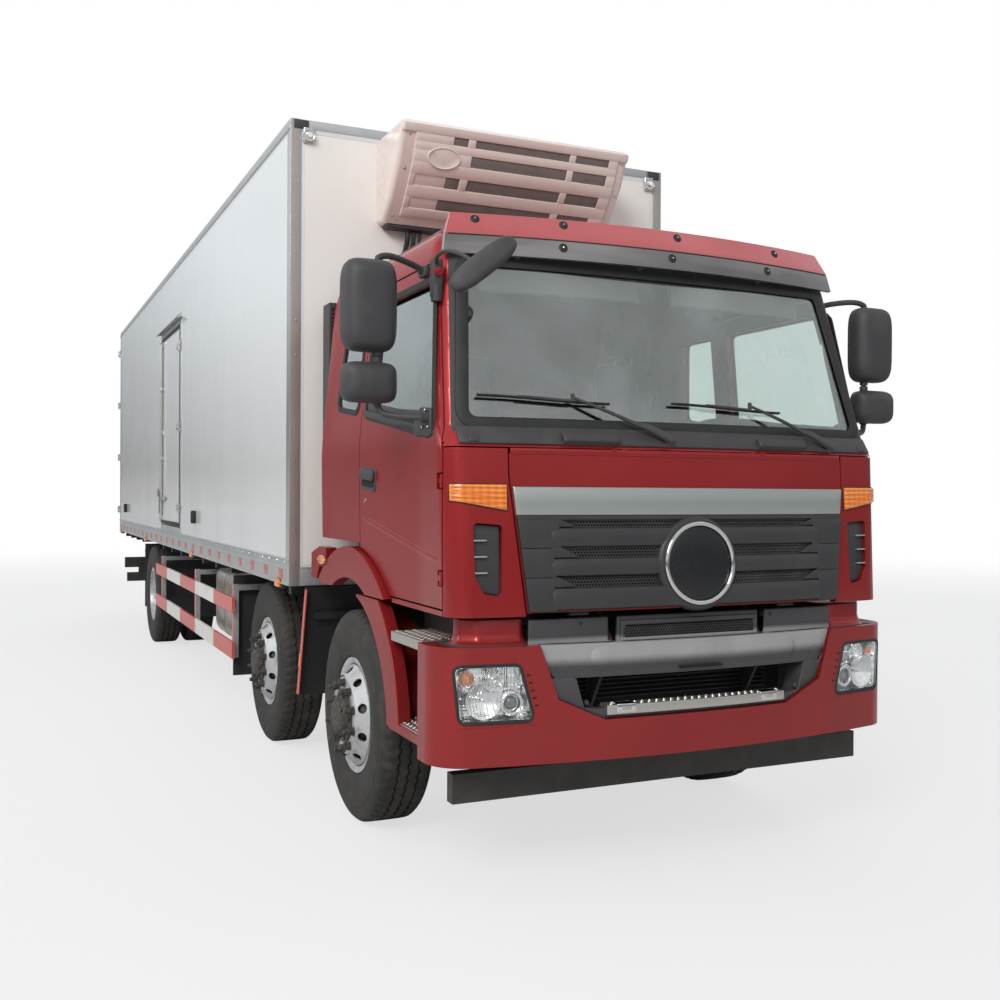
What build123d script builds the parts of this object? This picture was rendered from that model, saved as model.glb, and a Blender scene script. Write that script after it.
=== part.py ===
"""A three-axle refrigerated box truck, in millimetres: +X forward, +Y left, +Z up, origin on the ground."""

from build123d import *
from math import sqrt
import os

os.makedirs("parts", exist_ok=True)

# ---------------------------------------------------------------- driving dimensions
# Lengths are counted backwards from the front bumper's face.
front_to_box = 2300         # to the box's front face
box_length = 9664           # to the rear doors' outer faces
door_hardware = 36          # lock bars behind the rear doors
cab_rear = 2070             # to the cab's back
steer_axles = {"front": 1450, "second": 3400}
drive_axle = 8700
rail_front = 260            # where the chassis rails start

# Wheels
tyre_radius = 535
tyre_width = 284
rim_width = 236
flange_radius = 292         # rim flange
steer_track = 2010          # between the centre planes of a steered pair
twin_track = 1845           # between the middles of the rear pairs
twin_spacing = 330          # between the tyres of one pair
spindle_radius = 38
drive_spindle_radius = 50
running_gap = 0.05          # around a shaft in its bore
kingpin_radius = 20
kingpin_inset = 145         # from the wheel's centre plane in to the kingpin
stud_count = 10

# Chassis
rail_top = 1000
rail_height = 280
rail_outer = 430            # half the width over the rails
rail_flange = 80
rail_thickness = 9
cab_hinge = (140, 1000)     # behind the front, height
cab_hinge_pin = 20
tow_eye_radius = 22
tow_eye_inset = 30          # the towing eye ahead of the rails' ends

# Cab
cab_floor = 1165            # underside of the floor in front
cab_platform = 1420         # underside of the platform over the wheels
cab_skin = 60               # doors and walls
cab_crown = 72              # how far the front bows out
cab_corner = 110            # radius of its front corners
roof_seam = 2745
flap_bottom = 1178
flap_top = 1836
cowl_bottom = 1862
door_gap = 8
arch_radius = 860           # outer edge of the wheel arch

# Box
box_width = 2500
box_wall = 80
box_bottom = 1127
load_floor = 1250           # deck that the walls stand on
floor_cover = 8             # ribbed cover laid on the deck between the walls
cover_gap = 2
box_top = 3825
seal_gap = 6                # between a rear door and its frame
rear_frame_depth = 120
side_door_front = 6470
side_door_width = 1200
side_door_bottom = 1345
side_door_height = 1870
side_door_gap = 14
hinge_pin = 6
hinge_reach = 14            # hinge pins outboard of the box

# ---------------------------------------------------------------- places worked out from them
truck_length = front_to_box + box_length + door_hardware
front_x = truck_length / 2
rear_x = -front_x
axle_height = tyre_radius
rail_bottom = rail_top - rail_height
kingpin_y = steer_track / 2 - kingpin_inset
half_box = box_width / 2
leaf_face_x = rear_x + door_hardware            # outer face of the rear doors
frame_face_x = leaf_face_x + box_wall + seal_gap
box_front_x = front_x - front_to_box
roof_underside = box_top - box_wall


def behind(distance):
    """X of a place so far behind the bumper's face."""
    return front_x - distance


# ---------------------------------------------------------------- shapes used inside a BuildPart
def block(x, y, z, mode=Mode.ADD):
    """A box between two places on each axis."""
    with Locations(((x[0] + x[1]) / 2, (y[0] + y[1]) / 2, (z[0] + z[1]) / 2)):
        Box(abs(x[1] - x[0]), abs(y[1] - y[0]), abs(z[1] - z[0]), mode=mode)


def outline(points, corner=0):
    """A closed outline in the active sketch, its corners rounded."""
    with BuildLine() as loop:
        if corner:
            FilletPolyline(*points, radius=corner, close=True)
        else:
            Polyline(*points, close=True)
    make_face(loop.edges())


def plate_y(points, y, mode=Mode.ADD, corner=0):
    """An outline in X and Z, from one place to another along Y."""
    with BuildSketch(Plane.XZ.offset(-y[1])) as face:
        outline(points, corner)
    extrude(face.sketch, amount=y[1] - y[0], mode=mode)


def plate_x(points, x, mode=Mode.ADD, corner=0):
    """An outline in Y and Z, from one place to another along X."""
    with BuildSketch(Plane.YZ.offset(x[0])) as face:
        outline(points, corner)
    extrude(face.sketch, amount=x[1] - x[0], mode=mode)


def plate_z(points, z, mode=Mode.ADD, corner=0):
    """An outline in X and Y, from one height to another."""
    with BuildSketch(Plane.XY.offset(z[0])) as face:
        outline(points, corner)
    extrude(face.sketch, amount=z[1] - z[0], mode=mode)


def rod_y(x, z, radius, y, mode=Mode.ADD):
    """A round bar along Y."""
    with BuildSketch(Plane.XZ.offset(-y[1])) as face:
        with Locations((x, z)):
            Circle(radius)
    extrude(face.sketch, amount=y[1] - y[0], mode=mode)


def rod_x(y, z, radius, x, mode=Mode.ADD):
    """A round bar along X."""
    with BuildSketch(Plane.YZ.offset(x[0])) as face:
        with Locations((y, z)):
            Circle(radius)
    extrude(face.sketch, amount=x[1] - x[0], mode=mode)


def rod_z(x, y, radius, z, mode=Mode.ADD):
    """An upright round bar."""
    with BuildSketch(Plane.XY.offset(z[0])) as face:
        with Locations((x, y)):
            Circle(radius)
    extrude(face.sketch, amount=z[1] - z[0], mode=mode)


def tube(start, end, radius):
    """A round bar from one point to another."""
    along = Vector(*end) - Vector(*start)
    with BuildSketch(Plane(origin=start, z_dir=along)) as face:
        Circle(radius)
    extrude(face.sketch, amount=along.length)


def turned(axle_x, centre_y, side, rows, mode=Mode.ADD):
    """A ring turned about a wheel's axis. Rows are (outboard of the centre plane, radius)."""
    with BuildSketch(Plane.YZ.offset(axle_x)) as face:
        outline([(side * (centre_y + outboard), axle_height + radius) for outboard, radius in rows])
    revolve(face.sketch, axis=Axis((axle_x, 0, axle_height), (0, 1, 0)), mode=mode)


def save(piece, name):
    """Labels a piece and writes its file."""
    piece.part.label = name
    export_step(piece.part, f"parts/{name}.step")


def cab_shape(inset):
    """The cab's outside, or a like shape so far inside it, through plan sections from the floor up."""
    # height, front at the middle, half width, rear
    sections = (
        (cab_floor, 50, 1128, cab_rear),
        (1860, 92, 1140, cab_rear),
        (1950, 150, 1136, cab_rear),
        (2700, 368, 1066, cab_rear),
        (2790, 400, 1040, cab_rear - 4),
        (2845, 455, 985, cab_rear - 30),
        (2885, 570, 880, cab_rear - 110),
    )
    with BuildPart() as shape:
        for height, front, half_width, rear in sections:
            level = height - inset if height > roof_seam else height
            half = half_width - inset
            shoulder = behind(front + inset + cab_crown)
            with BuildSketch(Plane.XY.offset(level)) as section:
                with BuildLine():
                    ThreePointArc((shoulder, -half), (behind(front + inset), 0), (shoulder, half))
                    Polyline((shoulder, half), (behind(rear - inset), half),
                             (behind(rear - inset), -half), (shoulder, -half))
                make_face()
                fillet(section.vertices().group_by(Axis.X)[-1], cab_corner - inset / 2)
                fillet(section.vertices().group_by(Axis.X)[0], cab_corner / 2)
        loft(ruled=True)
    return shape.part


cab_outside = cab_shape(0)
cab_inside = cab_shape(cab_skin)


# ================================================================ chassis
# Two channel rails, cross members, the towing jaw behind and the brackets that carry the cab's hinge
rail_section = [                # Y, Z of the left rail, which opens inwards
    (rail_outer, rail_bottom), (rail_outer, rail_top), (rail_outer - rail_flange, rail_top),
    (rail_outer - rail_flange, rail_top - rail_thickness), (rail_outer - rail_thickness,
                                                            rail_top - rail_thickness),
    (rail_outer - rail_thickness, rail_bottom + rail_thickness),
    (rail_outer - rail_flange, rail_bottom + rail_thickness), (rail_outer - rail_flange, rail_bottom),
]
rail_rear = truck_length - 120
cross_members = (2500, 4300, 6000, 7700, 9700, 11700)
member_depth = 60
hinge_x = behind(cab_hinge[0])
hinge_z = cab_hinge[1]
bracket_inner = rail_outer - 25                 # the chassis bracket beside the cab's lug
lug_y = (bracket_inner - 26, bracket_inner - 2)  # the cab's lug on the left
lug_room = 8                                    # beside a lug where it swings through a slot
with BuildPart() as chassis_frame:
    plate_x(rail_section, (behind(rail_rear), behind(rail_front)))
    plate_y(
        [(behind(rail_front + 60), rail_bottom), (behind(rail_front + 60), rail_top),
         (hinge_x - 30, hinge_z + 30), (hinge_x + 30, hinge_z + 30), (hinge_x + 30, hinge_z - 40),
         (behind(rail_front), rail_bottom)],
        (bracket_inner, rail_outer - rail_thickness))
    rod_y(hinge_x, hinge_z, cab_hinge_pin, (bracket_inner - 30, bracket_inner))
    mirror(about=Plane.XZ)
    web = rail_outer - rail_thickness
    for distance in cross_members:
        block((behind(distance + member_depth), behind(distance)), (-web, web),
              (rail_bottom + 30, rail_top - 50))
    block((behind(420), behind(340)), (-web, web), (rail_bottom + rail_thickness, rail_bottom + 90))
    jaw_x = behind(rail_rear)
    for level in (rail_bottom + 60, rail_bottom + 150):
        block((jaw_x - 25, behind(cross_members[-1] + member_depth)), (-70, 70), (level, level + 20))
    rod_z(jaw_x + tow_eye_inset, 0, tow_eye_radius, (rail_bottom, rail_top - 60), Mode.SUBTRACT)
save(chassis_frame, "chassis_frame")

# Forged front beams: raised over the ends, dropped under the engine, a boss and kingpin at each end
beam_rows = [(845, 490), (845, 580), (380, 580), (330, 500)]        # Y, Z of the top's left half
beam_under = [(330, 400), (380, 470), (740, 490)]                   # and of its underside
beam_points = (beam_rows + [(-y, z) for y, z in reversed(beam_rows)]
               + [(-y, z) for y, z in reversed(beam_under)] + beam_under)
boss_height = (475, 595)
lug_gap = 5
lug_height = 40
with BuildPart() as front_axle_beams:
    for distance in steer_axles.values():
        x = behind(distance)
        plate_x(beam_points, (x - 45, x + 45))
        for side in (-1, 1):
            rod_z(x, side * kingpin_y, 42, boss_height)
            rod_z(x, side * kingpin_y, kingpin_radius,
                  (boss_height[0] - lug_gap - lug_height, boss_height[1] + lug_gap + lug_height))
save(front_axle_beams, "front_axle_beams")

# Banjo axle: housing, pinion nose, spring pads and the spindles for the twin wheels
hub_end = twin_track / 2 + 150
pad_y = (rail_outer + 25, rail_outer + 115)     # rear springs stand outside the rails
shaft_height = 600
nose_front = behind(drive_axle - 330)
with BuildPart() as rear_axle:
    x = behind(drive_axle)
    rod_y(x, axle_height, 75, (-640, 640))
    rod_y(x, axle_height, drive_spindle_radius, (-hub_end, hub_end))
    rod_y(x, axle_height, 205, (-120, 120))
    rod_x(0, shaft_height, 80, (x, nose_front))
    for side in (-1, 1):
        block((x - 80, x + 80), (side * pad_y[0], side * pad_y[1]), (axle_height, axle_height + 85))
save(rear_axle, "rear_axle")

# Leaf packs: the lowest leaf is the shortest, hangers rise to the rails
leaf_thickness = 18
with BuildPart() as leaf_springs:
    for distance in steer_axles.values():
        x = behind(distance)
        for side in (-1, 1):
            y = (side * (rail_outer - 45), side * (rail_outer + 40))
            for row, length in enumerate((900, 1150, 1400)):
                floor_z = 580 + row * leaf_thickness
                block((x - length / 2, x + length / 2), y, (floor_z, floor_z + leaf_thickness))
            for end in (-1, 1):
                block((x + end * 640, x + end * 700), y, (580 + 3 * leaf_thickness, rail_bottom))
    x = behind(drive_axle)
    for side in (-1, 1):
        y = (side * pad_y[0], side * pad_y[1])
        for row, length in enumerate((700, 1000, 1300, 1560)):
            floor_z = axle_height + 85 + row * leaf_thickness
            block((x - length / 2, x + length / 2), y, (floor_z, floor_z + leaf_thickness))
        for end in (-1, 1):
            block((x + end * 700, x + end * 780), (side * rail_outer, side * pad_y[1]),
                  (axle_height + 85 + 4 * leaf_thickness, rail_bottom + 160))
save(leaf_springs, "leaf_springs")

# The engine with its gearbox, as one plain block on the rails' flanges
engine_rear = 2150
with BuildPart() as engine:
    block((behind(1750), behind(900)), (-335, 335), (560, 1360))
    block((behind(engine_rear), behind(1750)), (-240, 240), (520, 1000))
    for distance in (1050, 1900):
        block((behind(distance + 80), behind(distance)),
              (-rail_outer + rail_thickness, rail_outer - rail_thickness), (rail_bottom + 40,
                  rail_bottom + 120))
save(engine, "engine")

with BuildPart() as drive_shaft:
    rod_x(0, shaft_height, 48, (nose_front, behind(engine_rear)))
    middle = behind(cross_members[1] + member_depth / 2)
    block((middle - 25, middle + 25), (-90, 90), (shaft_height, rail_bottom + 30))
save(drive_shaft, "drive_shaft")

# Tank on the right and battery box on the left, hung from the rails
tank_length = (4380, 5570)
tank_depth = 1080
with BuildPart() as fuel_tank:
    plate_x([(-rail_outer, 1045), (-tank_depth, 1045), (-tank_depth, 480), (-rail_outer - 40, 480),
             (-rail_outer - 40, 1000), (-rail_outer, 1000)],
            (behind(tank_length[1]), behind(tank_length[0])))
    fillet(fuel_tank.edges().filter_by(Axis.X).group_by(Axis.Y)[0], 110)
save(fuel_tank, "fuel_tank")

with BuildPart() as battery_box:
    block((behind(5300), behind(4450)), (rail_outer, 1040), (560, 1000))
    block((behind(5300), behind(4450)), (rail_outer, 1060), (1000, 1030))
save(battery_box, "battery_box")


# ---------------------------------------------------------------- bumper, lamps and steps
bumper_bottom = 560
bumper_top = 1047
bumper_half = 1187
bumper_side = 345           # how far its sides reach back
bumper_shell = 30
centre_panel = [(-760, bumper_top + 3), (760, bumper_top + 3), (680, 822), (470, 728), (-470, 728),
                (-680, 822)]
lamp_points = [(1114, 967), (849, 969), (786, 743), (1090, 743)]    # Y, Z of the left lamp
lamp_gap = 0.3


def bumper_shape(inset):
    """The bumper's plan, drawn up between its lower and upper edges, so far inside its face."""
    with BuildPart() as shape:
        with BuildSketch(Plane.XY.offset(bumper_bottom - 10)) as plan:
            half = bumper_half - inset
            with BuildLine():
                ThreePointArc((behind(135 + inset), -half), (behind(inset), 0), (behind(135 + inset), half))
                Polyline((behind(135 + inset), half), (behind(bumper_side), half),
                         (behind(bumper_side), -half), (behind(135 + inset), -half))
            make_face()
            fillet(plan.vertices().group_by(Axis.X)[-1], 170 - inset)
        extrude(amount=bumper_top - bumper_bottom + 20)
    return shape.part


bumper_outside = bumper_shape(0)
bumper_inside = bumper_shape(bumper_shell)
with BuildPart() as front_bumper:
    add(bumper_outside)
    block((behind(bumper_side + 1), front_x + 1), (-bumper_half, bumper_half),
          (bumper_bottom - 20, bumper_bottom), Mode.SUBTRACT)
    block((behind(bumper_side + 1), front_x + 1), (-bumper_half, bumper_half),
          (bumper_top, bumper_top + 20), Mode.SUBTRACT)
    add(bumper_inside, mode=Mode.SUBTRACT)
    plate_x(centre_panel, (behind(150), front_x + 1), Mode.SUBTRACT)
    plate_x(lamp_points, (behind(320), front_x + 1), Mode.SUBTRACT, corner=18)
    plate_x([(-y, z) for y, z in reversed(lamp_points)], (behind(320), front_x + 1), Mode.SUBTRACT,
            corner=18)
    # a deck closes the top outboard of the middle, and brackets reach back to the rails
    for side in (-1, 1):
        plate_z([(behind(110), side * 765), (behind(bumper_side), side * 765),
                 (behind(bumper_side), side * (bumper_half - 20)), (behind(190), side * (bumper_half - 20))],
                (bumper_top - 25, bumper_top - 2))
        block((behind(rail_front + 30), behind(36)),
              (side * (rail_outer + 2), side * (rail_outer + 30)), (600, 720))
        block((behind(rail_front + 90), behind(rail_front - 30)),
              (side * rail_outer, side * (rail_outer + 12)), (640, 760))
save(front_bumper, "front_bumper")

# The dark middle of the bumper: air opening, number bar and the mesh below the flap
opening = [(-595, 905), (595, 905), (560, 775), (-560, 775)]
with BuildPart() as bumper_centre:
    add(bumper_outside)
    add(bumper_shape(bumper_shell + 20), mode=Mode.SUBTRACT)
    plate_x(centre_panel, (behind(150), front_x + 1), Mode.INTERSECT)
    block((behind(150), front_x + 1), (-bumper_half, bumper_half), (bumper_top, bumper_top + 20),
          Mode.SUBTRACT)
    plate_x(opening, (behind(150), front_x + 1), Mode.SUBTRACT, corner=25)
    block((behind(100), behind(45)), (-620, 620), (bumper_top - 25, bumper_top))
    block((behind(98), behind(86)), (-600, 600), (bumper_top - 25, bumper_top + 66))
    for side in (-1, 1):        # slots that the cab's lugs swing through
        block((behind(101), behind(72)), (side * (lug_y[0] - lug_room), side * (lug_y[1] + lug_room)),
              (bumper_top - 30, bumper_top + 70), Mode.SUBTRACT)
save(bumper_centre, "bumper_centre")

with BuildPart() as headlamps:
    add(bumper_shape(6))
    add(bumper_shape(bumper_shell + 60), mode=Mode.SUBTRACT)
    with BuildSketch(Plane.YZ.offset(behind(320))):
        for side in (-1, 1):
            with BuildLine():
                FilletPolyline(*[(side * y, z) for y, z in lamp_points], radius=18, close=True)
            make_face()
        offset(amount=-lamp_gap)
    extrude(amount=320, mode=Mode.INTERSECT)
save(headlamps, "headlamps")

# A low bar under the bumper, on two arms from the rails
with BuildPart() as front_underrun_bar:
    block((behind(300), behind(240)), (-1071, 1071), (381, 507))
    for side in (-1, 1):
        block((behind(330), behind(300)), (side * (rail_outer - rail_flange), side * rail_outer),
              (420, rail_bottom))
save(front_underrun_bar, "front_underrun_bar")

# Lower wings with the step wells: a rolled lip round the wheel, the well's back wall and two treads
front_hub = behind(steer_axles["front"])
wing_inner = 636            # radius of the lower wing's inner edge
wing_outer = 800
lip_y = (1100, 1162)
well_y = 940
seam_height = 1165
with BuildPart() as step_wells:
    with BuildSketch(Plane.XZ.offset(-lip_y[1])):
        with Locations((front_hub, axle_height)):
            Circle(wing_outer)
            Circle(wing_inner, mode=Mode.SUBTRACT)
    extrude(amount=lip_y[1] - lip_y[0])
    with BuildSketch(Plane.XZ.offset(-lip_y[1] + 1)):
        with Locations((front_hub, axle_height)):
            Circle(wing_inner + 22)
            Circle(wing_inner, mode=Mode.SUBTRACT)
    extrude(amount=lip_y[1] - 760)
    block((front_hub + 150, front_hub + 900), (700, 1200), (606, seam_height), Mode.INTERSECT)
    plate_y([(front_hub + 640, 612), (behind(350), 612), (behind(350), 1150), (front_hub + 500, 1150)],
            (well_y - 14, well_y))
    block((behind(790), behind(350)), (well_y - 14, lip_y[1]), (600, 640))
    block((behind(790), behind(350)), (well_y - 14, lip_y[1] - 20), (1000, 1040))
    block((behind(700), behind(640)), (rail_outer, well_y), (760, 800))
    mirror(about=Plane.XZ)
save(step_wells, "step_wells")

# Sheets behind the first wheels, and flaps round the others
with BuildPart() as mudguards:
    plate_y([(behind(2270), 1118), (behind(2296), 1118), (behind(2500), 461), (behind(2474), 461)],
            (560, 1160))
    for distance in (steer_axles["second"] + 720, drive_axle - 680, drive_axle + 660):
        block((behind(distance + 14), behind(distance)), (600, 1215), (330, 1060))
    for distance in (steer_axles["second"] + 720, drive_axle - 680, drive_axle + 660):
        block((behind(distance + 40), behind(distance + 14)), (rail_outer, 1215), (960, 990))
    block((behind(2330), behind(2290)), (rail_outer, 1100), (930, 970))
    mirror(about=Plane.XZ)
save(mudguards, "mudguards")

# Side guards: two rails on posts, from the second wheel to the driven one
guard_length = (3999, 8140)
guard_rails = ((469, 590), (800, 910))          # lower and upper rail, bottom and top
guard_posts = (4060, 5720, 7826)
guard_y = (half_box - 22, half_box)
with BuildPart() as side_guards:
    for low, high in guard_rails:
        block((behind(guard_length[1]), behind(guard_length[0])), guard_y, (low, high))
    for distance in guard_posts:
        x = (behind(distance + 50), behind(distance))
        block(x, (guard_y[0] - 40, guard_y[0]), (guard_rails[0][0], 1000))
        block(x, (rail_outer, guard_y[0]), (rail_top - 45, rail_top - 5))
    mirror(about=Plane.XZ)
save(side_guards, "side_guards")

# Rear underrun bar with the lamp boxes, on arms below the rails
with BuildPart() as rear_bumper:
    bar_x = behind(truck_length - 90)
    block((bar_x - 60, bar_x), (-1150, 1150), (430, 550))
    for side in (-1, 1):
        block((bar_x, bar_x + 40), (side * (rail_outer - rail_flange), side * rail_outer),
              (450, rail_bottom))
        block((bar_x - 50, bar_x), (side * 760, side * 1180), (620, 760))
        block((bar_x - 40, bar_x - 10), (side * 900, side * 1000), (550, 620))
save(rear_bumper, "rear_bumper")


# ================================================================ insulated box
# Sleepers on the rails and bearers across, short where the wheels stand
sleeper_top = rail_top + 60
bearer_pitch = 610
with BuildPart() as box_subframe:
    for side in (-1, 1):
        block((frame_face_x + 20, box_front_x - 40), (side * (rail_outer - rail_flange), side * rail_outer),
              (rail_top, sleeper_top))
    bearer_count = int((box_front_x - frame_face_x - 300) // bearer_pitch)
    for index in range(bearer_count + 1):
        x = box_front_x - 200 - index * bearer_pitch
        near_wheel = any(abs(x - behind(hub)) < tyre_radius + 160 for hub in (steer_axles["second"],
            drive_axle))
        reach = 540 if near_wheel else half_box - 60
        block((x - 60, x), (-reach, reach), (sleeper_top, box_bottom))
save(box_subframe, "box_subframe")

with BuildPart() as box_floor:
    block((frame_face_x + rear_frame_depth, box_front_x), (-half_box, half_box), (box_bottom, load_floor))
    cover_half = half_box - box_wall - cover_gap
    block((frame_face_x + rear_frame_depth, box_front_x - box_wall - cover_gap), (-cover_half, cover_half),
          (load_floor, load_floor + floor_cover))
save(box_floor, "box_floor")

side_door_x = (behind(side_door_front + side_door_width), behind(side_door_front))
side_door_z = (side_door_bottom, side_door_bottom + side_door_height)
side_hinges = (1517, 2265, 3015)
with BuildPart() as box_walls:
    for side in (-1, 1):
        block((frame_face_x + rear_frame_depth, box_front_x),
              (side * (half_box - box_wall), side * half_box),
              (load_floor, roof_underside))
    block((side_door_x[0] - side_door_gap, side_door_x[1] + side_door_gap), (-half_box, box_wall - half_box),
          (side_door_z[0] - side_door_gap, side_door_z[1] + side_door_gap), Mode.SUBTRACT)
    # fixed halves of the side door's hinges
    pin_x = side_door_x[1] + 10
    for level in side_hinges:
        block((pin_x + 14, pin_x + 90), (-half_box - 6, -half_box), (level - 45, level + 45))
        for part_z in ((level + 16, level + 45), (level - 45, level - 16)):
            block((pin_x + 4, pin_x + 16), (-half_box - hinge_reach, -half_box), part_z)
            rod_z(pin_x, -half_box - hinge_reach, 10, part_z)
        rod_z(pin_x, -half_box - hinge_reach, hinge_pin, (level - 45, level + 45))
save(box_walls, "box_walls")

with BuildPart() as box_front_wall:
    block((box_front_x - box_wall, box_front_x), (box_wall - half_box, half_box - box_wall),
          (load_floor, roof_underside))
save(box_front_wall, "box_front_wall")

with BuildPart() as box_roof:
    block((frame_face_x + rear_frame_depth, box_front_x), (-half_box, half_box), (roof_underside, box_top))
save(box_roof, "box_roof")

# Steel portal behind, with the fixed halves of the door hinges on its posts
rear_hinges = (1420, 2130, 2840, 3550)
rear_pin_x = leaf_face_x - 10
rear_pin_y = half_box + hinge_reach
with BuildPart() as box_rear_frame:
    block((frame_face_x, frame_face_x + rear_frame_depth), (-half_box, half_box), (box_bottom, box_top))
    block((frame_face_x - 1, frame_face_x + rear_frame_depth + 1),
          (box_wall - half_box, half_box - box_wall),
          (load_floor, roof_underside), Mode.SUBTRACT)
    for side in (-1, 1):
        for level in rear_hinges:
            for part_z in ((level + 16, level + 45), (level - 45, level - 16)):
                block((rear_pin_x, frame_face_x + rear_frame_depth),
                      (side * half_box, side * (half_box + 6)), part_z)
                rod_z(rear_pin_x, side * rear_pin_y, 10, part_z)
                block((rear_pin_x, rear_pin_x + 12), (side * half_box, side * rear_pin_y), part_z)
            rod_z(rear_pin_x, side * rear_pin_y, hinge_pin, (level - 45, level + 45))
save(box_rear_frame, "box_rear_frame")

# Side door: an insulated leaf, hinge straps at its front and a lock bar at its rear
with BuildPart() as side_door:
    block(side_door_x, (-half_box, box_wall - half_box), side_door_z)
    for level in side_hinges:
        block((side_door_x[1] - 180, pin_x), (-half_box - 8, -half_box), (level - 14, level + 14))
        rod_z(pin_x, -half_box - hinge_reach, 10, (level - 14, level + 14))
        block((pin_x - 16, pin_x), (-half_box - hinge_reach, -half_box), (level - 14, level + 14))
        rod_z(pin_x, -half_box - hinge_reach, hinge_pin + running_gap, (level - 14, level + 14),
              Mode.SUBTRACT)
    bar_x = side_door_x[0] + 45
    rod_z(bar_x, -half_box - 20, 12, (side_door_z[0] + 20, side_door_z[1] - 20))
    for level in (side_door_z[0] + 60, 2265, side_door_z[1] - 60):
        block((bar_x - 25, bar_x + 25), (-half_box - 20, -half_box), (level - 20, level + 20))
    block((bar_x - 10, bar_x + 260), (-half_box - 34, -half_box - 14), (1580, 1620))
save(side_door, "side_door")

# Rear doors: two leaves over the portal's face, each with two lock bars
for name, side in (("rear_door_left", 1), ("rear_door_right", -1)):
    with BuildPart() as rear_door:
        block((leaf_face_x, leaf_face_x + box_wall), (side * 6, side * (half_box - 6)),
              (box_bottom + 20, box_top - 20))
        for level in rear_hinges:
            block((leaf_face_x - 8, leaf_face_x), (side * (half_box - 240), side * rear_pin_y),
                  (level - 14, level + 14))
            rod_z(rear_pin_x, side * rear_pin_y, 10, (level - 14, level + 14))
            rod_z(rear_pin_x, side * rear_pin_y, hinge_pin + running_gap, (level - 14, level + 14),
                  Mode.SUBTRACT)
        for bar_y in (260, 900):
            rod_z(leaf_face_x - 20, side * bar_y, 13, (box_bottom + 30, box_top - 30))
            for level in (box_bottom + 90, 1900, 2700, box_top - 90):
                block((leaf_face_x - 20, leaf_face_x), (side * (bar_y - 30), side * (bar_y + 30)),
                      (level - 22, level + 22))
            block((leaf_face_x - 35, leaf_face_x - 15), (side * (bar_y - 10), side * (bar_y + 230)),
                  (1480, 1520))
    save(rear_door, name)

# Cooling unit on the front wall, wedge-shaped below
unit_half = 736
unit_profile = [                # behind the front, height
    (front_to_box, 3257), (2200, 3257), (2078, 3371), (1934, 3556), (1850, 3740), (1872,
        3767), (front_to_box, 3767),
]
unit_rounding = 30
with BuildPart() as refrigeration_unit:
    plate_y([(behind(distance), height) for distance, height in unit_profile], (-unit_half, unit_half))
    side_edges = refrigeration_unit.faces().filter_by(Axis.Y).edges()
    fillet(side_edges.filter_by(lambda e: e.center().X > box_front_x + unit_rounding), unit_rounding)
save(refrigeration_unit, "refrigeration_unit")


# ================================================================ cab
# Closed outline of a door: sill, hinge edge, raked pillar, top, rear edge, then the arch. Behind, height.
door_front = 221
door_rear = 1321
door_sill = 1194
door_top = 2664
pillar_top = 470
arch_centre = steer_axles["front"]


def arch_depth(radius, height):
    """How far ahead of the hub a circle of that radius stands at a height."""
    return sqrt(radius ** 2 - (height - axle_height) ** 2)


def door_outline():
    """Draws a door's outline in the active XZ sketch."""
    radius = arch_radius + 12
    sill_rear = arch_centre - arch_depth(radius, door_sill)
    rear_foot = axle_height + sqrt(radius ** 2 - (arch_centre - door_rear) ** 2)
    middle = (sill_rear + door_rear) / 2
    middle_height = axle_height + sqrt(radius ** 2 - (arch_centre - middle) ** 2)
    with BuildLine() as loop:
        Polyline((behind(sill_rear), door_sill), (behind(door_front), door_sill), (behind(door_front), 1835),
                 (behind(pillar_top), door_top), (behind(door_rear), door_top), (behind(door_rear),
                     rear_foot))
        ThreePointArc((behind(door_rear), rear_foot), (behind(middle), middle_height),
                      (behind(sill_rear), door_sill))
    make_face(loop.edges())


door_window = [(305, 1908), (452, 2590), (1262, 2590), (1262, 2050)]        # behind, height
quarter_window = [(1392, 2070), (1392, 2590), (1700, 2590), (1762, 2118)]
screen_opening = [(-1042, 1968), (-962, 2672), (962, 2672), (1042, 1968)]   # Y, height


def window_points(rows):
    """A side window's outline in X and Z."""
    return [(behind(distance), height) for distance, height in rows]


# Pins of the doors and of the flap
door_hinges = (1320, 1720)
door_pin_x = behind(222)
door_pin_y = 1132
bulkhead_half = 1012        # the bulkhead ends here, clear of the doors' front edges as they swing
dash_half = 1000
flap_pin_x = behind(101)
flap_pin_z = (flap_top + cowl_bottom) / 2

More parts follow.
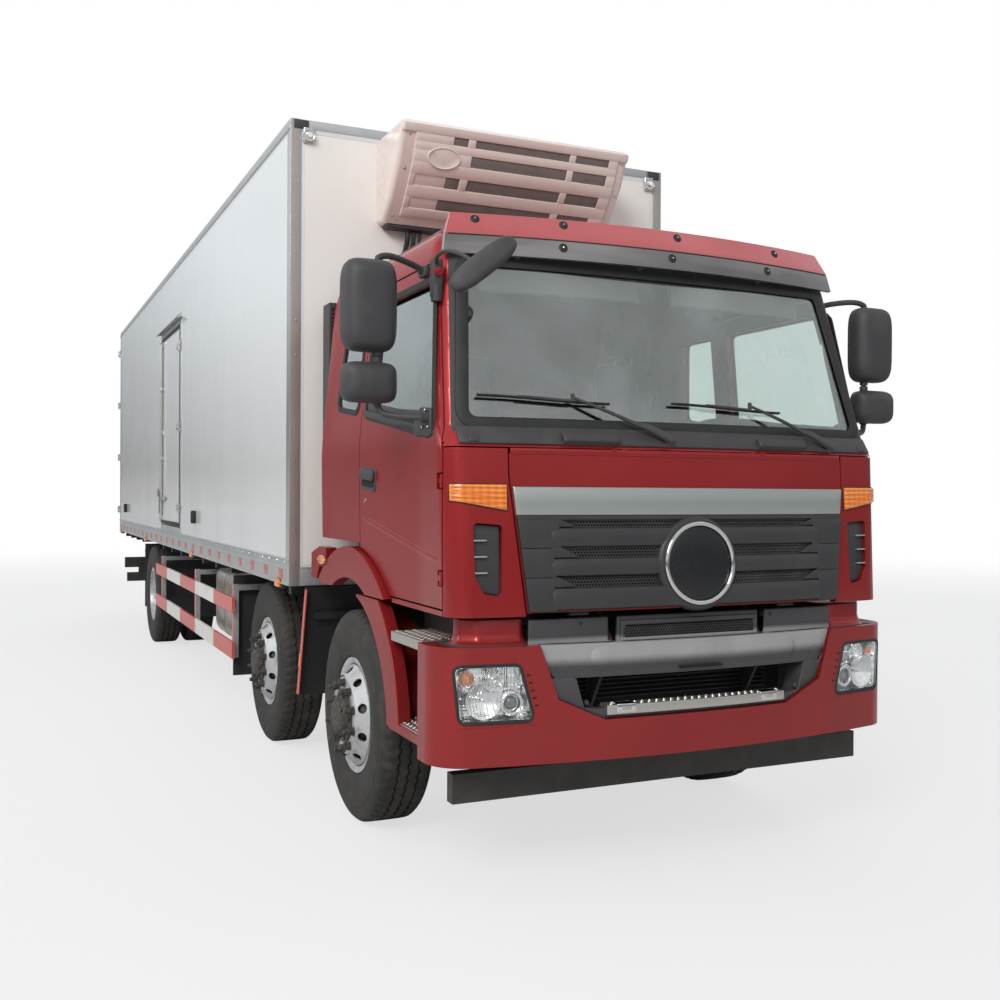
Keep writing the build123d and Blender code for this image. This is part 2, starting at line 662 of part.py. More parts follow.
# Room inside the cab: footwell, cowl shelf and the platform over the wheels
room = [(278, 1225), (278, 1880), (60, 1880), (60, 2900), (2100, 2900), (2100, 1480), (790, 1480),
        (790, 1225)]
with BuildPart() as cab_body:
    add(cab_outside)
    with BuildPart(mode=Mode.PRIVATE) as inside:
        add(cab_inside)
        plate_y([(behind(distance), height) for distance, height in room], (-1200, 1200), Mode.INTERSECT)
    add(inside.part, mode=Mode.SUBTRACT)
    block((behind(2100), behind(0)), (-1200, 1200), (roof_seam, 3000), Mode.SUBTRACT)
    block((behind(218), behind(0)), (-1200, 1200), (1100, cowl_bottom), Mode.SUBTRACT)
    block((behind(2200), behind(850)), (-1200, 1200), (1100, cab_platform), Mode.SUBTRACT)
    for side in (-1, 1):
        with BuildPart(mode=Mode.PRIVATE) as doorway:
            with BuildSketch(Plane.XZ.offset(-max(side * 990, side * 1200))):
                door_outline()
                offset(amount=door_gap, kind=Kind.INTERSECTION)
            extrude(amount=210)
            add(cab_shape(cab_skin + door_gap), mode=Mode.SUBTRACT)
        add(doorway.part, mode=Mode.SUBTRACT)
        block((behind(280), behind(217)), (side * bulkhead_half, side * 1200), (door_sill, cowl_bottom + 18),
              Mode.SUBTRACT)
    for side in (-1, 1):
        plate_y(window_points(quarter_window), sorted((side * 900, side * 1200)), Mode.SUBTRACT, corner=30)
    plate_x(screen_opening, (behind(600), behind(100)), Mode.SUBTRACT, corner=55)
    # fixed halves of the doors' and the flap's hinges
    for side in (-1, 1):
        for level in door_hinges:
            for part_z in ((level + 12, level + 28), (level - 28, level - 12)):
                block((door_pin_x - 22, door_pin_x + 4), sorted((side * 1000, side * door_pin_y)), part_z)
                rod_z(door_pin_x, side * door_pin_y, 6, part_z)
            rod_z(door_pin_x, side * door_pin_y, 3.5, (level - 28, level + 28))
        for part_y in (sorted((side * 330, side * 350)), sorted((side * 380, side * 400))):
            block((flap_pin_x - 10, flap_pin_x + 6), part_y, (flap_pin_z, cowl_bottom))
            rod_y(flap_pin_x, flap_pin_z, 6, part_y)
        rod_y(flap_pin_x, flap_pin_z, 3.5, sorted((side * 330, side * 400)))
    # lugs round the tilt hinge's pins
    for side in (-1, 1):
        lug = sorted((side * lug_y[0], side * lug_y[1]))
        plate_y([(behind(225), cab_floor + 5), (behind(330), cab_floor + 5), (hinge_x - 30, hinge_z - 25),
                 (hinge_x + 28, hinge_z - 25), (hinge_x + 28, hinge_z + 25)], lug)
        rod_y(hinge_x, hinge_z, cab_hinge_pin + running_gap, lug, Mode.SUBTRACT)
save(cab_body, "cab_body")

with BuildPart() as cab_roof:
    add(cab_outside)
    add(cab_inside, mode=Mode.SUBTRACT)
    block((behind(2100), behind(0)), (-1200, 1200), (1000, roof_seam), Mode.SUBTRACT)
save(cab_roof, "cab_roof")

# Windscreen and quarter windows, let into their openings
glass_outer = cab_shape(4)
glass_inner = cab_shape(12)
with BuildPart() as cab_windows:
    add(glass_outer)
    add(glass_inner, mode=Mode.SUBTRACT)
    with BuildPart(mode=Mode.PRIVATE) as panes:
        plate_x(screen_opening, (behind(600), behind(100)), corner=55)
        for side in (-1, 1):
            plate_y(window_points(quarter_window), sorted((side * 900, side * 1200)), corner=30)
    add(panes.part, mode=Mode.INTERSECT)
save(cab_windows, "cab_windows")

# Sun visor over the windscreen: a red brow with a smoked band below it, following the cab's front
visor_bottom = 2700
visor_split = 2789
with BuildPart() as roof_visor:
    for height, front, half in ((visor_bottom, 292, 1056), (visor_split, 310, 1040), (2890, 352, 1000)):
        with BuildSketch(Plane.XY.offset(height)):
            with BuildLine():
                ThreePointArc((behind(front + 120), -half), (behind(front), 0), (behind(front + 120), half))
                Line((behind(front + 120), half), (behind(front + 146), half))
                ThreePointArc((behind(front + 146), half), (behind(front + 26), 0),
                              (behind(front + 146), -half))
                Line((behind(front + 146), -half), (behind(front + 120), -half))
            make_face()
    loft(ruled=True)
    for y in (-800, -270, 270, 800):
        face = 310 + 120 * (y / 1040) ** 2
        block((behind(480), behind(face + 14)), (y - 15, y + 15), (2795, 2820))
    add(cab_outside, mode=Mode.SUBTRACT)
save(roof_visor, "roof_visor")

# Dashboard across the cab, with the steering column's tube
column_origin = (behind(720), 520, 1790)
column_lean = 28            # degrees from upright towards the driver
column = Plane(origin=column_origin, x_dir=(0, 1, 0), z_dir=Vector(0, 0, 1).rotate(Axis.Y, -column_lean))
column_bore = 14
with BuildPart() as dashboard:
    plate_y([(behind(278), 1500), (behind(278), 1955), (behind(420), 1985), (behind(560), 1960),
             (behind(640), 1860), (behind(650), 1700), (behind(600), 1500)], (-dash_half, dash_half))
    add(cab_inside, mode=Mode.INTERSECT)
    with BuildSketch(column.offset(-400)):
        Circle(38)
    extrude(amount=460)
    with BuildSketch(column.offset(-60)):
        Circle(column_bore + running_gap)
    extrude(amount=130, mode=Mode.SUBTRACT)
save(dashboard, "dashboard")

wheel_radius = 225
with BuildPart() as steering_wheel:
    with BuildSketch(Plane(origin=column.offset(150).origin, x_dir=column.x_dir, z_dir=column.y_dir)):
        with Locations((wheel_radius - 16, 0)):
            Circle(16)
    revolve(axis=Axis(column.offset(150).origin, column.z_dir))
    with BuildSketch(column.offset(66)):
        Circle(55)
    extrude(amount=70)
    for turn in (0, 120, 240):
        spoke = Plane(column.offset(120).location * Location((0, 0, 0), (0, 0, turn)))
        with BuildSketch(spoke):
            with Locations((wheel_radius / 2, 0)):
                Rectangle(wheel_radius - 30, 34)
        extrude(amount=26)
    with BuildSketch(column.offset(-50)):
        Circle(column_bore)
    extrude(amount=120)
save(steering_wheel, "steering_wheel")

# Driver's and passenger's seats on their pedestals
with BuildPart() as seats:
    for side in (-1, 1):
        y = (side * 520 - 240, side * 520 + 240)
        block((behind(1500), behind(1050)), (y[0] + 60, y[1] - 60), (1480, 1760))
        plate_y([(behind(1520), 1760), (behind(1000), 1780), (behind(1000), 1880), (behind(1400), 1870),
                 (behind(1480), 2440), (behind(1530), 2620), (behind(1640), 2610), (behind(1600), 2400),
                 (behind(1530), 1760)], y)
save(seats, "seats")

# Corner panels outboard of the flap, each with a vent pocket
flap_edge = ((flap_bottom - 6, 804), (1740, 871), (flap_top, 871))      # height, half width of the flap
flap_gap = 6
panel_thickness = 36
vent_pocket = [(905, 1540), (1030, 1550), (1025, 1330), (990, 1262), (915, 1248)]       # Y, height
panel_bottom = 1160
panel_top = cowl_bottom - 6
with BuildPart() as corner_panels:
    add(cab_outside)
    add(cab_shape(panel_thickness), mode=Mode.SUBTRACT)
    with BuildPart(mode=Mode.PRIVATE) as zone:
        edge = [(half + flap_gap, height) for height, half in flap_edge]
        edge[0], edge[-1] = (edge[0][0], panel_bottom), (edge[-1][0], panel_top)
        plate_x([*edge, (1200, panel_top), (1200, panel_bottom)], (behind(door_front - door_gap), front_x))
    add(zone.part, mode=Mode.INTERSECT)
    plate_x(vent_pocket, (behind(240), front_x), Mode.SUBTRACT, corner=18)
    mirror(about=Plane.XZ)
    for side in (-1, 1):
        for level in (1215, 1800):
            block((behind(218), behind(150)), sorted((side * 930, side * 1000)), (level - 15, level + 15))
save(corner_panels, "corner_panels")

# Upper wheel arches, fixed under the cab: lip and sheet from the wing's seam to a squared tail
with BuildPart() as wheel_arches:
    with BuildSketch(Plane.XZ.offset(-lip_y[1])):
        with Locations((front_hub, axle_height)):
            Circle(arch_radius)
            Circle(700, mode=Mode.SUBTRACT)
    extrude(amount=lip_y[1] - lip_y[0])
    with BuildSketch(Plane.XZ.offset(-lip_y[1] + 1)):
        with Locations((front_hub, axle_height)):
            Circle(arch_radius)
            Circle(arch_radius - 16, mode=Mode.SUBTRACT)
    extrude(amount=lip_y[1] - 700)
    block((behind(1990), behind(880)), (600, 1300), (seam_height + 8, 1500), Mode.INTERSECT)
    plate_y([(behind(1850), 1268), (behind(1850), 1370), (behind(1990), 1372), (behind(2150), 1330),
             (behind(2150), 1190), (behind(2040), 1190), (behind(1990), 1262)], lip_y)
    block((behind(1990), behind(1300)), (900, 930), (1330, cab_platform))
    mirror(about=Plane.XZ)
save(wheel_arches, "wheel_arches")

# Air intake behind the cab's right corner
with BuildPart() as air_intake:
    block((behind(cab_rear + 130), behind(cab_rear)), (-1085, -985), (2120, 2740))
    block((behind(cab_rear + 130), behind(cab_rear)), (-1085, -860), (1960, 2120))
    block((behind(cab_rear + 120), behind(cab_rear)), (-960, -860), (1450, 1960))
save(air_intake, "air_intake")

# Front flap with the grille, hinged along its top edge
with BuildPart() as front_flap:
    add(cab_outside)
    add(cab_shape(45), mode=Mode.SUBTRACT)
    plate_x([(-half, max(height, flap_bottom)) for height, half in flap_edge]
            + [(half, max(height, flap_bottom)) for height, half in reversed(flap_edge)],
            (behind(300), front_x), Mode.INTERSECT)
    for side in (-1, 1):
        part_y = sorted((side * 351, side * 379))
        block((flap_pin_x - 10, flap_pin_x + 2), part_y, (flap_top - 8, flap_pin_z))
        rod_y(flap_pin_x, flap_pin_z, 6, part_y)
        rod_y(flap_pin_x, flap_pin_z, 3.5 + running_gap, part_y, Mode.SUBTRACT)
save(front_flap, "front_flap")

# Doors, their glass and the mirrors they carry
mirror_heads = (            # behind, out, height, then the head's width, height and depth
    (450, 1368, 2455, 240, 392, 120),
    (437, 1371, 2131, 240, 172, 110),
)
for name, side in (("right", -1), ("left", 1)):
    reach = sorted((side * 1000, side * 1200))
    with BuildPart() as door:
        add(cab_outside)
        add(cab_inside, mode=Mode.SUBTRACT)
        with BuildPart(mode=Mode.PRIVATE) as zone:
            with BuildSketch(Plane.XZ.offset(-reach[1])):
                door_outline()
            extrude(amount=200)
        add(zone.part, mode=Mode.INTERSECT)
        plate_y(window_points(door_window), reach, Mode.SUBTRACT, corner=35)
        for level in door_hinges:
            block((door_pin_x - 44, door_pin_x + 6), sorted((side * 1000, side * 1150)),
                  (level - 34, level + 34),
                  Mode.SUBTRACT)
            block((door_pin_x - 50, door_pin_x), sorted((side * 1112, side * 1130)),
                  (level - 11, level + 11))
            rod_z(door_pin_x, side * door_pin_y, 6, (level - 11, level + 11))
            rod_z(door_pin_x, side * door_pin_y, 3.5 + running_gap, (level - 11, level + 11), Mode.SUBTRACT)
    save(door, f"door_{name}")
    with BuildPart() as door_glass:
        add(cab_shape(26))
        add(cab_shape(31), mode=Mode.SUBTRACT)
        with BuildPart(mode=Mode.PRIVATE) as zone:
            plate_y(window_points(door_window), reach, corner=35)
        add(zone.part, mode=Mode.INTERSECT)
    save(door_glass, f"door_glass_{name}")
    with BuildPart() as mirror_unit:
        for distance, out, height, wide, tall, deep in mirror_heads:
            with BuildPart(mode=Mode.PRIVATE) as head:
                with Locations((behind(distance), side * out, height)):
                    Box(deep, wide, tall)
                fillet(head.edges(), 35)
            add(head.part)
        rod_z(behind(450), side * 1330, 12, (2040, 2690))
        tube((behind(450), side * 1330, 2680), (behind(560), side * 1090, 2640), 13)
        tube((behind(450), side * 1330, 2045), (behind(345), side * 1170, 2000), 13)
        block((behind(610), behind(540)), sorted((side * 1060, side * 1100)), (2618, 2656))
        block((behind(430), behind(310)), sorted((side * 1114, side * 1178)), (1925, 2040))
        add(door.part, mode=Mode.SUBTRACT)
        add(door_glass.part, mode=Mode.SUBTRACT)
    save(mirror_unit, f"mirror_{name}")

# Kerb mirror hung ahead of the right pillar
with BuildPart() as front_mirror:
    with BuildPart(mode=Mode.PRIVATE) as head:
        with Locations(Location((behind(80), -1010, 2594), (39, 0, 0))):
            Box(80, 360, 120)
        fillet(head.edges(), 30)
    add(head.part)
    tube((behind(100), -1010, 2630), (behind(440), -1000, 2655), 11)
    tube((behind(100), -1010, 2570), (behind(400), -1035, 2530), 11)
    block((behind(470), behind(395)), (-1015, -985), (2500, 2690))
    add(cab_outside, mode=Mode.SUBTRACT)
save(front_mirror, "front_mirror")


# ================================================================ wheels
tyre_rows = [               # outboard, radius
    (-106, 263), (-106, 293), (-125, 300), (-tyre_width / 2, 400), (-136, 470), (-116, 520), (-98,
        tyre_radius),
    (98, tyre_radius), (116, 520), (136, 470), (tyre_width / 2, 400), (125, 300), (106, 293), (106, 263),
]
rim_half = rim_width / 2
barrel_rows = [
    (-rim_half, flange_radius), (-107, flange_radius), (-107, 262.5), (-70, 258), (-50, 240), (20,
        240), (45, 258),
    (107, 262.5), (107, flange_radius), (rim_half, flange_radius), (rim_half, 256), (52, 247), (26,
        229), (-56, 229),
    (-76, 247), (-rim_half, 256),
]
hole_radius = 17
hole_circle = 217


def stud_holes(axle_x, count, circle, radius, y):
    """Holes along Y round a wheel's axis."""
    with BuildSketch(Plane.XZ.offset(-y[1])) as holes:
        with Locations((axle_x, axle_height)):
            with PolarLocations(circle, count):
                Circle(radius)
    extrude(holes.sketch, amount=y[1] - y[0], mode=Mode.SUBTRACT)


for axle, distance in steer_axles.items():
    hub_x = behind(distance)
    for name, side in (("left", 1), ("right", -1)):
        centre = steer_track / 2
        with BuildPart() as tyre:
            turned(hub_x, centre, side, tyre_rows)
        save(tyre, f"{axle}_tyre_{name}")
        bore = spindle_radius + running_gap
        with BuildPart() as rim:
            turned(hub_x, centre, side, barrel_rows)
            turned(hub_x, centre, side, [(24, 232), (52, 246), (62, 238), (100, 205), (106, 192), (106, 141),
                                         (94, 141), (94, 188), (88, 198), (54, 226)])
            stud_holes(hub_x, stud_count, hole_circle, hole_radius,
                       sorted((side * (centre + 40), side * (centre + 110))))
            turned(hub_x, centre, side, [(-40, bore), (-40, 90), (60, 90), (70, 188), (94, 188), (94, 136),
                                         (114, 134), (120, 105), (150, 98), (168, 80), (168, 0), (150,
                                             0), (150, bore)])
            turned(hub_x, centre, side, [(-60, 195), (-60, 210), (72, 210), (72, 180), (60, 180), (60, 195)])
        save(rim, f"{axle}_rim_{name}")
        with BuildPart() as knuckle:
            low, high = boss_height
            for lug in ((low - lug_gap - lug_height, low - lug_gap),
                        (high + lug_gap, high + lug_gap + lug_height)):
                rod_z(hub_x, side * kingpin_y, 42, lug)
                block((hub_x - 42, hub_x + 42), (side * kingpin_y, side * (kingpin_y + 76)), lug)
                rod_z(hub_x, side * kingpin_y, kingpin_radius + running_gap, lug, Mode.SUBTRACT)
            block((hub_x - 60, hub_x + 60), (side * (kingpin_y + 50), side * (kingpin_y + 76)),
                  (low - lug_gap - lug_height, high + lug_gap + lug_height))
            rod_y(hub_x, axle_height, spindle_radius,
                  sorted((side * (kingpin_y + 70), side * (centre + 140))))
        save(knuckle, f"{axle}_knuckle_{name}")

# Twin wheels behind: two tyres, two rims bolted face to face on one hub
drive_x = behind(drive_axle)
for name, side in (("left", 1), ("right", -1)):
    middle = twin_track / 2
    with BuildPart() as tyres:
        for offset_y in (-twin_spacing / 2, twin_spacing / 2):
            turned(drive_x, middle + offset_y, side, tyre_rows)
    save(tyres, f"rear_tyres_{name}")
    with BuildPart() as rims:
        for direction in (-1, 1):
            centre = middle + direction * twin_spacing / 2
            turned(drive_x, centre, side, [(-direction * a, r) for a, r in barrel_rows])
            turned(drive_x, centre, side,
                   [(-direction * a, r) for a,
                    r in ((24, 232), (52, 246), (70, 238), (150, 212), (165.1, 192),
                                                     (165.1, 110), (153, 110), (153, 186), (142,
                                                         200), (60, 228))])
            stud_holes(drive_x, stud_count, hole_circle, hole_radius,
                       sorted((side * (centre - direction * 150), side * (centre - direction * 50))))
        bore = drive_spindle_radius + running_gap
        turned(drive_x, middle, side, [(-150, bore), (-150, 100), (-30, 115), (30, 115), (60, 112),
                                       (150, 100),
                                       (172, 80), (172, 0), (152, 0), (152, bore)])
        turned(drive_x, middle, side, [(-190, 196), (-190, 212), (-20, 212), (-12, 190), (-24, 190),
                                       (-24, 196)])
    save(rims, f"rear_rims_{name}")
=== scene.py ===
"""Refrigerated truck with a tilting cab: the looks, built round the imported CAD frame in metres."""

from functools import cache

import bmesh
import bpy
import numpy as np
from mathutils import Matrix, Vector
from mathutils.bvhtree import BVHTree

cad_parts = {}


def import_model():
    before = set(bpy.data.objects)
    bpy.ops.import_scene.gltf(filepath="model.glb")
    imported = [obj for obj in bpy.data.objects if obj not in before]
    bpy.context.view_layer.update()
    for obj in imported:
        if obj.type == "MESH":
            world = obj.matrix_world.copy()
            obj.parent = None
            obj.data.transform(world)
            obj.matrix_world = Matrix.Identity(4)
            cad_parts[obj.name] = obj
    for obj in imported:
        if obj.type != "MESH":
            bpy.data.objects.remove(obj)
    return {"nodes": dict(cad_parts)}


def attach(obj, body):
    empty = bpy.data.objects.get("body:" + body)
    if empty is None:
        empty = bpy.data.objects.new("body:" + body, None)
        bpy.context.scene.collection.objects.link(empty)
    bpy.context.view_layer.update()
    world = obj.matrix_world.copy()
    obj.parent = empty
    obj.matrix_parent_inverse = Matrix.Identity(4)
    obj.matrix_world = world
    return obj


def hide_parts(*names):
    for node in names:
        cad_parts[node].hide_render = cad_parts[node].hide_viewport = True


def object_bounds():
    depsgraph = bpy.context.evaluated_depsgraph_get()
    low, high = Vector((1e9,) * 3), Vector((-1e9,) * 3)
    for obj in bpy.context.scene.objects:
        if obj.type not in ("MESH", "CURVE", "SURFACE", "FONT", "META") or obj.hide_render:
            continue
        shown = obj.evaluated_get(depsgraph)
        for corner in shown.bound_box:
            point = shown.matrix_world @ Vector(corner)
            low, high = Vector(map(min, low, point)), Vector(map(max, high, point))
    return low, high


bl_info = {
    "name": "Refrigerated truck",
    "version": (1, 0, 0),
    "blender": (4, 5, 0),
    "location": "View3D > Sidebar > Truck",
    "description": "Builds the visible pieces and finishes of a refrigerated truck round its CAD frame",
    "category": "Add Mesh",
}

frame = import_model()
CAD_BOX = [list(corner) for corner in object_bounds()]
SIDES = (-1, 1)                 # right, left
NAMES = {-1: "right", 1: "left"}
FRONT = CAD_BOX[1][0]           # X of the bumper's face
AXLE_Z = 0.535
AXLES = {"front": FRONT - 1.45, "second": FRONT - 3.4, "rear": FRONT - 8.7}
BOX_REAR = -5.964
BOX_SIDE = 1.25
CAB_REAR = FRONT - 2.07


# ---------------------------------------------------------------- outlines and surfaces
def rounded(points, radius, steps=4):
    """Closed outline whose corners are arcs: each arc's centre lies on the corner's bisector, where a circle of
    the radius touches both sides, and its points turn evenly from one touching point to the other."""
    p = np.asarray(points, float)
    back = np.roll(p, 1, 0) - p
    ahead = np.roll(p, -1, 0) - p
    back_len = np.linalg.norm(back, axis=1)
    ahead_len = np.linalg.norm(ahead, axis=1)
    back /= back_len[:, None]
    ahead /= ahead_len[:, None]
    half = np.arccos(np.clip((back * ahead).sum(1), -1, 1)) / 2
    limit = np.minimum(back_len, ahead_len) * 0.49 * np.tan(half)
    r = np.minimum(np.broadcast_to(radius, len(p)), limit)
    bisector = back + ahead
    bisector /= np.maximum(np.linalg.norm(bisector, axis=1), 1e-9)[:, None]
    centre = p + bisector * (r / np.sin(half))[:, None]
    start = p + back * (r / np.tan(half))[:, None] - centre
    end = p + ahead * (r / np.tan(half))[:, None] - centre
    turn = np.arctan2(start[:, 0] * end[:, 1] - start[:, 1] * end[:, 0], (start * end).sum(1))
    angle = turn[:, None] * np.linspace(0, 1, steps + 1)
    c, s = np.cos(angle), np.sin(angle)
    x = centre[:, :1] + start[:, :1] * c - start[:, 1:] * s
    y = centre[:, 1:] + start[:, :1] * s + start[:, 1:] * c
    return np.stack([x, y], -1).reshape(-1, 2)


def winding(outline):
    """1 where an outline runs anticlockwise, -1 where it runs clockwise."""
    x, y = np.asarray(outline, float).T
    return np.sign((x * np.roll(y, -1) - y * np.roll(x, -1)).sum())


def rectangle(x, y):
    """Corners of a rectangle between two places on each axis."""
    return [(x[0], y[0]), (x[1], y[0]), (x[1], y[1]), (x[0], y[1])]


def hoop(along, radius, thick, sides):
    """Rows of a round bar bent into a ring, for turning."""
    return [(along + thick * np.sin(a), radius + thick * np.cos(a))
            for a in np.linspace(0, 2 * np.pi, sides, False)]


def dome(base, height, radius, steps=7, power=1.0):
    """Rows of a quarter oval from its rim to its top, for turning."""
    return [(base + height * np.cos(a), radius * np.sin(a) ** power)
            for a in np.linspace(0, np.pi / 2, steps)][::-1]


def bent(value, power):
    """A power of a number's size, under the number's own sign."""
    return np.sign(value) * np.abs(value) ** power


def inset(points, distance):
    """Outline moved inwards by a distance: each point slides along the mean of its two sides' inward normals,
    further where the corner is sharper."""
    p = np.asarray(points, float)
    ahead = np.roll(p, -1, 0) - p
    ahead /= np.maximum(np.linalg.norm(ahead, axis=1), 1e-9)[:, None]
    normal = np.stack([-ahead[:, 1], ahead[:, 0]], 1) * winding(p)
    mean = normal + np.roll(normal, 1, 0)
    mean /= np.maximum(np.linalg.norm(mean, axis=1), 1e-9)[:, None]
    return p + mean * (distance / np.maximum((mean * normal).sum(1), 0.35))[:, None]


def circle(radius, sides, phase=0.0):
    """Points at even angles on a circle."""
    angle = np.arange(sides) * 2 * np.pi / sides + phase
    return radius * np.stack([np.cos(angle), np.sin(angle)], 1)


def smooth_path(points, steps=8):
    """Catmull-Rom curve through points: each span is the cubic whose end slopes are half the neighbours' gap."""
    p = np.asarray(points, float)
    full = np.vstack([2 * p[0] - p[1], p, 2 * p[-1] - p[-2]])
    a, b, c, d = full[:-3, None], full[1:-2, None], full[2:-1, None], full[3:, None]
    t = np.linspace(0, 1, steps, endpoint=False)[None, :, None]
    curve = 0.5 * (2 * b + (c - a) * t + (2 * a - 5 * b + 4 * c - d) * t**2 + (3 * b - a - 3 * c + d) * t**3)
    return np.vstack([curve.reshape(-1, p.shape[1]), p[-1:]])


def sweep(path, profile, up=(0, 0, 1), closed=False):
    """Rings of a profile carried along a path: the profile's first axis lies across the path, square to up, and
    its second lies along up, made square to the path."""
    path = np.asarray(path, float)
    ahead = np.roll(path, -1, 0) - path
    behind = path - np.roll(path, 1, 0)
    if not closed:
        ahead[-1], behind[0] = behind[-1], ahead[0]
    tangent = ahead / np.maximum(np.linalg.norm(ahead, axis=1), 1e-9)[:, None]
    tangent += behind / np.maximum(np.linalg.norm(behind, axis=1), 1e-9)[:, None]
    tangent /= np.linalg.norm(tangent, axis=1)[:, None]
    up = np.broadcast_to(np.asarray(up, float), path.shape)
    across = np.cross(up, tangent)
    across /= np.maximum(np.linalg.norm(across, axis=1), 1e-9)[:, None]
    rise = np.cross(tangent, across)
    profile = np.asarray(profile, float)
    return (path[:, None] + across[:, None] * profile[None, :, :1] + rise[:, None] * profile[None, :, 1:])


def lathe(rows, centre, segments=48, axis=(0, 1, 0)):
    """Rings turned about an axis through centre. Rows are (along the axis, radius)."""
    rows = np.asarray(rows, float)
    axis = np.asarray(axis, float) / np.linalg.norm(axis)
    side = np.cross(axis, (0, 0, 1) if abs(axis[2]) < 0.9 else (1, 0, 0))
    side /= np.linalg.norm(side)
    ring = circle(1.0, segments)
    round_about = ring[:, :1] * side + ring[:, 1:] * np.cross(axis, side)
    return np.asarray(centre, float) + rows[:, None, :1] * axis + rows[:, None, 1:] * round_about


def placed(rings, origin, first, second, third):
    """Rings of (a, b, c) numbers set at origin with a along first, b along second and c along third."""
    rings = np.asarray(rings, float)
    first, second, third = np.array((first, second, third), float)
    return np.asarray(origin, float) + rings[..., :1] * first + rings[..., 1:2] * second + rings[..., 2:3] * third


def slab(outline, low, high, edge=0.003, steps=3):
    """Rings of a plate between two levels, its edges rounded: the outline moves in by edge times one less the
    sine, while the level moves by edge times one less the cosine, of an angle from nought to a right angle."""
    turn = np.linspace(0, np.pi / 2, steps + 1)
    insets = np.concatenate([edge * (1 - np.sin(turn)), edge * (1 - np.sin(turn[::-1]))])
    levels = np.concatenate([low + edge * (1 - np.cos(turn)), high - edge * (1 - np.cos(turn[::-1]))])
    return np.array([np.column_stack([inset(outline, shift), np.full(len(outline), level)])
                     for shift, level in zip(insets, levels)])


FACING = {                      # axes of an outline seen from that side, and the way its thickness goes
    "+x": ((0, 1, 0), (0, 0, 1), (1, 0, 0)),
    "+y": ((1, 0, 0), (0, 0, 1), (0, 1, 0)),
    "+z": ((1, 0, 0), (0, 1, 0), (0, 0, 1)),
}


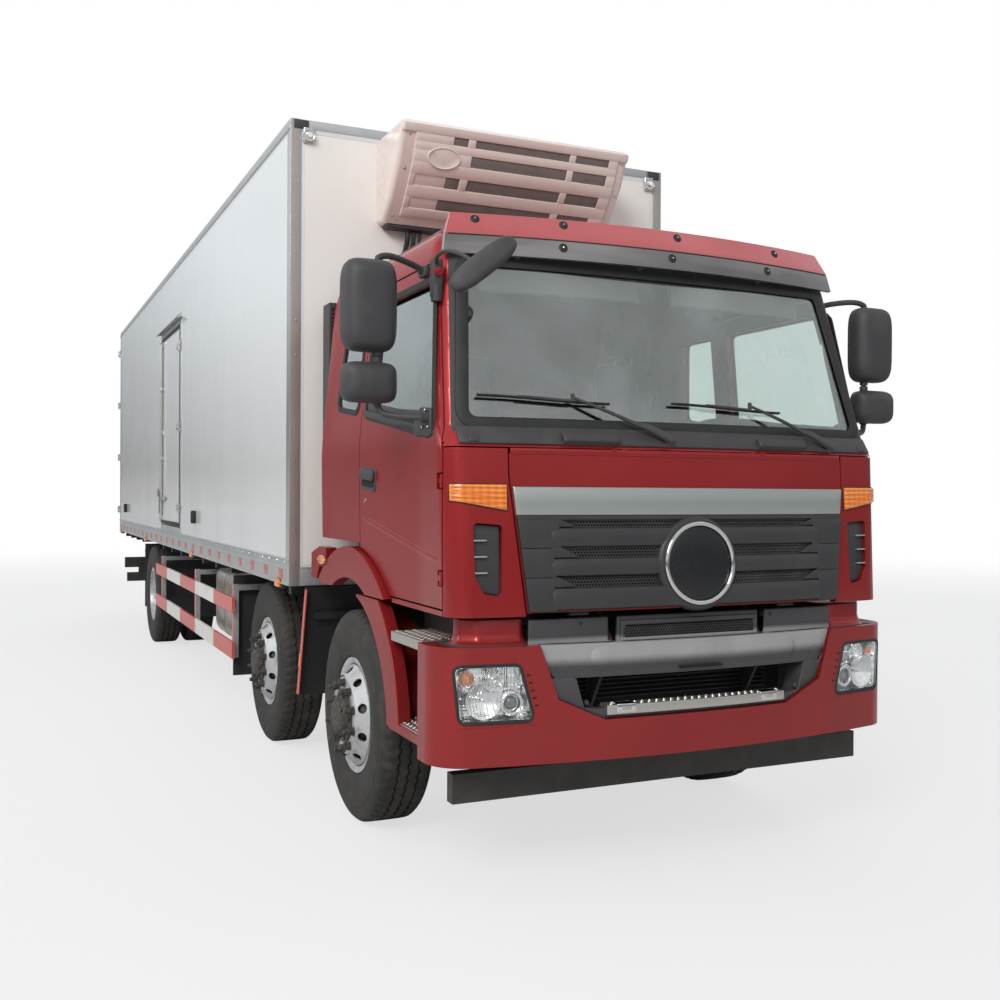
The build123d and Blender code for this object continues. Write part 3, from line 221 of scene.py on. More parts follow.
class Piece:
    """Surfaces gathered into one mesh, each with one of the piece's finishes."""

    def __init__(self, name, *finishes):
        self.name, self.finishes = name, finishes
        self.points, self.faces, self.slots = [], [], []
        self.count = 0

    def rings(self, rings, finish=0, closed=False, caps=True):
        """A grid of closed rings joined by quads. closed joins the last ring to the first, and caps fills the end
        rings."""
        rings = np.asarray(rings, float)
        rows, columns = rings.shape[:2]
        index = np.arange(rows * columns).reshape(rows, columns) + self.count
        if closed:
            index = np.vstack([index, index[:1]])
        around = np.hstack([index, index[:, :1]])
        quads = np.stack([around[:-1, :-1], around[:-1, 1:], around[1:, 1:], around[1:, :-1]], -1).reshape(-1, 4)
        faces = quads.tolist()
        if caps and not closed:
            faces += [index[0][::-1].tolist(), index[-1].tolist()]
        self.points.append(rings.reshape(-1, 3))
        self.faces += faces
        self.slots += [finish] * len(faces)
        self.count += rows * columns
        return self

    def plate(self, outline, facing, low, high, edge=0.003, finish=0, corner=0.0):
        """A rounded-edged plate: an outline on the plane that faces that way, from one level to another."""
        points = rounded(outline, corner, 4) if corner else np.asarray(outline, float)
        first, second, third = FACING[facing]
        edge = min(edge, (high - low) * 0.45)
        return self.rings(placed(slab(points, low, high, edge), (0, 0, 0), first, second, third), finish)

    def block(self, x, y, z, edge=0.003, finish=0, corner=0.0):
        """A rounded-edged box between two places on each axis."""
        x, y, z = sorted(x), sorted(y), sorted(z)
        return self.plate(rectangle(x, y), "+z", z[0], z[1], edge, finish, corner or edge)

    def bar(self, path, profile, up=(0, 0, 1), finish=0, closed=False):
        """A profile carried along a path."""
        return self.rings(sweep(path, profile, up, closed), finish, closed)

    def tube(self, points, radius, finish=0, sides=12, up=(0, 0, 1), closed=False, smooth=0):
        """A round bar along points, curved through them when smooth is given."""
        path = smooth_path(points, smooth) if smooth else np.asarray(points, float)
        return self.bar(path, circle(radius, sides), up, finish, closed)

    def turned(self, rows, centre, axis=(0, 1, 0), segments=48, finish=0, closed=False):
        """A turned body. An end of radius nought comes to a point."""
        return self.rings(lathe(rows, centre, segments, axis), finish, closed)

    def pin(self, low, high, radius, centre, axis=(0, 1, 0), segments=48, finish=0):
        """A plain round bar about an axis through centre."""
        return self.turned([(low, 0.0), (low, radius), (high, radius), (high, 0.0)], centre, axis, segments, finish)

    def strip(self, finish, *span, **settings):
        """A rounded bar across a curved face."""
        return self.rings(strip(*span, **settings), finish)

    def flank_plate(self, outline, side, near, far, edge=0.003, finish=0, corner=0.0):
        """A plate on one of the truck's sides, between two distances from its middle plane."""
        return self.plate(outline, "+y", *sorted((side * near, side * far)), edge, finish, corner)

    def copies(self, matrices):
        """Repeats what the piece holds so far under each 4 by 4 matrix, keeping the first as it is."""
        points = np.vstack(self.points)
        faces, slots, size = list(self.faces), list(self.slots), len(points)
        lengths = np.array([len(face) for face in faces])
        flat = np.concatenate([np.asarray(face) for face in faces])
        cuts = np.cumsum(lengths)[:-1]
        self.points = [points]
        for matrix in matrices:
            m = np.asarray(matrix, float)
            self.points.append(points @ m[:3, :3].T + m[:3, 3])
            self.faces += [part.tolist() for part in np.split(flat + self.count, cuts)]
            self.slots += slots
            self.count += size
        return self

    def both_sides(self):
        """Adds the mirror image across the truck's middle plane."""
        return self.copies([np.diag([1.0, -1.0, 1.0, 1.0])])

    def build(self, body, replaces=(), crease=40.0, merge=1e-6):
        """Makes the object: doubles merged, faces turned outwards, smooth below the crease angle."""
        mesh = bpy.data.meshes.new(self.name)
        mesh.from_pydata(np.vstack(self.points).tolist(), [], self.faces)
        for finish in self.finishes:
            mesh.materials.append(FINISHES[finish]())
        mesh.polygons.foreach_set("material_index", np.array(self.slots, np.int32))
        work = bmesh.new()
        work.from_mesh(mesh)
        bmesh.ops.remove_doubles(work, verts=work.verts, dist=merge)
        bmesh.ops.dissolve_degenerate(work, edges=work.edges, dist=merge)
        bmesh.ops.recalc_face_normals(work, faces=work.faces)
        work.to_mesh(mesh)
        work.free()
        mesh.polygons.foreach_set("use_smooth", np.ones(len(mesh.polygons), bool))
        mesh.set_sharp_from_angle(angle=np.radians(crease))
        piece = bpy.data.objects.new(self.name, mesh)
        bpy.context.scene.collection.objects.link(piece)
        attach(piece, body)
        if replaces:
            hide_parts(*replaces)
        return piece


def turn_about(centre, axis, angle):
    """Matrix of a turn about an axis through a point."""
    return Matrix.Translation(centre) @ Matrix.Rotation(angle, 4, axis) @ Matrix.Translation([-c for c in centre])


# ---------------------------------------------------------------- the cab's outer surface
CAB_LEVELS = np.array([         # height, front behind the bumper's face, half width
    (1.165, 0.05, 1.128), (1.86, 0.092, 1.14), (1.95, 0.15, 1.136), (2.7, 0.368, 1.066),
    (2.79, 0.4, 1.04), (2.845, 0.455, 0.985), (2.885, 0.57, 0.88),
])
CAB_CROWN, CAB_CORNER = 0.072, 0.11


def cab_half(z):
    """Half width of the cab at a height, straight between its levels."""
    return np.interp(z, CAB_LEVELS[:, 0], CAB_LEVELS[:, 2])


def cab_face(y, z, out=0.0):
    """Points on the cab's front: X follows a crown arc across the width, then a corner arc tangent to it."""
    y, z = np.broadcast_arrays(np.asarray(y, float), np.asarray(z, float))
    front = np.interp(z, CAB_LEVELS[:, 0], CAB_LEVELS[:, 1]) - out
    half = cab_half(z) + out
    radius = (half**2 + CAB_CROWN**2) / (2 * CAB_CROWN)
    corner = CAB_CORNER + out / 2
    reach = (half - corner) * radius / (radius - corner)
    crown = front + radius - np.sqrt(np.maximum(radius**2 - y**2, 0))
    centre = front + radius - np.sqrt((radius - corner) ** 2 - (half - corner) ** 2)
    edge = centre - np.sqrt(np.maximum(corner**2 - (np.abs(y) - (half - corner)) ** 2, 0))
    return np.stack([FRONT - np.where(np.abs(y) > reach, edge, crown), y, z], -1)


def cab_normal(y, z):
    """Outward normals of the cab's front, from the slopes of X along Y and Z."""
    step = 1e-3
    along_y = cab_face(y + step, z) - cab_face(y - step, z)
    along_z = cab_face(y, z + step) - cab_face(y, z - step)
    normal = np.cross(along_y, along_z)
    return normal / np.linalg.norm(normal, axis=-1)[..., None]


def cab_flank(x, z, side, out=0.0):
    """Points on the cab's side wall."""
    x, z = np.broadcast_arrays(np.asarray(x, float), np.asarray(z, float))
    return np.stack([x, side * (cab_half(z) + out), z], -1)


def resampled(outline, spacing):
    """Closed outline cut into even steps along its sides."""
    p = np.vstack([outline, outline[:1]])
    length = np.concatenate([[0], np.cumsum(np.linalg.norm(np.diff(p, axis=0), axis=1))])
    at = np.linspace(0, length[-1], max(int(length[-1] / spacing), 8), endpoint=False)
    return np.stack([np.interp(at, length, p[:, k]) for k in range(p.shape[1])], 1)


def on_cab(outline, profile, spacing=0.03):
    """Rings of a profile carried round a closed outline of (Y, height) on the cab's front. The profile's first
    axis points out of the outline and its second off the surface."""
    points = resampled(np.asarray(outline, float), spacing)
    y, z = points.T
    profile = np.asarray(profile, float) * (-winding(points), 1)
    return sweep(cab_face(y, z), profile, cab_normal(y, z), closed=True)


# ---------------------------------------------------------------- shader expressions
class Value:
    """A socket in a shader expression. The operators add Math nodes."""

    def __init__(self, finish, socket):
        self.finish, self.socket = finish, socket

    def math(self, operation, *others):
        """The value put through a Math node with others."""
        return self.finish.node("ShaderNodeMath", {"operation": operation}, dict(enumerate((self, *others))))

    def __add__(self, other):
        return self.math("ADD", other)

    __radd__ = __add__

    def __mul__(self, other):
        return self.math("MULTIPLY", other)

    __rmul__ = __mul__

    def __sub__(self, other):
        return self.math("SUBTRACT", other)

    def __rsub__(self, other):
        return (self * -1.0) + other

    def __gt__(self, other):
        return self.math("GREATER_THAN", other)

    def __lt__(self, other):
        return self.math("LESS_THAN", other)

    def within(self, low, high):
        """1 between two numbers, 0 outside them."""
        return (self > low) * (self < high)

    def fade(self, low, high):
        """0 at low, 1 at high, smooth between them."""
        settings = {"interpolation_type": "SMOOTHSTEP"}
        return self.finish.node("ShaderNodeMapRange", settings, {0: self, 1: low, 2: high})


class Nodes:
    """A shader's node tree that expressions fill."""

    def __init__(self, tree):
        self.tree = tree
        tree.nodes.clear()

    def feed(self, socket, value):
        """Links a value to a socket, or sets the socket to a number or colour."""
        if isinstance(value, Value):
            self.tree.links.new(value.socket, socket)
        elif socket.type == "RGBA" and len(value) == 3:
            socket.default_value = (*value, 1.0)
        else:
            socket.default_value = value

    def node(self, kind, settings, values, output=0):
        """Any node: its settings first, a ramp's stops among them, then its sockets' values or links."""
        made = self.tree.nodes.new(kind)
        for key, value in settings.items():
            if key == "stops":
                for place, colour in value[2:]:
                    made.color_ramp.elements.new(place)
                for element, (place, colour) in zip(made.color_ramp.elements, sorted(value)):
                    element.position, element.color = place, (*colour, 1.0)
            else:
                setattr(made, key, value)
        for key, value in values.items():
            self.feed(made.inputs[key], value)
        return Value(self, made.outputs[output])


class Finish(Nodes):
    """A procedural material: a principled surface and the nodes that vary it."""

    def __init__(self, name, **constants):
        self.material = bpy.data.materials.new(name)
        self.material.use_nodes = True
        super().__init__(self.material.node_tree)
        self.surface = self.tree.nodes.new("ShaderNodeBsdfPrincipled")
        output = self.tree.nodes.new("ShaderNodeOutputMaterial")
        self.tree.links.new(self.surface.outputs[0], output.inputs["Surface"])
        self.put(**constants)

    def where(self):
        """Object coordinates."""
        return self.node("ShaderNodeTexCoord", {}, {}, "Object")

    def axes(self):
        """X, Y and Z of the object coordinates."""
        source = self.node("ShaderNodeSeparateXYZ", {}, {0: self.where()})
        return [Value(self, source.socket.node.outputs[k]) for k in range(3)]

    def noise(self, scale, detail=3.0, stretch=None):
        """Even noise from 0 to 1, its cells stretched along an axis where that axis's number is small."""
        place = self.where()
        if stretch:
            place = self.node("ShaderNodeMapping", {}, {0: place, "Scale": stretch})
        return self.node("ShaderNodeTexNoise", {}, {"Vector": place, "Scale": scale, "Detail": detail})

    def mix(self, first, second, share):
        """Colour that goes from first to second as share goes from 0 to 1."""
        return self.node("ShaderNodeMix", {"data_type": "RGBA"}, {0: share, 6: first, 7: second}, 2)

    def relief(self, height, distance, strength=1.0):
        """Feeds a bump of that height in metres to the surface's normal."""
        values = {"Height": height, "Distance": distance, "Strength": strength}
        self.feed(self.surface.inputs["Normal"], self.node("ShaderNodeBump", {}, values))

    def put(self, **sockets):
        """Feeds the surface's sockets, named with underscores for spaces."""
        for key, value in sockets.items():
            self.feed(self.surface.inputs[key.replace("_", " ")], value)
        return self.material


FINISHES = {}


def add_finish(name, vary, constants):
    """Files a finish: vary fills the material of that name the first time that it is asked for."""
    FINISHES[name] = cache(lambda: vary(Finish(name, **constants)))


def finish(**constants):
    """Files a function as the finish of its own name."""
    def file(vary):
        add_finish(vary.__name__, vary, constants)
        return vary

    return file


def colour(name):
    """A colour the panel sets, as three numbers."""
    return tuple(getattr(bpy.context.scene.truck_colours, name))


def scaled(rgb, factor):
    """A colour times a number."""
    return tuple(min(channel * factor, 1.0) for channel in rgb)


def weathered(f, clean, dirt, amount=0.5, low=0.35, high=1.5):
    """Colour of a painted part that road dirt greys from the wheels' height down, in a noise's patches."""
    z = f.axes()[2]
    patches = f.noise(9.0, 5.0).fade(0.35, 0.75)
    share = (1.0 - z.fade(low, high)) * (patches * 0.7 + 0.3) * amount
    return f.mix(clean, dirt, share)


@finish(Coat_Roughness=0.05, IOR=1.5, Specular_IOR_Level=0.2, Coat_IOR=1.42)
def cab_red(f):
    """Metallic red with a clear coat that has dulled on the flanks, and plain dark inside the cab and its wells."""
    red = colour("cab")
    flakes = f.noise(2600.0, 1.0)
    fade = f.noise(1.6, 3.0).fade(0.3, 0.8)
    paint = f.mix(scaled(red, 0.86), scaled(red, 1.18), flakes * 0.6 + fade * 0.4)
    paint = weathered(f, paint, (0.12, 0.045, 0.038), 0.25)
    x, y, z = f.axes()
    half = 1.136 - (z - 1.95).math("MAXIMUM", 0.0) * 0.0933
    slope = (z - 1.86).math("MAXIMUM", 0.0) * 0.2905
    face = (x * -1.0) + (FRONT - 0.078) - slope - y * y * 0.056
    wide = y.math("ABSOLUTE")
    inner = (wide < half - 0.045) * (face > 0.045) * (x > CAB_REAR + 0.045) * z.within(1.218, 2.83)
    inner = inner * (face < 1.95)
    behind = (y * y * -0.0946 - x + FRONT) > 0.03
    inner = inner + behind * (x > 5.62) * (z < 1.05) * (wide < 1.112)
    lugs = x.within(5.6, 5.93) * z.within(1.055, 1.18) * (wide < 0.79)
    wells = x.within(4.0, 5.62) * (z < 1.12) * (wide < 0.955)
    inner = (inner + lugs + wells).math("MINIMUM", 1.0)
    flank = (wide - half).fade(-0.03, -0.005) * (1.0 - x.fade(5.45, 5.62))
    trim = f.noise(500.0, 2.0)
    lining = f.mix((0.052, 0.05, 0.048), (0.075, 0.072, 0.068), trim)
    f.relief(f.noise(4.0, 2.0) + trim * inner * 0.1, 0.0005)
    return f.put(Base_Color=f.mix(paint, lining, inner), Metallic=(1.0 - inner) * 0.4,
                 Roughness=f.noise(300.0) * 0.06 + 0.3 + inner * 0.3,
                 Coat_Weight=(1.0 - inner) * (0.55 - flank * 0.42))


@finish(Coat_Roughness=0.06)
def brow(f):
    """Sun visor: cab red above the split, smoked plastic below it."""
    z = f.axes()[2]
    upper = z > 2.789
    red = f.mix((0.5, 0.085, 0.09), (0.62, 0.145, 0.15), f.noise(2600.0, 1.0) * 0.5 + f.noise(1.5) * 0.5)
    smoke = f.mix((0.105, 0.098, 0.094), (0.225, 0.212, 0.205), f.noise(3.0, 4.0, (0.4, 0.4, 3.0)).fade(0.3, 0.7))
    f.relief(f.noise(5.0, 2.0), 0.001)
    return f.put(Base_Color=f.mix(smoke, red, upper), Metallic=upper * 0.35, Roughness=f.noise(90.0) * 0.08 + 0.26,
                 Coat_Weight=0.8)


@finish(Coat_Roughness=0.06, IOR=1.5)
def box_white(f):
    """Laminate with faint streaks. What stands out of the walls, hinges and rods, is bright steel."""
    base = colour("box")
    x, y, z = f.axes()
    metal = (x < BOX_REAR - 0.0015) + (y.math("ABSOLUTE") > BOX_SIDE + 0.0015)
    metal = metal.math("MINIMUM", 1.0)
    streaks = f.noise(2.2, 4.0, (1.0, 1.0, 0.12)).fade(0.4, 0.85)
    low = 1.0 - z.fade(1.2, 2.4)
    skin = f.mix(base, scaled(base, 0.95), streaks * 0.6)
    skin = f.mix(skin, (0.56, 0.545, 0.51), streaks * low * 0.25)
    f.relief(f.noise(1.1, 2.0, (1.0, 1.0, 0.6)), 0.006)
    cloud = f.noise(6.0, 3.0)
    return f.put(Base_Color=f.mix(skin, (0.62, 0.61, 0.59), metal), Metallic=metal,
                 Roughness=cloud * 0.08 + 0.13 + metal * 0.12, Coat_Weight=(1.0 - metal) * 0.55)


@finish(Specular_IOR_Level=0.04)
def box_top(f):
    """The roof's skin, dull, in the box's colour darkened as painted shade so that the strongly lit roof does not
    wash out, with stains.
    """
    # painted shade: the box's colour darkened for the roof, which the lamps light strongly
    base = scaled(colour("box"), 0.94)
    stains = f.noise(1.4, 5.0).fade(0.4, 0.8)
    f.relief(f.noise(1.1, 2.0), 0.006)
    return f.put(Base_Color=f.mix(base, scaled(base, 0.93), stains), Roughness=stains * 0.1 + 0.68)


@finish(Coat_Roughness=0.15)
def box_cream(f):
    """Cream laminate of the box's front wall, faintly streaked downwards."""
    base = colour("front_wall")
    f.relief(f.noise(3.0, 2.0), 0.004)
    return f.put(Base_Color=f.mix(base, scaled(base, 0.93), f.noise(4.0, 4.0, (1.0, 1.0, 0.2))),
                 Roughness=f.noise(30.0) * 0.12 + 0.26, Coat_Weight=0.4)


@finish()
def inner_lining(f):
    """Pale, finely rough lining of the load space."""
    f.relief(f.noise(220.0, 2.0), 0.0006)
    return f.put(Base_Color=f.mix((0.72, 0.73, 0.73), (0.62, 0.63, 0.63), f.noise(6.0, 4.0)),
                 Roughness=f.noise(40.0) * 0.2 + 0.35)


def drawn_metal(f, base, rough, stretch, metallic=1.0, scratch=0.3):
    """Metal with marks drawn out along one axis and cloudy stains."""
    marks = f.noise(260.0, 3.0, stretch)
    clouds = f.noise(5.0, 4.0)
    f.relief(marks, 0.0003, 0.5)
    return f.put(Base_Color=f.mix(scaled(base, 0.82), scaled(base, 1.08), marks * scratch + clouds * (1 - scratch)),
                 Metallic=metallic, Roughness=marks * 0.14 + clouds * 0.12 + (rough - 0.12))


@finish()
def aluminium(f):
    """Drawn aluminium of the rails, in the panel's colour."""
    return drawn_metal(f, colour("trim"), 0.42, (0.03, 1.0, 0.03), 0.85)


DRAWN = {                       # colour, roughness, stretch of the marks, metallic, share of the marks
    "corner_trim": ((0.44, 0.4, 0.37), 0.38, (1.0, 1.0, 0.03), 0.6),
    "stainless": ((0.66, 0.65, 0.63), 0.27, (1.0, 1.0, 0.04)),
    "bright_tread": ((0.6, 0.565, 0.52), 0.36, (1.0, 0.05, 1.0), 0.9, 0.5),
}
for name, numbers in DRAWN.items():
    add_finish(name, lambda f, numbers=numbers: drawn_metal(f, *numbers), {})


@finish(Metallic=0.75, Coat_Weight=0.5, Coat_Roughness=0.1)
def silver_band(f):
    """Silver lacquer with fine flakes."""
    base = (0.43, 0.45, 0.42)
    f.relief(f.noise(4.0, 2.0), 0.0006)
    return f.put(Base_Color=f.mix(scaled(base, 0.9), scaled(base, 1.1), f.noise(1800.0, 1.0)),
                 Roughness=f.noise(40.0) * 0.08 + 0.34)


@finish(Metallic=1.0)
def chrome(f):
    """Bright plate with faint smears."""
    return f.put(Base_Color=f.mix((0.78, 0.78, 0.77), (0.68, 0.67, 0.65), f.noise(20.0, 4.0)),
                 Roughness=f.noise(35.0, 3.0) * 0.08 + 0.04)


@finish(Metallic=1.0)
def reflector(f):
    """Faceted lamp reflector: narrow vertical and level flutes over a vacuum-coated shell."""
    y, z = f.axes()[1:]
    flutes = (y * 420.0).math("SINE") * 0.5 + (z * 160.0).math("SINE") * 0.5
    f.relief(flutes, 0.0012)
    return f.put(Base_Color=f.mix((0.93, 0.93, 0.92), (0.62, 0.62, 0.6), f.noise(60.0, 4.0)),
                 Roughness=f.noise(60.0) * 0.06 + 0.04)


PLASTIC = {"IOR": 1.48}


def moulded(f, base, rough, grain=700.0, depth=0.0005, dust=0.18):
    """Grained plastic or rubber with pale dust in patches."""
    cells = f.noise(grain, 2.0)
    patches = f.noise(7.0, 5.0).fade(0.45, 0.85)
    f.relief(cells, depth)
    body = f.mix(scaled(base, 0.85), scaled(base, 1.15), cells)
    return f.put(Base_Color=f.mix(body, (0.19, 0.175, 0.16), patches * dust),
                 Roughness=cells * 0.12 + rough + patches * 0.1)


@finish(**PLASTIC)
def dark_plastic(f):
    """Grained plastic of the mirrors, handles and covers."""
    return moulded(f, colour("plastic"), 0.46)


@finish(**PLASTIC)
def grille_plastic(f):
    """Finer grained plastic of the grille."""
    return moulded(f, scaled(colour("plastic"), 0.8), 0.34, 900.0, 0.0003, 0.08)


MOULDED = {                     # colour, roughness, scale and depth of the grain, share of dust
    "black_rubber": ((0.018, 0.018, 0.018), 0.55, 500.0, 0.0004, 0.08),
    "gloss_black": ((0.012, 0.012, 0.013), 0.16, 60.0, 0.0002, 0.03),
    "interior": ((0.085, 0.08, 0.075), 0.55, 600.0, 0.0005, 0.1),
    "pale_interior": ((0.33, 0.31, 0.28), 0.6, 600.0, 0.0004, 0.1),
    "seat_piping": ((0.16, 0.15, 0.14), 0.5, 900.0, 0.0003, 0.1),
    "hose_rubber": ((0.02, 0.02, 0.022), 0.4, 300.0, 0.0004, 0.1),
    "dark_mesh": ((0.035, 0.034, 0.033), 0.5, 400.0, 0.0004, 0.35),
    # the next, near-black finish is painted shade: sheets set behind openings and fills in recesses and slits; it
    # also draws thin gap lines
    "void_black": ((0.006, 0.006, 0.006), 0.8, 80.0, 0.0004, 0.02),
}
for name, numbers in MOULDED.items():
    add_finish(name, lambda f, numbers=numbers: moulded(f, *numbers), PLASTIC)


@finish(IOR=1.5)
def bumper_plastic(f):
    """Bumper plastic with a paler band along the top of its beam: a painted highlight, broken up in patches."""
    z = f.axes()[2]
    cells = f.noise(700.0, 2.0)
    patches = f.noise(6.0, 5.0)
    f.relief(cells, 0.0005)
    base = colour("plastic")
    body = f.mix(scaled(base, 1.0), scaled(base, 1.5), cells * 0.6 + patches * 0.4)
    # painted highlight: a band along the top of the beam mixed towards pale grey, in noise patches
    pale = z.fade(0.948, 0.996) * (1.0 - z.fade(1.052, 1.075)) * (patches * 0.5 + 0.6)
    return f.put(Base_Color=f.mix(body, (0.36, 0.35, 0.345), pale), Roughness=cells * 0.1 + 0.36 + pale * 0.1)


@finish(IOR=1.5)
def chassis_black(f):
    """Black chassis paint, dusted low down, with rust in its thinnest patches."""
    patches = f.noise(11.0, 6.0)
    f.relief(patches + f.noise(180.0) * 0.3, 0.001)
    paint = weathered(f, f.mix((0.014, 0.013, 0.012), (0.026, 0.023, 0.021), patches), (0.1, 0.082, 0.066), 0.35,
                      0.3, 1.2)
    rust = patches.fade(0.66, 0.8)
    return f.put(Base_Color=f.mix(paint, (0.11, 0.045, 0.02), rust * 0.5), Roughness=patches * 0.25 + 0.35)


@finish(Metallic=0.3)
def greasy_iron(f):
    """Dark cast iron that grease has made shiny in patches."""
    patches = f.noise(45.0, 6.0)
    f.relief(patches, 0.0008)
    return f.put(Base_Color=f.mix((0.046, 0.041, 0.037), (0.12, 0.102, 0.085), patches.fade(0.3, 0.8)),
                 Roughness=0.85 - patches * 0.5)


@finish(IOR=1.45)
def tyre_rubber(f):
    """Grey-black rubber with road dust in patches."""
    grain = f.noise(420.0, 3.0)
    dust = f.noise(13.0, 6.0).fade(0.38, 0.8)
    f.relief(grain + f.noise(60.0, 3.0) * 0.5, 0.0006)
    body = f.mix((0.016, 0.015, 0.014), (0.027, 0.025, 0.023), grain)
    return f.put(Base_Color=f.mix(body, (0.105, 0.085, 0.065), dust * 0.5), Roughness=dust * 0.25 + 0.6)


@finish(Metallic=0.55, IOR=1.5)
def rim_silver(f):
    """Silver wheel paint with brown dirt in patches."""
    dirt = f.noise(16.0, 6.0).fade(0.42, 0.8)
    f.relief(f.noise(300.0, 2.0), 0.0003)
    return f.put(Base_Color=f.mix((0.58, 0.585, 0.59), (0.17, 0.145, 0.12), dirt * 0.6),
                 Roughness=f.noise(50.0) * 0.12 + 0.3 + dirt * 0.25)


@finish(Metallic=0.8)
def tank_metal(f):
    """Plain metal of the fuel tank, clouded."""
    clouds = f.noise(9.0, 5.0)
    f.relief(f.noise(3.0) + clouds * 0.2, 0.002)
    return f.put(Base_Color=f.mix((0.6, 0.555, 0.5), (0.27, 0.225, 0.18), clouds.fade(0.45, 0.8)),
                 Roughness=clouds * 0.3 + 0.2)


@finish(Transmission_Weight=1.0, IOR=2.4, Base_Color=(0.82, 0.92, 0.89))
def cab_glass(f):
    """Tinted glass, thick enough in the mirror of the sky to show clouds, with faint wiped smears."""
    return f.put(Roughness=f.noise(3.0, 5.0).fade(0.6, 0.95) * 0.012)


@finish(Transmission_Weight=0.96, IOR=1.35, Base_Color=(0.95, 0.97, 0.98), Roughness=0.02)
def clear_lens(f):
    """Clear cover of a lamp."""
    return f.material


@finish(IOR=1.6, Coat_Weight=1.0, Coat_Roughness=0.02)
def projector_glass(f):
    """Dark glossy glass of a thick lens, faintly clouded."""
    return f.put(Base_Color=f.mix((0.05, 0.055, 0.06), (0.2, 0.21, 0.22), f.noise(30.0, 2.0)),
                 Roughness=f.noise(20.0) * 0.05 + 0.04)


@finish(IOR=1.5, Coat_Weight=1.0, Coat_Roughness=0.05, Roughness=0.2, Emission_Strength=0.14,
        Emission_Color=(0.9, 0.26, 0.01))
def amber_lens(f):
    """Amber lens, ribbed level and upright, that glows a little."""
    y, z = f.axes()[1:]
    ribs = (z * 300.0).math("SINE") * 0.5 + 0.5
    cells = (y * 190.0).math("SINE") * 0.5 + 0.5
    f.relief(ribs + cells * 0.4, 0.002)
    return f.put(Base_Color=f.mix((0.52, 0.085, 0.002), (0.88, 0.27, 0.012), ribs * 0.65 + cells * 0.35))


@finish(IOR=1.5, Coat_Weight=1.0, Coat_Roughness=0.05, Roughness=0.25)
def red_lens(f):
    """Red lens of small cells."""
    cells = f.noise(180.0, 1.0)
    f.relief(cells, 0.001)
    return f.put(Base_Color=f.mix((0.5, 0.02, 0.015), (0.72, 0.06, 0.04), cells))


@finish(Coat_Weight=0.5)
def reflective_red(f):
    """Retro-reflective tape: small cells, no lettering."""
    cells = f.noise(500.0, 1.0)
    return f.put(Base_Color=f.mix((0.4, 0.052, 0.042), (0.55, 0.1, 0.08), cells), Roughness=cells * 0.2 + 0.25)


@finish(Coat_Weight=0.6, Coat_Roughness=0.08)
def unit_shell(f):
    """Gloss shell of the cooling unit."""
    base = colour("unit")
    f.relief(f.noise(1.2, 1.0), 0.0008)
    return f.put(Base_Color=f.mix(base, scaled(base, 0.96), f.noise(2.0, 3.0)),
                 Roughness=f.noise(5.0) * 0.06 + 0.24)


@finish(Specular_IOR_Level=0.3)
def unit_mesh(f):
    """Fine woven mesh: crossed wires four millimetres apart."""
    y, z = f.axes()[1:]
    wires = (y * 1570.0).math("SINE") * (z * 1570.0).math("SINE") * 0.5 + 0.5
    f.relief(wires, 0.001)
    shade = f.noise(14.0, 4.0)
    return f.put(Base_Color=f.mix((0.13, 0.112, 0.1), (0.3, 0.262, 0.238), wires * 0.6 + shade * 0.4),
                 Roughness=shade * 0.2 + 0.55)


@finish(Coat_Weight=0.3, IOR=1.5)
def guard_paint(f):
    """Red and white fields that change at set places along the truck."""
    x, y = f.axes()[:2]
    post = y.math("ABSOLUTE") < 1.2272
    white = x.within(0.384, 1.261) + x.within(-1.307, -0.458)
    chips = f.noise(40.0, 6.0).fade(0.68, 0.74)
    coat = f.mix((0.6, 0.085, 0.06), (0.74, 0.73, 0.69), white)
    coat = f.mix(coat, (0.3, 0.27, 0.24), f.noise(10.0, 5.0).fade(0.45, 0.9) * 0.3)
    coat = f.mix(coat, (0.3, 0.29, 0.28), chips)
    bare = post * (x < 2.4)
    return f.put(Base_Color=f.mix(coat, (0.52, 0.53, 0.53), bare), Metallic=bare * 0.7,
                 Roughness=f.noise(60.0) * 0.15 + 0.3)


@finish(Metallic=1.0, Base_Color=(0.84, 0.86, 0.87))
def mirror_glass(f):
    """Silvered glass with faint smears."""
    return f.put(Roughness=f.noise(8.0, 4.0).fade(0.6, 1.0) * 0.05 + 0.01)


@finish(Sheen_Weight=0.3, Sheen_Roughness=0.5)
def seat_cloth(f):
    """Woven cloth: crossed threads a millimetre and a half apart."""
    x, y, z = f.axes()
    warp = (y * 2000.0).math("SINE")
    weft = ((x + z) * 1500.0).math("SINE")
    weave = warp * weft * 0.5 + 0.5
    f.relief(weave + f.noise(60.0) * 0.5, 0.0008)
    shade = f.noise(12.0, 4.0)
    return f.put(Base_Color=f.mix((0.035, 0.037, 0.042), (0.11, 0.112, 0.12), weave * 0.6 + shade * 0.4),
                 Roughness=weave * 0.1 + 0.8)


# ---------------------------------------------------------------- groups
class Step:
    """A group of pieces: an operator that runs its functions, then those that make one piece a side."""

    makes, sided = (), ()

    def execute(self, context):
        for make in self.makes:
            make()
        for side in SIDES:
            for make in self.sided:
                make(side)
        return {"FINISHED"}


# ---------------------------------------------------------------- wheels
STUDS = 10
TREAD_BLOCKS = 60
STEER_Y, TWIN_Y = 1.005, 0.9225     # middle planes of a single wheel and of a pair
STUD_RING = 0.1675
TREAD_GROOVES = (-0.052, 0.0, 0.052)
TWIN_OFFSETS = (-0.165, 0.165)


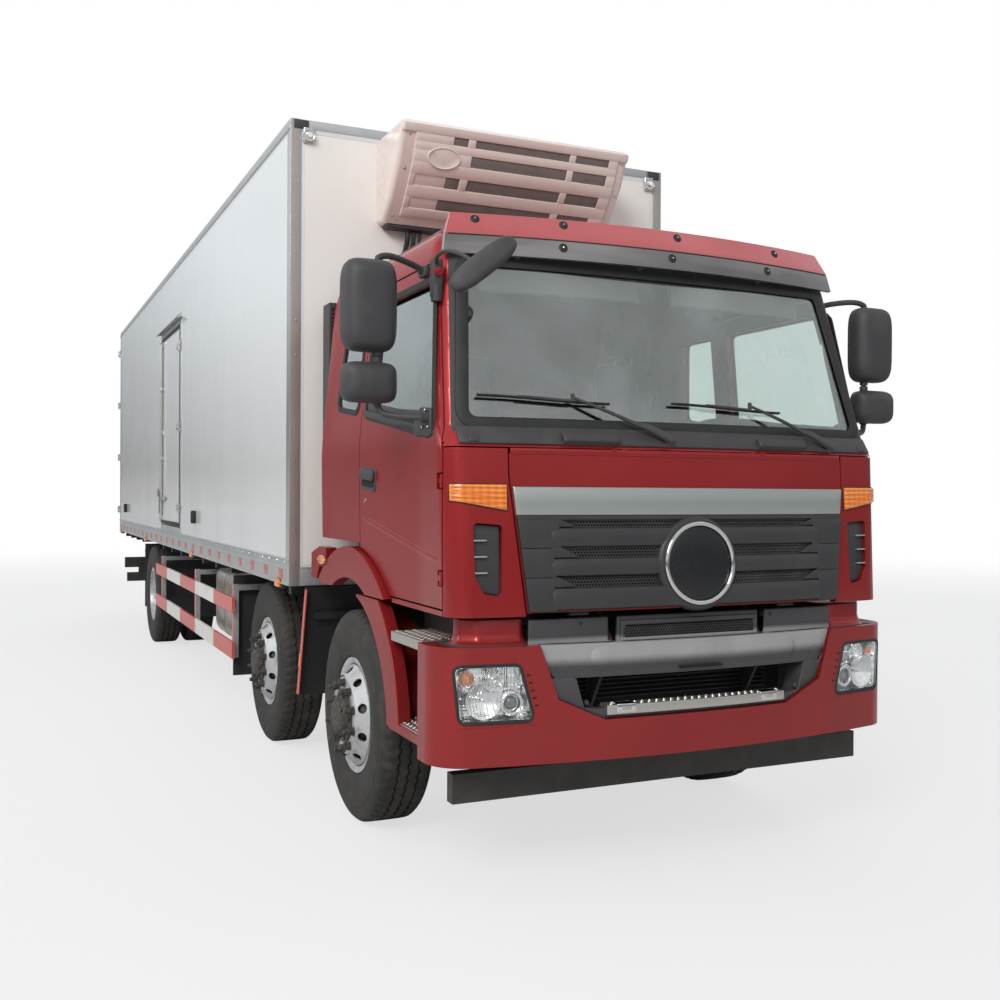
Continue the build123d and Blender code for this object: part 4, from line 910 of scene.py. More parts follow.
def tyre_rings(centre_y, axle_x, blocks):
    """A tyre's skin: the profile from bead to bead turned about the axle. Tread points slide sideways with a
    triangle wave, and the shoulder and tread edge drop by a notch for a third of each block's length."""
    depth = bpy.context.scene.truck_sizes.tread_depth
    wall = [(0.104, 0.264), (0.106, 0.29), (0.1185, 0.2955), (0.124, 0.302), (0.1245, 0.308), (0.1275, 0.315),
            (0.133, 0.34), (0.1385, 0.372), (0.1415, 0.4), (0.1412, 0.432), (0.139, 0.455), (0.1392, 0.4585),
            (0.1368, 0.461), (0.1345, 0.48), (0.129, 0.5), (0.121, 0.5155)]
    rows = [(o, r, 0.0, 0.0) for o, r in wall] + [(0.11, 0.5262, 0.0, 1.0), (0.1005, 0.5325, 0.0, 1.0),
                                                  (0.088, 0.5335, 0.3, 0.5)]
    for groove in TREAD_GROOVES[::-1]:
        crown = 0.535 - 0.0012 * (groove / 0.09) ** 2
        rows += [(groove + 0.0135, crown, 1.0, 0.0), (groove + 0.0065, crown, 1.0, 0.0),
                 (groove + 0.0045, crown - depth, 1.0, 0.0), (groove - 0.0045, crown - depth, 1.0, 0.0),
                 (groove - 0.0065, crown, 1.0, 0.0), (groove - 0.0135, crown, 1.0, 0.0)]
    rows += [(-o, r, zig, notch) for o, r, zig, notch in rows[len(wall) + 2::-1]]
    rows = np.array(rows)
    steps = blocks * 6
    turn = np.arange(steps) * 2 * np.pi / steps
    phase = (np.arange(steps) % 6) / 6
    wave = (1 - np.abs(phase * 2 - 1) * 2) * 0.006
    notch = np.isin(np.arange(steps) % 6, (2, 3)) * 0.0065
    along = centre_y + rows[:, 0] + wave[:, None] * rows[:, 2]
    radius = rows[:, 1] - notch[:, None] * rows[:, 3]
    return np.stack([axle_x + radius * np.sin(turn)[:, None], along, AXLE_Z + radius * np.cos(turn)[:, None]], -1)


def hand_holes(piece, place, side, outer, inner, wall, finish):
    """A conical wheel band with round-ended openings. One sector runs from the opening's ellipse to the sector's
    four sides, point to point at even shares, and is repeated round the wheel."""
    x, y = place
    (o1, r1), (o2, r2) = outer, inner
    middle = (r1 + r2) / 2
    half_angle = np.pi / STUDS
    width, rise = half_angle * middle, (r1 - r2) / 2
    corner = np.arctan2(rise, width)
    marks = [-corner, corner, np.pi - corner, np.pi + corner, 2 * np.pi - corner]
    s = np.concatenate([np.linspace(a, b, 8, endpoint=False) for a, b in zip(marks[:-1], marks[1:])])
    reach = np.minimum(width / np.maximum(np.abs(np.cos(s)), 1e-9), rise / np.maximum(np.abs(np.sin(s)), 1e-9))
    edge = np.stack([np.cos(s), np.sin(s)], 1) * reach[:, None]
    hole = np.stack([np.cos(s) * 0.0235, np.sin(s) * 0.0165], 1)
    across = np.array([o1 - o2, r1 - r2])
    normal = np.array([across[1], -across[0]]) / np.linalg.norm(across)

    def ring(share, depth):
        flat = hole * (1 - share) + edge * share
        radius = middle + flat[:, 1]
        outboard = o2 + (radius - r2) / (r1 - r2) * (o1 - o2) + normal[0] * depth
        radius = radius + normal[1] * depth
        angle = flat[:, 0] / middle
        return np.stack([x + radius * np.sin(angle), y + side * outboard, AXLE_Z + radius * np.cos(angle)], 1)

    part = Piece("sector", *piece.finishes)
    part.rings([ring(1, 0), ring(0.45, 0), ring(0.1, 0), ring(0.0, wall * 0.25), ring(0, wall), ring(1, wall)],
               finish, caps=False)
    part.copies([turn_about((x, y, AXLE_Z), "Y", k * 2 * half_angle) for k in range(1, STUDS)])
    join(piece, part)


def join(piece, part):
    """Adds another piece's surfaces to a piece that has the same finishes."""
    piece.points += part.points
    piece.faces += [[index + piece.count for index in face] for face in part.faces]
    piece.slots += part.slots
    piece.count += part.count


def ring_of(piece, place, side, level, radius, make, count=STUDS, phase=0.0):
    """Repeats a small body round a wheel. make fills a piece with one body standing outboard at the origin."""
    x, y = place
    small = Piece("small", *piece.finishes)
    make(small)
    points = np.vstack(small.points)
    points = points * (1, side, 1) + (x, y + side * level, AXLE_Z + radius)
    small.points = [points]
    turns = [turn_about((x, y, AXLE_Z), "Y", phase + k * 2 * np.pi / count) for k in range(count)]
    small.copies(turns[1:])
    if phase:
        first = np.asarray(turns[0])
        small.points[0] = points @ first[:3, :3].T + first[:3, 3]
    join(piece, small)


def wheel_nut(piece):
    """A flanged hexagon nut on its stud, with a chamfered end."""
    size = bpy.context.scene.truck_sizes.nut_height
    piece.turned([(0, 0.0), (0, 0.0235), (0.004, 0.0235), (0.0065, 0.019), (0.0065, 0)], (0, 0, 0), segments=12,
                 finish=1)
    piece.turned([(0.004, 0.0), (0.004, 0.0195), (size - 0.003, 0.0195), (size, 0.0165), (size, 0)], (0, 0, 0),
                 segments=6, finish=1)
    piece.turned([(size - 0.002, 0.0125), (size + 0.016, 0.0125), (size + 0.019, 0.0095), (size + 0.019, 0)],
                 (0, 0, 0), segments=10, finish=1)


def small_bolt(piece):
    """A hexagon bolt head on a washer."""
    piece.turned([(0, 0.0), (0, 0.0125), (0.002, 0.0125), (0.002, 0)], (0, 0, 0), segments=10, finish=1)
    piece.turned([(0.001, 0.0), (0.001, 0.0092), (0.0075, 0.0092), (0.009, 0.0078), (0.009, 0)], (0, 0, 0),
                 segments=6, finish=1)


BARREL = [(-0.118, 0.2905), (-0.1165, 0.292), (-0.11, 0.292), (-0.107, 0.289), (-0.107, 0.2625), (-0.07, 0.258),
          (-0.05, 0.24), (0.02, 0.24), (0.045, 0.258), (0.107, 0.2625), (0.107, 0.289), (0.11, 0.292),
          (0.1165, 0.292), (0.118, 0.2905), (0.1155, 0.276), (0.109, 0.2605), (0.1, 0.2555), (0.052, 0.247),
          (0.026, 0.229), (-0.056, 0.229), (-0.076, 0.247), (-0.118, 0.256)]


def turned_rows(piece, place, side, rows, finish=0, segments=64, closed=True):
    """Rows of (outboard, radius) turned about a wheel's axle."""
    x, y = place
    piece.turned([(side * o, r) for o, r in rows], (x, y, AXLE_Z), segments=segments, finish=finish, closed=closed)


def steer_rim(axle, side):
    """A single wheel's rim, its disc standing out past the flange: collar, band with openings, flat stud face,
    nuts, hub and its cap."""
    place = (AXLES[axle], side * STEER_Y)
    piece = Piece(f"{axle}_wheel_{NAMES[side]}_rim", "rim_silver", "greasy_iron", "chassis_black")
    turned_rows(piece, place, side, BARREL)
    hand_holes(piece, place, side, (0.105, 0.246), (0.163, 0.195), 0.011, 0)
    turned_rows(piece, place, side, [(0.048, 0.2485), (0.092, 0.253), (0.102, 0.2515), (0.1085, 0.246),
                                     (0.1035, 0.24), (0.092, 0.242), (0.048, 0.239)])
    turned_rows(piece, place, side, [(0.16, 0.1985), (0.1655, 0.1945), (0.1675, 0.19), (0.1675, 0.136),
                                     (0.154, 0.136), (0.154, 0.188)])
    turned_rows(piece, place, side, [(0.168, 0.0), (0.168, 0.136), (0.175, 0.134), (0.178, 0.12), (0.181, 0.106),
                                     (0.196, 0.101), (0.202, 0.0975), (0.203, 0.088), (0.211, 0.084),
                                     (0.215, 0.076), (0.2165, 0.05), (0.2165, 0.0)], 1, 40, closed=False)
    turned_rows(piece, place, side, [(-0.06, 0.195), (-0.06, 0.21), (0.08, 0.21), (0.13, 0.2), (0.15, 0.184),
                                     (0.153, 0.176), (0.153, 0.05), (-0.04, 0.05), (-0.04, 0.09), (0.05, 0.09),
                                     (0.05, 0.195)], 2, 40)
    ring_of(piece, place, side, 0.1675, STUD_RING, wheel_nut)
    ring_of(piece, place, side, 0.181, 0.1155, small_bolt, 10, np.pi / 10)
    ring_of(piece, place, side, 0.203, 0.091, small_bolt, 6)
    return piece.build(f"{axle}_wheel_{NAMES[side]}", [f"{axle}_rim_{NAMES[side]}"], merge=1e-5)


def twin_rims(side):
    """The driven wheels' two rims back to back, with the hub that stands out through the outer one."""
    x = AXLES["rear"]
    piece = Piece(f"rear_wheels_{NAMES[side]}_rims", "rim_silver", "greasy_iron", "chassis_black")
    for way in (-1, 1):
        place = (x, side * (TWIN_Y + way * 0.165))
        facing = side * way
        turned_rows(piece, place, -facing, BARREL)
        hand_holes(piece, place, facing, (-0.066, 0.24), (-0.15, 0.196), 0.011, 0)
        turned_rows(piece, place, facing, [(-0.022, 0.2305), (-0.046, 0.2465), (-0.062, 0.246), (-0.0675, 0.2405),
                                           (-0.064, 0.2375), (-0.048, 0.2365), (-0.026, 0.2295)])
        turned_rows(piece, place, facing, [(-0.149, 0.1975), (-0.163, 0.185), (-0.1645, 0.175), (-0.1645, 0.112),
                                           (-0.153, 0.112), (-0.153, 0.181)])
    place = (x, side * TWIN_Y)
    turned_rows(piece, place, side, [(0.012, 0.0), (0.012, 0.116), (0.04, 0.113), (0.06, 0.11), (0.135, 0.103),
                                     (0.14, 0.096), (0.15, 0.094), (0.151, 0.086), (0.165, 0.082), (0.1715, 0.07),
                                     (0.1715, 0.0)], 1, 40, closed=False)
    turned_rows(piece, place, side, [(-0.19, 0.196), (-0.19, 0.212), (-0.03, 0.212), (-0.015, 0.19),
                                     (-0.0145, 0.06), (-0.15, 0.06), (-0.15, 0.1), (-0.03, 0.11), (-0.03, 0.196)],
                2, 40)
    ring_of(piece, place, side, 0.0125, STUD_RING, wheel_nut)
    ring_of(piece, place, side, 0.151, 0.0905, small_bolt, 8)
    return piece.build(f"rear_wheels_{NAMES[side]}", [f"rear_rims_{NAMES[side]}"], merge=1e-5)


def wheels(side):
    """The tyres and rims of one side."""
    name = NAMES[side]
    for axle in ("front", "second"):
        tyre = Piece(f"{axle}_wheel_{name}_tyre", "tyre_rubber")
        tyre.rings(tyre_rings(side * STEER_Y, AXLES[axle], TREAD_BLOCKS), closed=True)
        tyre.build(f"{axle}_wheel_{name}", [f"{axle}_tyre_{name}"], crease=32)
        steer_rim(axle, side)
    tyres = Piece(f"rear_wheels_{name}_tyres", "tyre_rubber")
    for offset in TWIN_OFFSETS:
        tyres.rings(tyre_rings(side * TWIN_Y + offset, AXLES["rear"], TREAD_BLOCKS), closed=True)
    tyres.build(f"rear_wheels_{name}", [f"rear_tyres_{name}"], crease=32)
    twin_rims(side)


class TRUCK_OT_wheels(Step, bpy.types.Operator):
    """Tyres with grooved tread, and rims with their hubs and nuts"""

    bl_idname = "truck.wheels"
    bl_label = "Wheels"
    sided = (wheels,)


# ---------------------------------------------------------------- finishes of the CAD nodes that stay
KEPT = {
    "cab_red": ("cab_body", "cab_roof", "door_left", "door_right", "corner_panels", "wheel_arches", "step_wells",
                "front_bumper", "front_flap"),
    "brow": ("roof_visor",),
    "dark_plastic": ("bumper_centre", "air_intake", "front_mirror", "mirror_left", "mirror_right"),
    "cab_glass": ("cab_windows", "door_glass_left", "door_glass_right"),
    "box_white": ("box_walls", "side_door", "rear_door_left", "rear_door_right"),
    "box_top": ("box_roof",),
    "box_cream": ("box_front_wall",),
    "inner_lining": ("box_floor",),
    "stainless": ("box_rear_frame",),
    "unit_shell": ("refrigeration_unit",),
    "chassis_black": ("chassis_frame", "front_axle_beams", "rear_axle", "leaf_springs", "drive_shaft", "battery_box",
                      "front_underrun_bar", "rear_bumper", "box_subframe"),
    "greasy_iron": ("engine", "front_knuckle_left", "front_knuckle_right", "second_knuckle_left",
                    "second_knuckle_right"),
    "tank_metal": ("fuel_tank",),
    "guard_paint": ("side_guards",),
    "black_rubber": ("mudguards",),
    "interior": ("dashboard", "steering_wheel"),
    "clear_lens": ("headlamps",),
    "seat_cloth": ("seats",),
}
BEVELS = {                      # width by finish, or by a node's own name; None splits the edges instead
    "cab_red": 0.006, "brow": 0.004, "dark_plastic": 0.004, "box_white": 0.002, "box_top": 0.002, "unit_shell": 0.018,
    "stainless": 0.002, "chassis_black": 0.003, "guard_paint": 0.002, "black_rubber": 0.002, "interior": 0.008,
    "box_cream": 0.002, "tank_metal": 0.004, "greasy_iron": 0.004, "front_bumper": 0.018, "fuel_tank": None,
}
WELD = 1e-5
SOFT_ANGLE, SPLIT_ANGLE = np.radians((42, 35))


class TRUCK_OT_finishes(bpy.types.Operator):
    """Finishes of the CAD solids that stay in view, with their edges eased"""

    bl_idname = "truck.finishes"
    bl_label = "CAD finishes"

    def execute(self, context):
        for name, nodes in KEPT.items():
            for node in nodes:
                solid = frame["nodes"][node]
                solid.data.materials.clear()
                solid.data.materials.append(FINISHES[name]())
                solid.data.polygons.foreach_set("use_smooth", np.ones(len(solid.data.polygons), bool))
                weld = solid.modifiers.new("weld", "WELD")
                weld.merge_threshold = WELD
                width = BEVELS.get(node, BEVELS.get(name))
                if width:
                    ease = solid.modifiers.new("ease", "BEVEL")
                    ease.width, ease.segments = width, 2
                    ease.limit_method, ease.angle_limit = "ANGLE", SOFT_ANGLE
                    even = solid.modifiers.new("even", "WEIGHTED_NORMAL")
                    even.keep_sharp = True
                else:
                    split = solid.modifiers.new("split", "EDGE_SPLIT")
                    split.split_angle = SPLIT_ANGLE
        return {"FINISHED"}


# ---------------------------------------------------------------- stage
CAMERA_PLACE = (9.949, -2.783, 1.671)
CAMERA_YAW, CAMERA_PITCH, CAMERA_ROLL = np.radians((155.362, -0.358, 0.329))
CAMERA_LENS = 39.465
FLOOR_HALF = 150                # metres
WHITE = (1.0, 1.0, 1.0, 1.0)
SKY_STOPS = (                   # height on the sky's sphere and the tone there
    (0.0, (0.34, 0.33, 0.32)), (0.02, (0.19, 0.195, 0.19)), (0.07, (0.3, 0.32, 0.33)), (0.2, (0.72, 0.78, 0.84)),
    (0.5, (0.94, 0.97, 1.0)), (0.75, (0.78, 0.8, 0.82)), (1.0, (0.7, 0.71, 0.72)),
)


def sky(scene):
    """Plain white to the camera and through glass. Every other ray sees a tone for its height times soft clouds."""
    world = bpy.data.worlds.new("sky")
    scene.world = world
    world.use_nodes = True
    w = Nodes(world.node_tree)
    place = w.node("ShaderNodeTexCoord", {}, {}, "Generated")
    height = w.node("ShaderNodeSeparateXYZ", {}, {0: place}, 2)
    tone = w.node("ShaderNodeValToRGB", {"stops": SKY_STOPS}, {0: height})
    cloud = w.node("ShaderNodeTexNoise", {}, {"Vector": place, "Scale": 2.3, "Detail": 7.0, "Roughness": 0.58,
                                              "Distortion": 0.6})
    shade = w.node("ShaderNodeMapRange", {"interpolation_type": "SMOOTHSTEP"},
                   {"Value": cloud, "From Min": 0.36, "From Max": 0.66, "To Min": 0.5, "To Max": 1.35})
    both = w.node("ShaderNodeVectorMath", {"operation": "SCALE"}, {0: tone, "Scale": shade})
    soft = w.node("ShaderNodeBackground", {}, {"Color": both, "Strength": scene.truck_sizes.sky_strength})
    plain = w.node("ShaderNodeBackground", {}, {"Color": WHITE})
    seen = w.node("ShaderNodeLightPath", {}, {}, "Is Camera Ray")
    through = Value(w, seen.socket.node.outputs["Is Transmission Ray"])
    either = w.node("ShaderNodeMixShader", {}, {0: seen.math("MAXIMUM", through), 1: soft, 2: plain})
    w.feed(w.tree.nodes.new("ShaderNodeOutputWorld").inputs["Surface"], either)


class TRUCK_OT_stage(bpy.types.Operator):
    """Pale floor, soft lights and the camera"""

    bl_idname = "truck.stage"
    bl_label = "Stage"

    def execute(self, context):
        scene = context.scene
        scene.view_settings.view_transform = "Standard"
        ahead = np.array([np.cos(CAMERA_YAW) * np.cos(CAMERA_PITCH), np.sin(CAMERA_YAW) * np.cos(CAMERA_PITCH),
                          np.sin(CAMERA_PITCH)])
        right = np.array([np.sin(CAMERA_YAW), -np.cos(CAMERA_YAW), 0.0])
        up = np.cross(right, ahead)
        across = right * np.cos(CAMERA_ROLL) + up * np.sin(CAMERA_ROLL)
        above = up * np.cos(CAMERA_ROLL) - right * np.sin(CAMERA_ROLL)
        data = bpy.data.cameras.new("camera")
        data.lens, data.sensor_width = CAMERA_LENS, 36.0
        data.clip_end = 500.0
        camera = bpy.data.objects.new("camera", data)
        matrix = np.eye(4)
        matrix[:3, :3] = np.stack([across, above, -ahead], 1)
        matrix[:3, 3] = CAMERA_PLACE
        camera.matrix_world = Matrix(matrix.tolist())
        scene.collection.objects.link(camera)
        scene.camera = camera

        floor = bpy.data.meshes.new("floor")
        reach = (-FLOOR_HALF, FLOOR_HALF)
        floor.from_pydata([(x, y, 0) for x, y in rectangle(reach, reach)], [], [(0, 1, 2, 3)])
        f = Finish("floor", Roughness=0.9, Specular_IOR_Level=0.1)
        f.put(Base_Color=f.mix((0.58, 0.58, 0.575), (0.62, 0.62, 0.615), f.noise(0.4, 2.0)))
        seen = f.node("ShaderNodeLightPath", {}, {}, "Is Camera Ray")
        white = f.node("ShaderNodeEmission", {}, {"Color": WHITE, "Strength": 1.0})
        x, y = f.axes()[:2]
        far = (x * x + y * y).math("SQRT").fade(9.0, 24.0)
        share = f.node("ShaderNodeMixShader", {}, {0: seen * (far * 0.32 + 0.68), 1: Value(f, f.surface.outputs[0]),
                                                   2: white})
        f.tree.links.new(share.socket, f.tree.nodes["Material Output"].inputs["Surface"])
        floor.materials.append(f.material)
        ground = bpy.data.objects.new("floor", floor)
        scene.collection.objects.link(ground)

        sky(scene)

        lamps = (               # name, place, aim, size, power
            ("key", (15.0, -10.0, 11.0), (3.0, 0.0, 1.5), 7.0, 1520.0),
            ("side", (-3.0, -17.0, 9.0), (-2.0, 0.0, 2.0), 9.0, 600.0),
            ("back", (-16.0, 9.0, 10.0), (-5.0, 0.0, 2.0), 8.0, 480.0),
            ("top", (0.0, 0.0, 15.0), (0.0, 0.0, 0.0), 12.0, 150.0),
        )
        for name, spot, aim, size, power in lamps:
            light = bpy.data.lights.new(name, "AREA")
            light.shape, light.size, light.energy = "DISK", size, power
            lamp = bpy.data.objects.new(name, light)
            axes = Matrix(look_axes(np.subtract(aim, spot)).tolist())
            lamp.matrix_world = Matrix.Translation(spot) @ axes.to_4x4()
            scene.collection.objects.link(lamp)
        return {"FINISHED"}


def look_axes(toward):
    """Axes of a lamp whose own minus Z points along a direction."""
    back = -np.asarray(toward, float) / np.linalg.norm(toward)
    side = np.cross((0, 0, 1) if abs(back[2]) < 0.99 else (1, 0, 0), back)
    side /= np.linalg.norm(side)
    return np.stack([side, np.cross(back, side), back], 1)


# ---------------------------------------------------------------- strips and sheets on curved faces
NOSE_HALF, NOSE_CROWN, NOSE_CORNER = 1.187, 0.135, 0.17


def nose_face(y, z, out=0.0):
    """Points on the bumper's front: X follows one crown arc across the width, then a corner arc tangent to it,
    the same at every height."""
    y, z = np.broadcast_arrays(np.asarray(y, float), np.asarray(z, float))
    radius = (NOSE_HALF**2 + NOSE_CROWN**2) / (2 * NOSE_CROWN)
    straight = NOSE_HALF - NOSE_CORNER
    crown = radius - np.sqrt(np.maximum(radius**2 - y**2, 0))
    centre = radius - np.sqrt((radius - NOSE_CORNER) ** 2 - straight**2)
    edge = centre - np.sqrt(np.maximum(NOSE_CORNER**2 - np.maximum(np.abs(y) - straight, 0) ** 2, 1e-6))
    corner = np.abs(y) > straight * radius / (radius - NOSE_CORNER)
    return np.stack([FRONT - np.where(corner, edge, crown) + out, y, z], -1)


def nose_normal(y, z):
    """Outward normals of the bumper's front, level all over."""
    step = 1e-3
    slope = nose_face(y - step, z)[..., 0] - nose_face(y + step, z)[..., 0]
    normal = np.stack([np.full_like(slope, 2 * step), slope, np.zeros_like(slope)], -1)
    return normal / np.linalg.norm(normal, axis=-1)[..., None]


CAB = (cab_face, cab_normal)
NOSE = (nose_face, nose_normal)


def strip(span, low, high, lift, edge=0.004, spacing=0.04, face=CAB, widths=None):
    """Rings of a rounded bar that lies across a curved face between two Y's. low and high give its heights at a
    Y, lift its back's and its front's distance off the face. Near each end the front sinks by edge times one less
    the sine of an angle that opens to a right angle. widths scales Y by a half width's change with height."""
    start, end = sorted(span)
    turn = np.linspace(0, np.pi / 2, 4)
    near, sink = edge * (1 - np.cos(turn)), edge * (1 - np.sin(turn))
    count = max(int((end - start - 2 * edge) / spacing), 1)
    middle = np.linspace(start + edge, end - edge, count + 1)[1:-1]
    y = np.concatenate([start + near, middle, (end - near)[::-1]])
    drop = np.concatenate([sink, np.zeros(len(middle)), sink[::-1]])
    bottom = np.broadcast_to(low(y) if callable(low) else low, y.shape)
    top = np.broadcast_to(high(y) if callable(high) else high, y.shape)
    front = (lift[1](y) if callable(lift[1]) else lift[1]) - drop
    shift = edge * 0.3
    heights = np.stack([bottom, bottom, bottom + shift, bottom + edge, top - edge, top - shift, top, top], 1)
    off = np.stack([np.full(len(y), lift[0]), front - edge, front - shift, front, front, front - shift,
                    front - edge, np.full(len(y), lift[0])], 1)
    off = np.maximum(off, lift[0])
    wide = y[:, None] * (widths(heights) / widths(bottom)[:, None] if widths else np.ones_like(heights))
    place, normal = face
    return place(wide, heights) + normal(wide, heights) * off[..., None]


HEX_ROW, HEX_CORNER = 0.866, 0.5769     # a hexagon's rows' distance and corner's reach, for cells one apart


def honeycomb(y, z, pitch, web, off, depth, face=CAB):
    """Closed six-sided cells side by side: each is a ring between two hexagons, the inner one smaller by the
    web, at the centres of a triangular grid that fills the span of Y and Z."""
    rows = int((z[1] - z[0]) / (pitch * HEX_ROW))
    columns = int((y[1] - y[0]) / pitch)
    outer = circle(pitch * HEX_CORNER, 6, np.pi / 6)
    inner = outer * (1 - web / pitch)
    place, normal = face
    cells = []
    for row in range(rows):
        for column in range(columns - row % 2):
            centre = (y[0] + pitch * (column + 0.5 + 0.5 * (row % 2)), z[0] + pitch * HEX_ROW * (row + 0.5))
            loops = []
            for loop, level in ((outer, off), (outer, off - depth), (inner, off - depth), (inner, off)):
                wide, tall = (loop + centre).T
                loops.append(place(wide, tall) + normal(wide, tall) * level)
            cells.append(loops)
    return cells


def mesh(piece, finish, *cells):
    """Adds a field of honeycomb cells."""
    for cell in honeycomb(*cells):
        piece.rings(cell, finish, closed=True)


def touches(node, origins, direction):
    """Where rays first meet a CAD solid, and the way the solid faces there."""
    solid = frame["nodes"][node]
    world = solid.matrix_world
    points = [world @ vertex.co for vertex in solid.data.vertices]
    tree = BVHTree.FromPolygons(points, [tuple(polygon.vertices) for polygon in solid.data.polygons])
    hits = [tree.ray_cast(origin, direction)[:2] for origin in origins]
    if any(place is None for place, _ in hits):
        raise RuntimeError(f"no surface of {node} on that line")
    return [(np.array(place), np.array(normal)) for place, normal in hits]


def touch(node, origin, direction):
    """Where one ray first meets a CAD solid, and the way the solid faces there."""
    return touches(node, [origin], direction)[0]


def domed_bolt(piece, place, normal, radius, finish=0, washer=1):
    """A round-headed bolt on a washer: the head's profile is a quarter circle."""
    angle = np.linspace(0, np.pi / 2, 5)
    piece.turned([(-0.004, 0.0), (-0.004, radius * 1.7), (radius * 0.25, radius * 1.62),
                  (radius * 0.42, radius * 1.3), (radius * 0.42, 0.0)], place, normal, 20, washer)
    head = [(radius * (0.35 + 0.75 * np.sin(a)), radius * np.cos(a)) for a in angle]
    piece.turned([(radius * 0.3, radius), *head], place, normal, 16, finish)


# ---------------------------------------------------------------- front of the cab
FLAP_LOW, FLAP_HIGH = 1.184, 1.577


def flap_half(z):
    """Half width of the flap's covers, inside the flap's own edge."""
    return np.interp(z, (1.172, 1.74, 1.836), (0.804, 0.871, 0.871)) - 0.004


def grille():
    """Dark grille of three slatted openings over honeycomb, with a ring in the middle. The bars' ends come in
    as they rise, so each opening is a long trapezium."""
    piece = Piece("grille", "grille_plastic", "dark_mesh", "void_black", "chrome", "gloss_black")
    bands = ((1.531, 1.562), (1.404, 1.441), (1.282, 1.317))
    slats = ((1.444, 1.531), (1.323, 1.404), (FLAP_LOW, 1.282))
    # a near-black sheet of painted shade behind the slats and the honeycomb
    piece.strip(2, (-0.8, 0.8), FLAP_LOW + 0.004, FLAP_HIGH - 0.004, (0.0005, 0.004), 0.001)
    for low, high in bands:
        mesh(piece, 1, (-0.7, 0.7), (low - 0.012, high + 0.014), 0.0145, 0.005, 0.011, 0.003)

    def bulge(y):
        share = np.clip((0.715 - np.abs(y)) / 0.1, 0, 1)
        return 0.0235 + 0.01 * share * share * (3 - 2 * share)

    for low, high in slats:
        piece.strip(0, (-0.715, 0.715), low, high, (0.003, bulge), 0.024, 0.025)
    piece.strip(0, (-0.846, 0.846), 1.56, FLAP_HIGH, (0.003, 0.022), 0.004, 0.035)
    for side in SIDES:
        for low, high in ((1.444, 1.562), (1.323, 1.4425), (FLAP_LOW, 1.3215)):
            edge = float(flap_half(low))
            start = 0.655 if low > 1.4 else 0.68
            piece.strip(0, (side * start, side * edge), low, high, (0.003, 0.0225), 0.003, 0.035, widths=flap_half)
        for low, high, start in ((1.531, 1.566, 0.6), (1.404, 1.447, 0.585), (1.282, 1.3235, 0.6)):

            def slope(y, low=low, high=high, start=start):
                return low + 0.008 + (high - low - 0.008) * np.clip((np.abs(y) - start) / 0.07, 0, 1)
            piece.strip(0, (side * start, side * 0.7), low, slope, (0.003, 0.0215), 0.003, 0.012)
    centre = cab_face(0.0, 1.369)
    normal = cab_normal(0.0, 1.369)
    piece.turned([(0.002, 0.0), (0.002, 0.208), (0.02, 0.206), (0.032, 0.197), (0.036, 0.186), (0.034, 0.176),
                  (0.034, 0.0)], centre, normal, 72, 0)
    piece.turned(hoop(0.04, 0.172, 0.0105, 12), centre, normal, 72, 3, closed=True)
    piece.turned([(0.03, 0.0), (0.03, 0.162), *dome(0.0355, 0.01, 0.162)], centre, normal, 64, 4)
    return piece.build("front_flap", crease=34)


def front_band():
    """Silver strip over the grille, a thin rubber line under it and the painted lip along the flap's top."""
    piece = Piece("front_band", "silver_band", "black_rubber", "cab_red")
    half = float(flap_half(FLAP_HIGH))
    piece.strip(0, (-half, half), FLAP_HIGH + 0.002, 1.698, (0.0005, 0.016), 0.006, 0.03, widths=flap_half)
    piece.strip(2, (-0.866, 0.866), 1.832, 1.8585, (-0.004, 0.0035), 0.003, 0.03)
    piece.strip(1, (-0.845, 0.845), FLAP_HIGH - 0.001, FLAP_HIGH + 0.003, (0.0005, 0.018), 0.0015, 0.03)
    return piece.build("front_flap", crease=34)


def indicators():
    """Amber lamps beside the band, taller towards the flap, with level ribs and a black surround."""
    piece = Piece("indicators", "amber_lens", "black_rubber")

    def low(y):
        return np.interp(np.abs(y), (0.884, 1.115), (1.6, 1.64))

    for side in SIDES:
        piece.strip(1, (side * 0.882, side * 1.118), lambda y: low(y) - 0.005, 1.711, (-0.004, 0.004), 0.002, 0.012)
        piece.strip(0, (side * 0.887, side * 1.112), low, 1.706, (0.0, 0.011), 0.004, 0.012)
        for rib in np.linspace(0.12, 0.88, 5):
            piece.strip(0, (side * 0.893, side * 1.106), lambda y: low(y) + (1.706 - low(y)) * rib - 0.0028,
                        lambda y: low(y) + (1.706 - low(y)) * rib + 0.0028, (0.008, 0.0145), 0.0022, 0.012)
    return piece.build("cab", crease=34)


def vent_fins():
    """Dark vents in the corner panels: a backing that curves with the corner and three pale fins from its
    outboard edge."""
    piece = Piece("corner_vents", "grille_plastic", "silver_band")
    for side in SIDES:

        def low(y):
            return np.interp(np.abs(y), (0.915, 0.99, 1.025, 1.04), (1.25, 1.264, 1.325, 1.335))

        def high(y):
            return np.interp(np.abs(y), (0.905, 1.03), (1.538, 1.548))

        piece.strip(0, (side * 0.912, side * 1.04), low, high, (-0.045, -0.018), 0.006, 0.008)
        for height in (1.478, 1.412, 1.346):
            piece.strip(1, (side * 0.972, side * 1.038), height - 0.0035, height + 0.0035, (-0.02, -0.001), 0.002,
                        0.008)
    return piece.build("cab", crease=34)


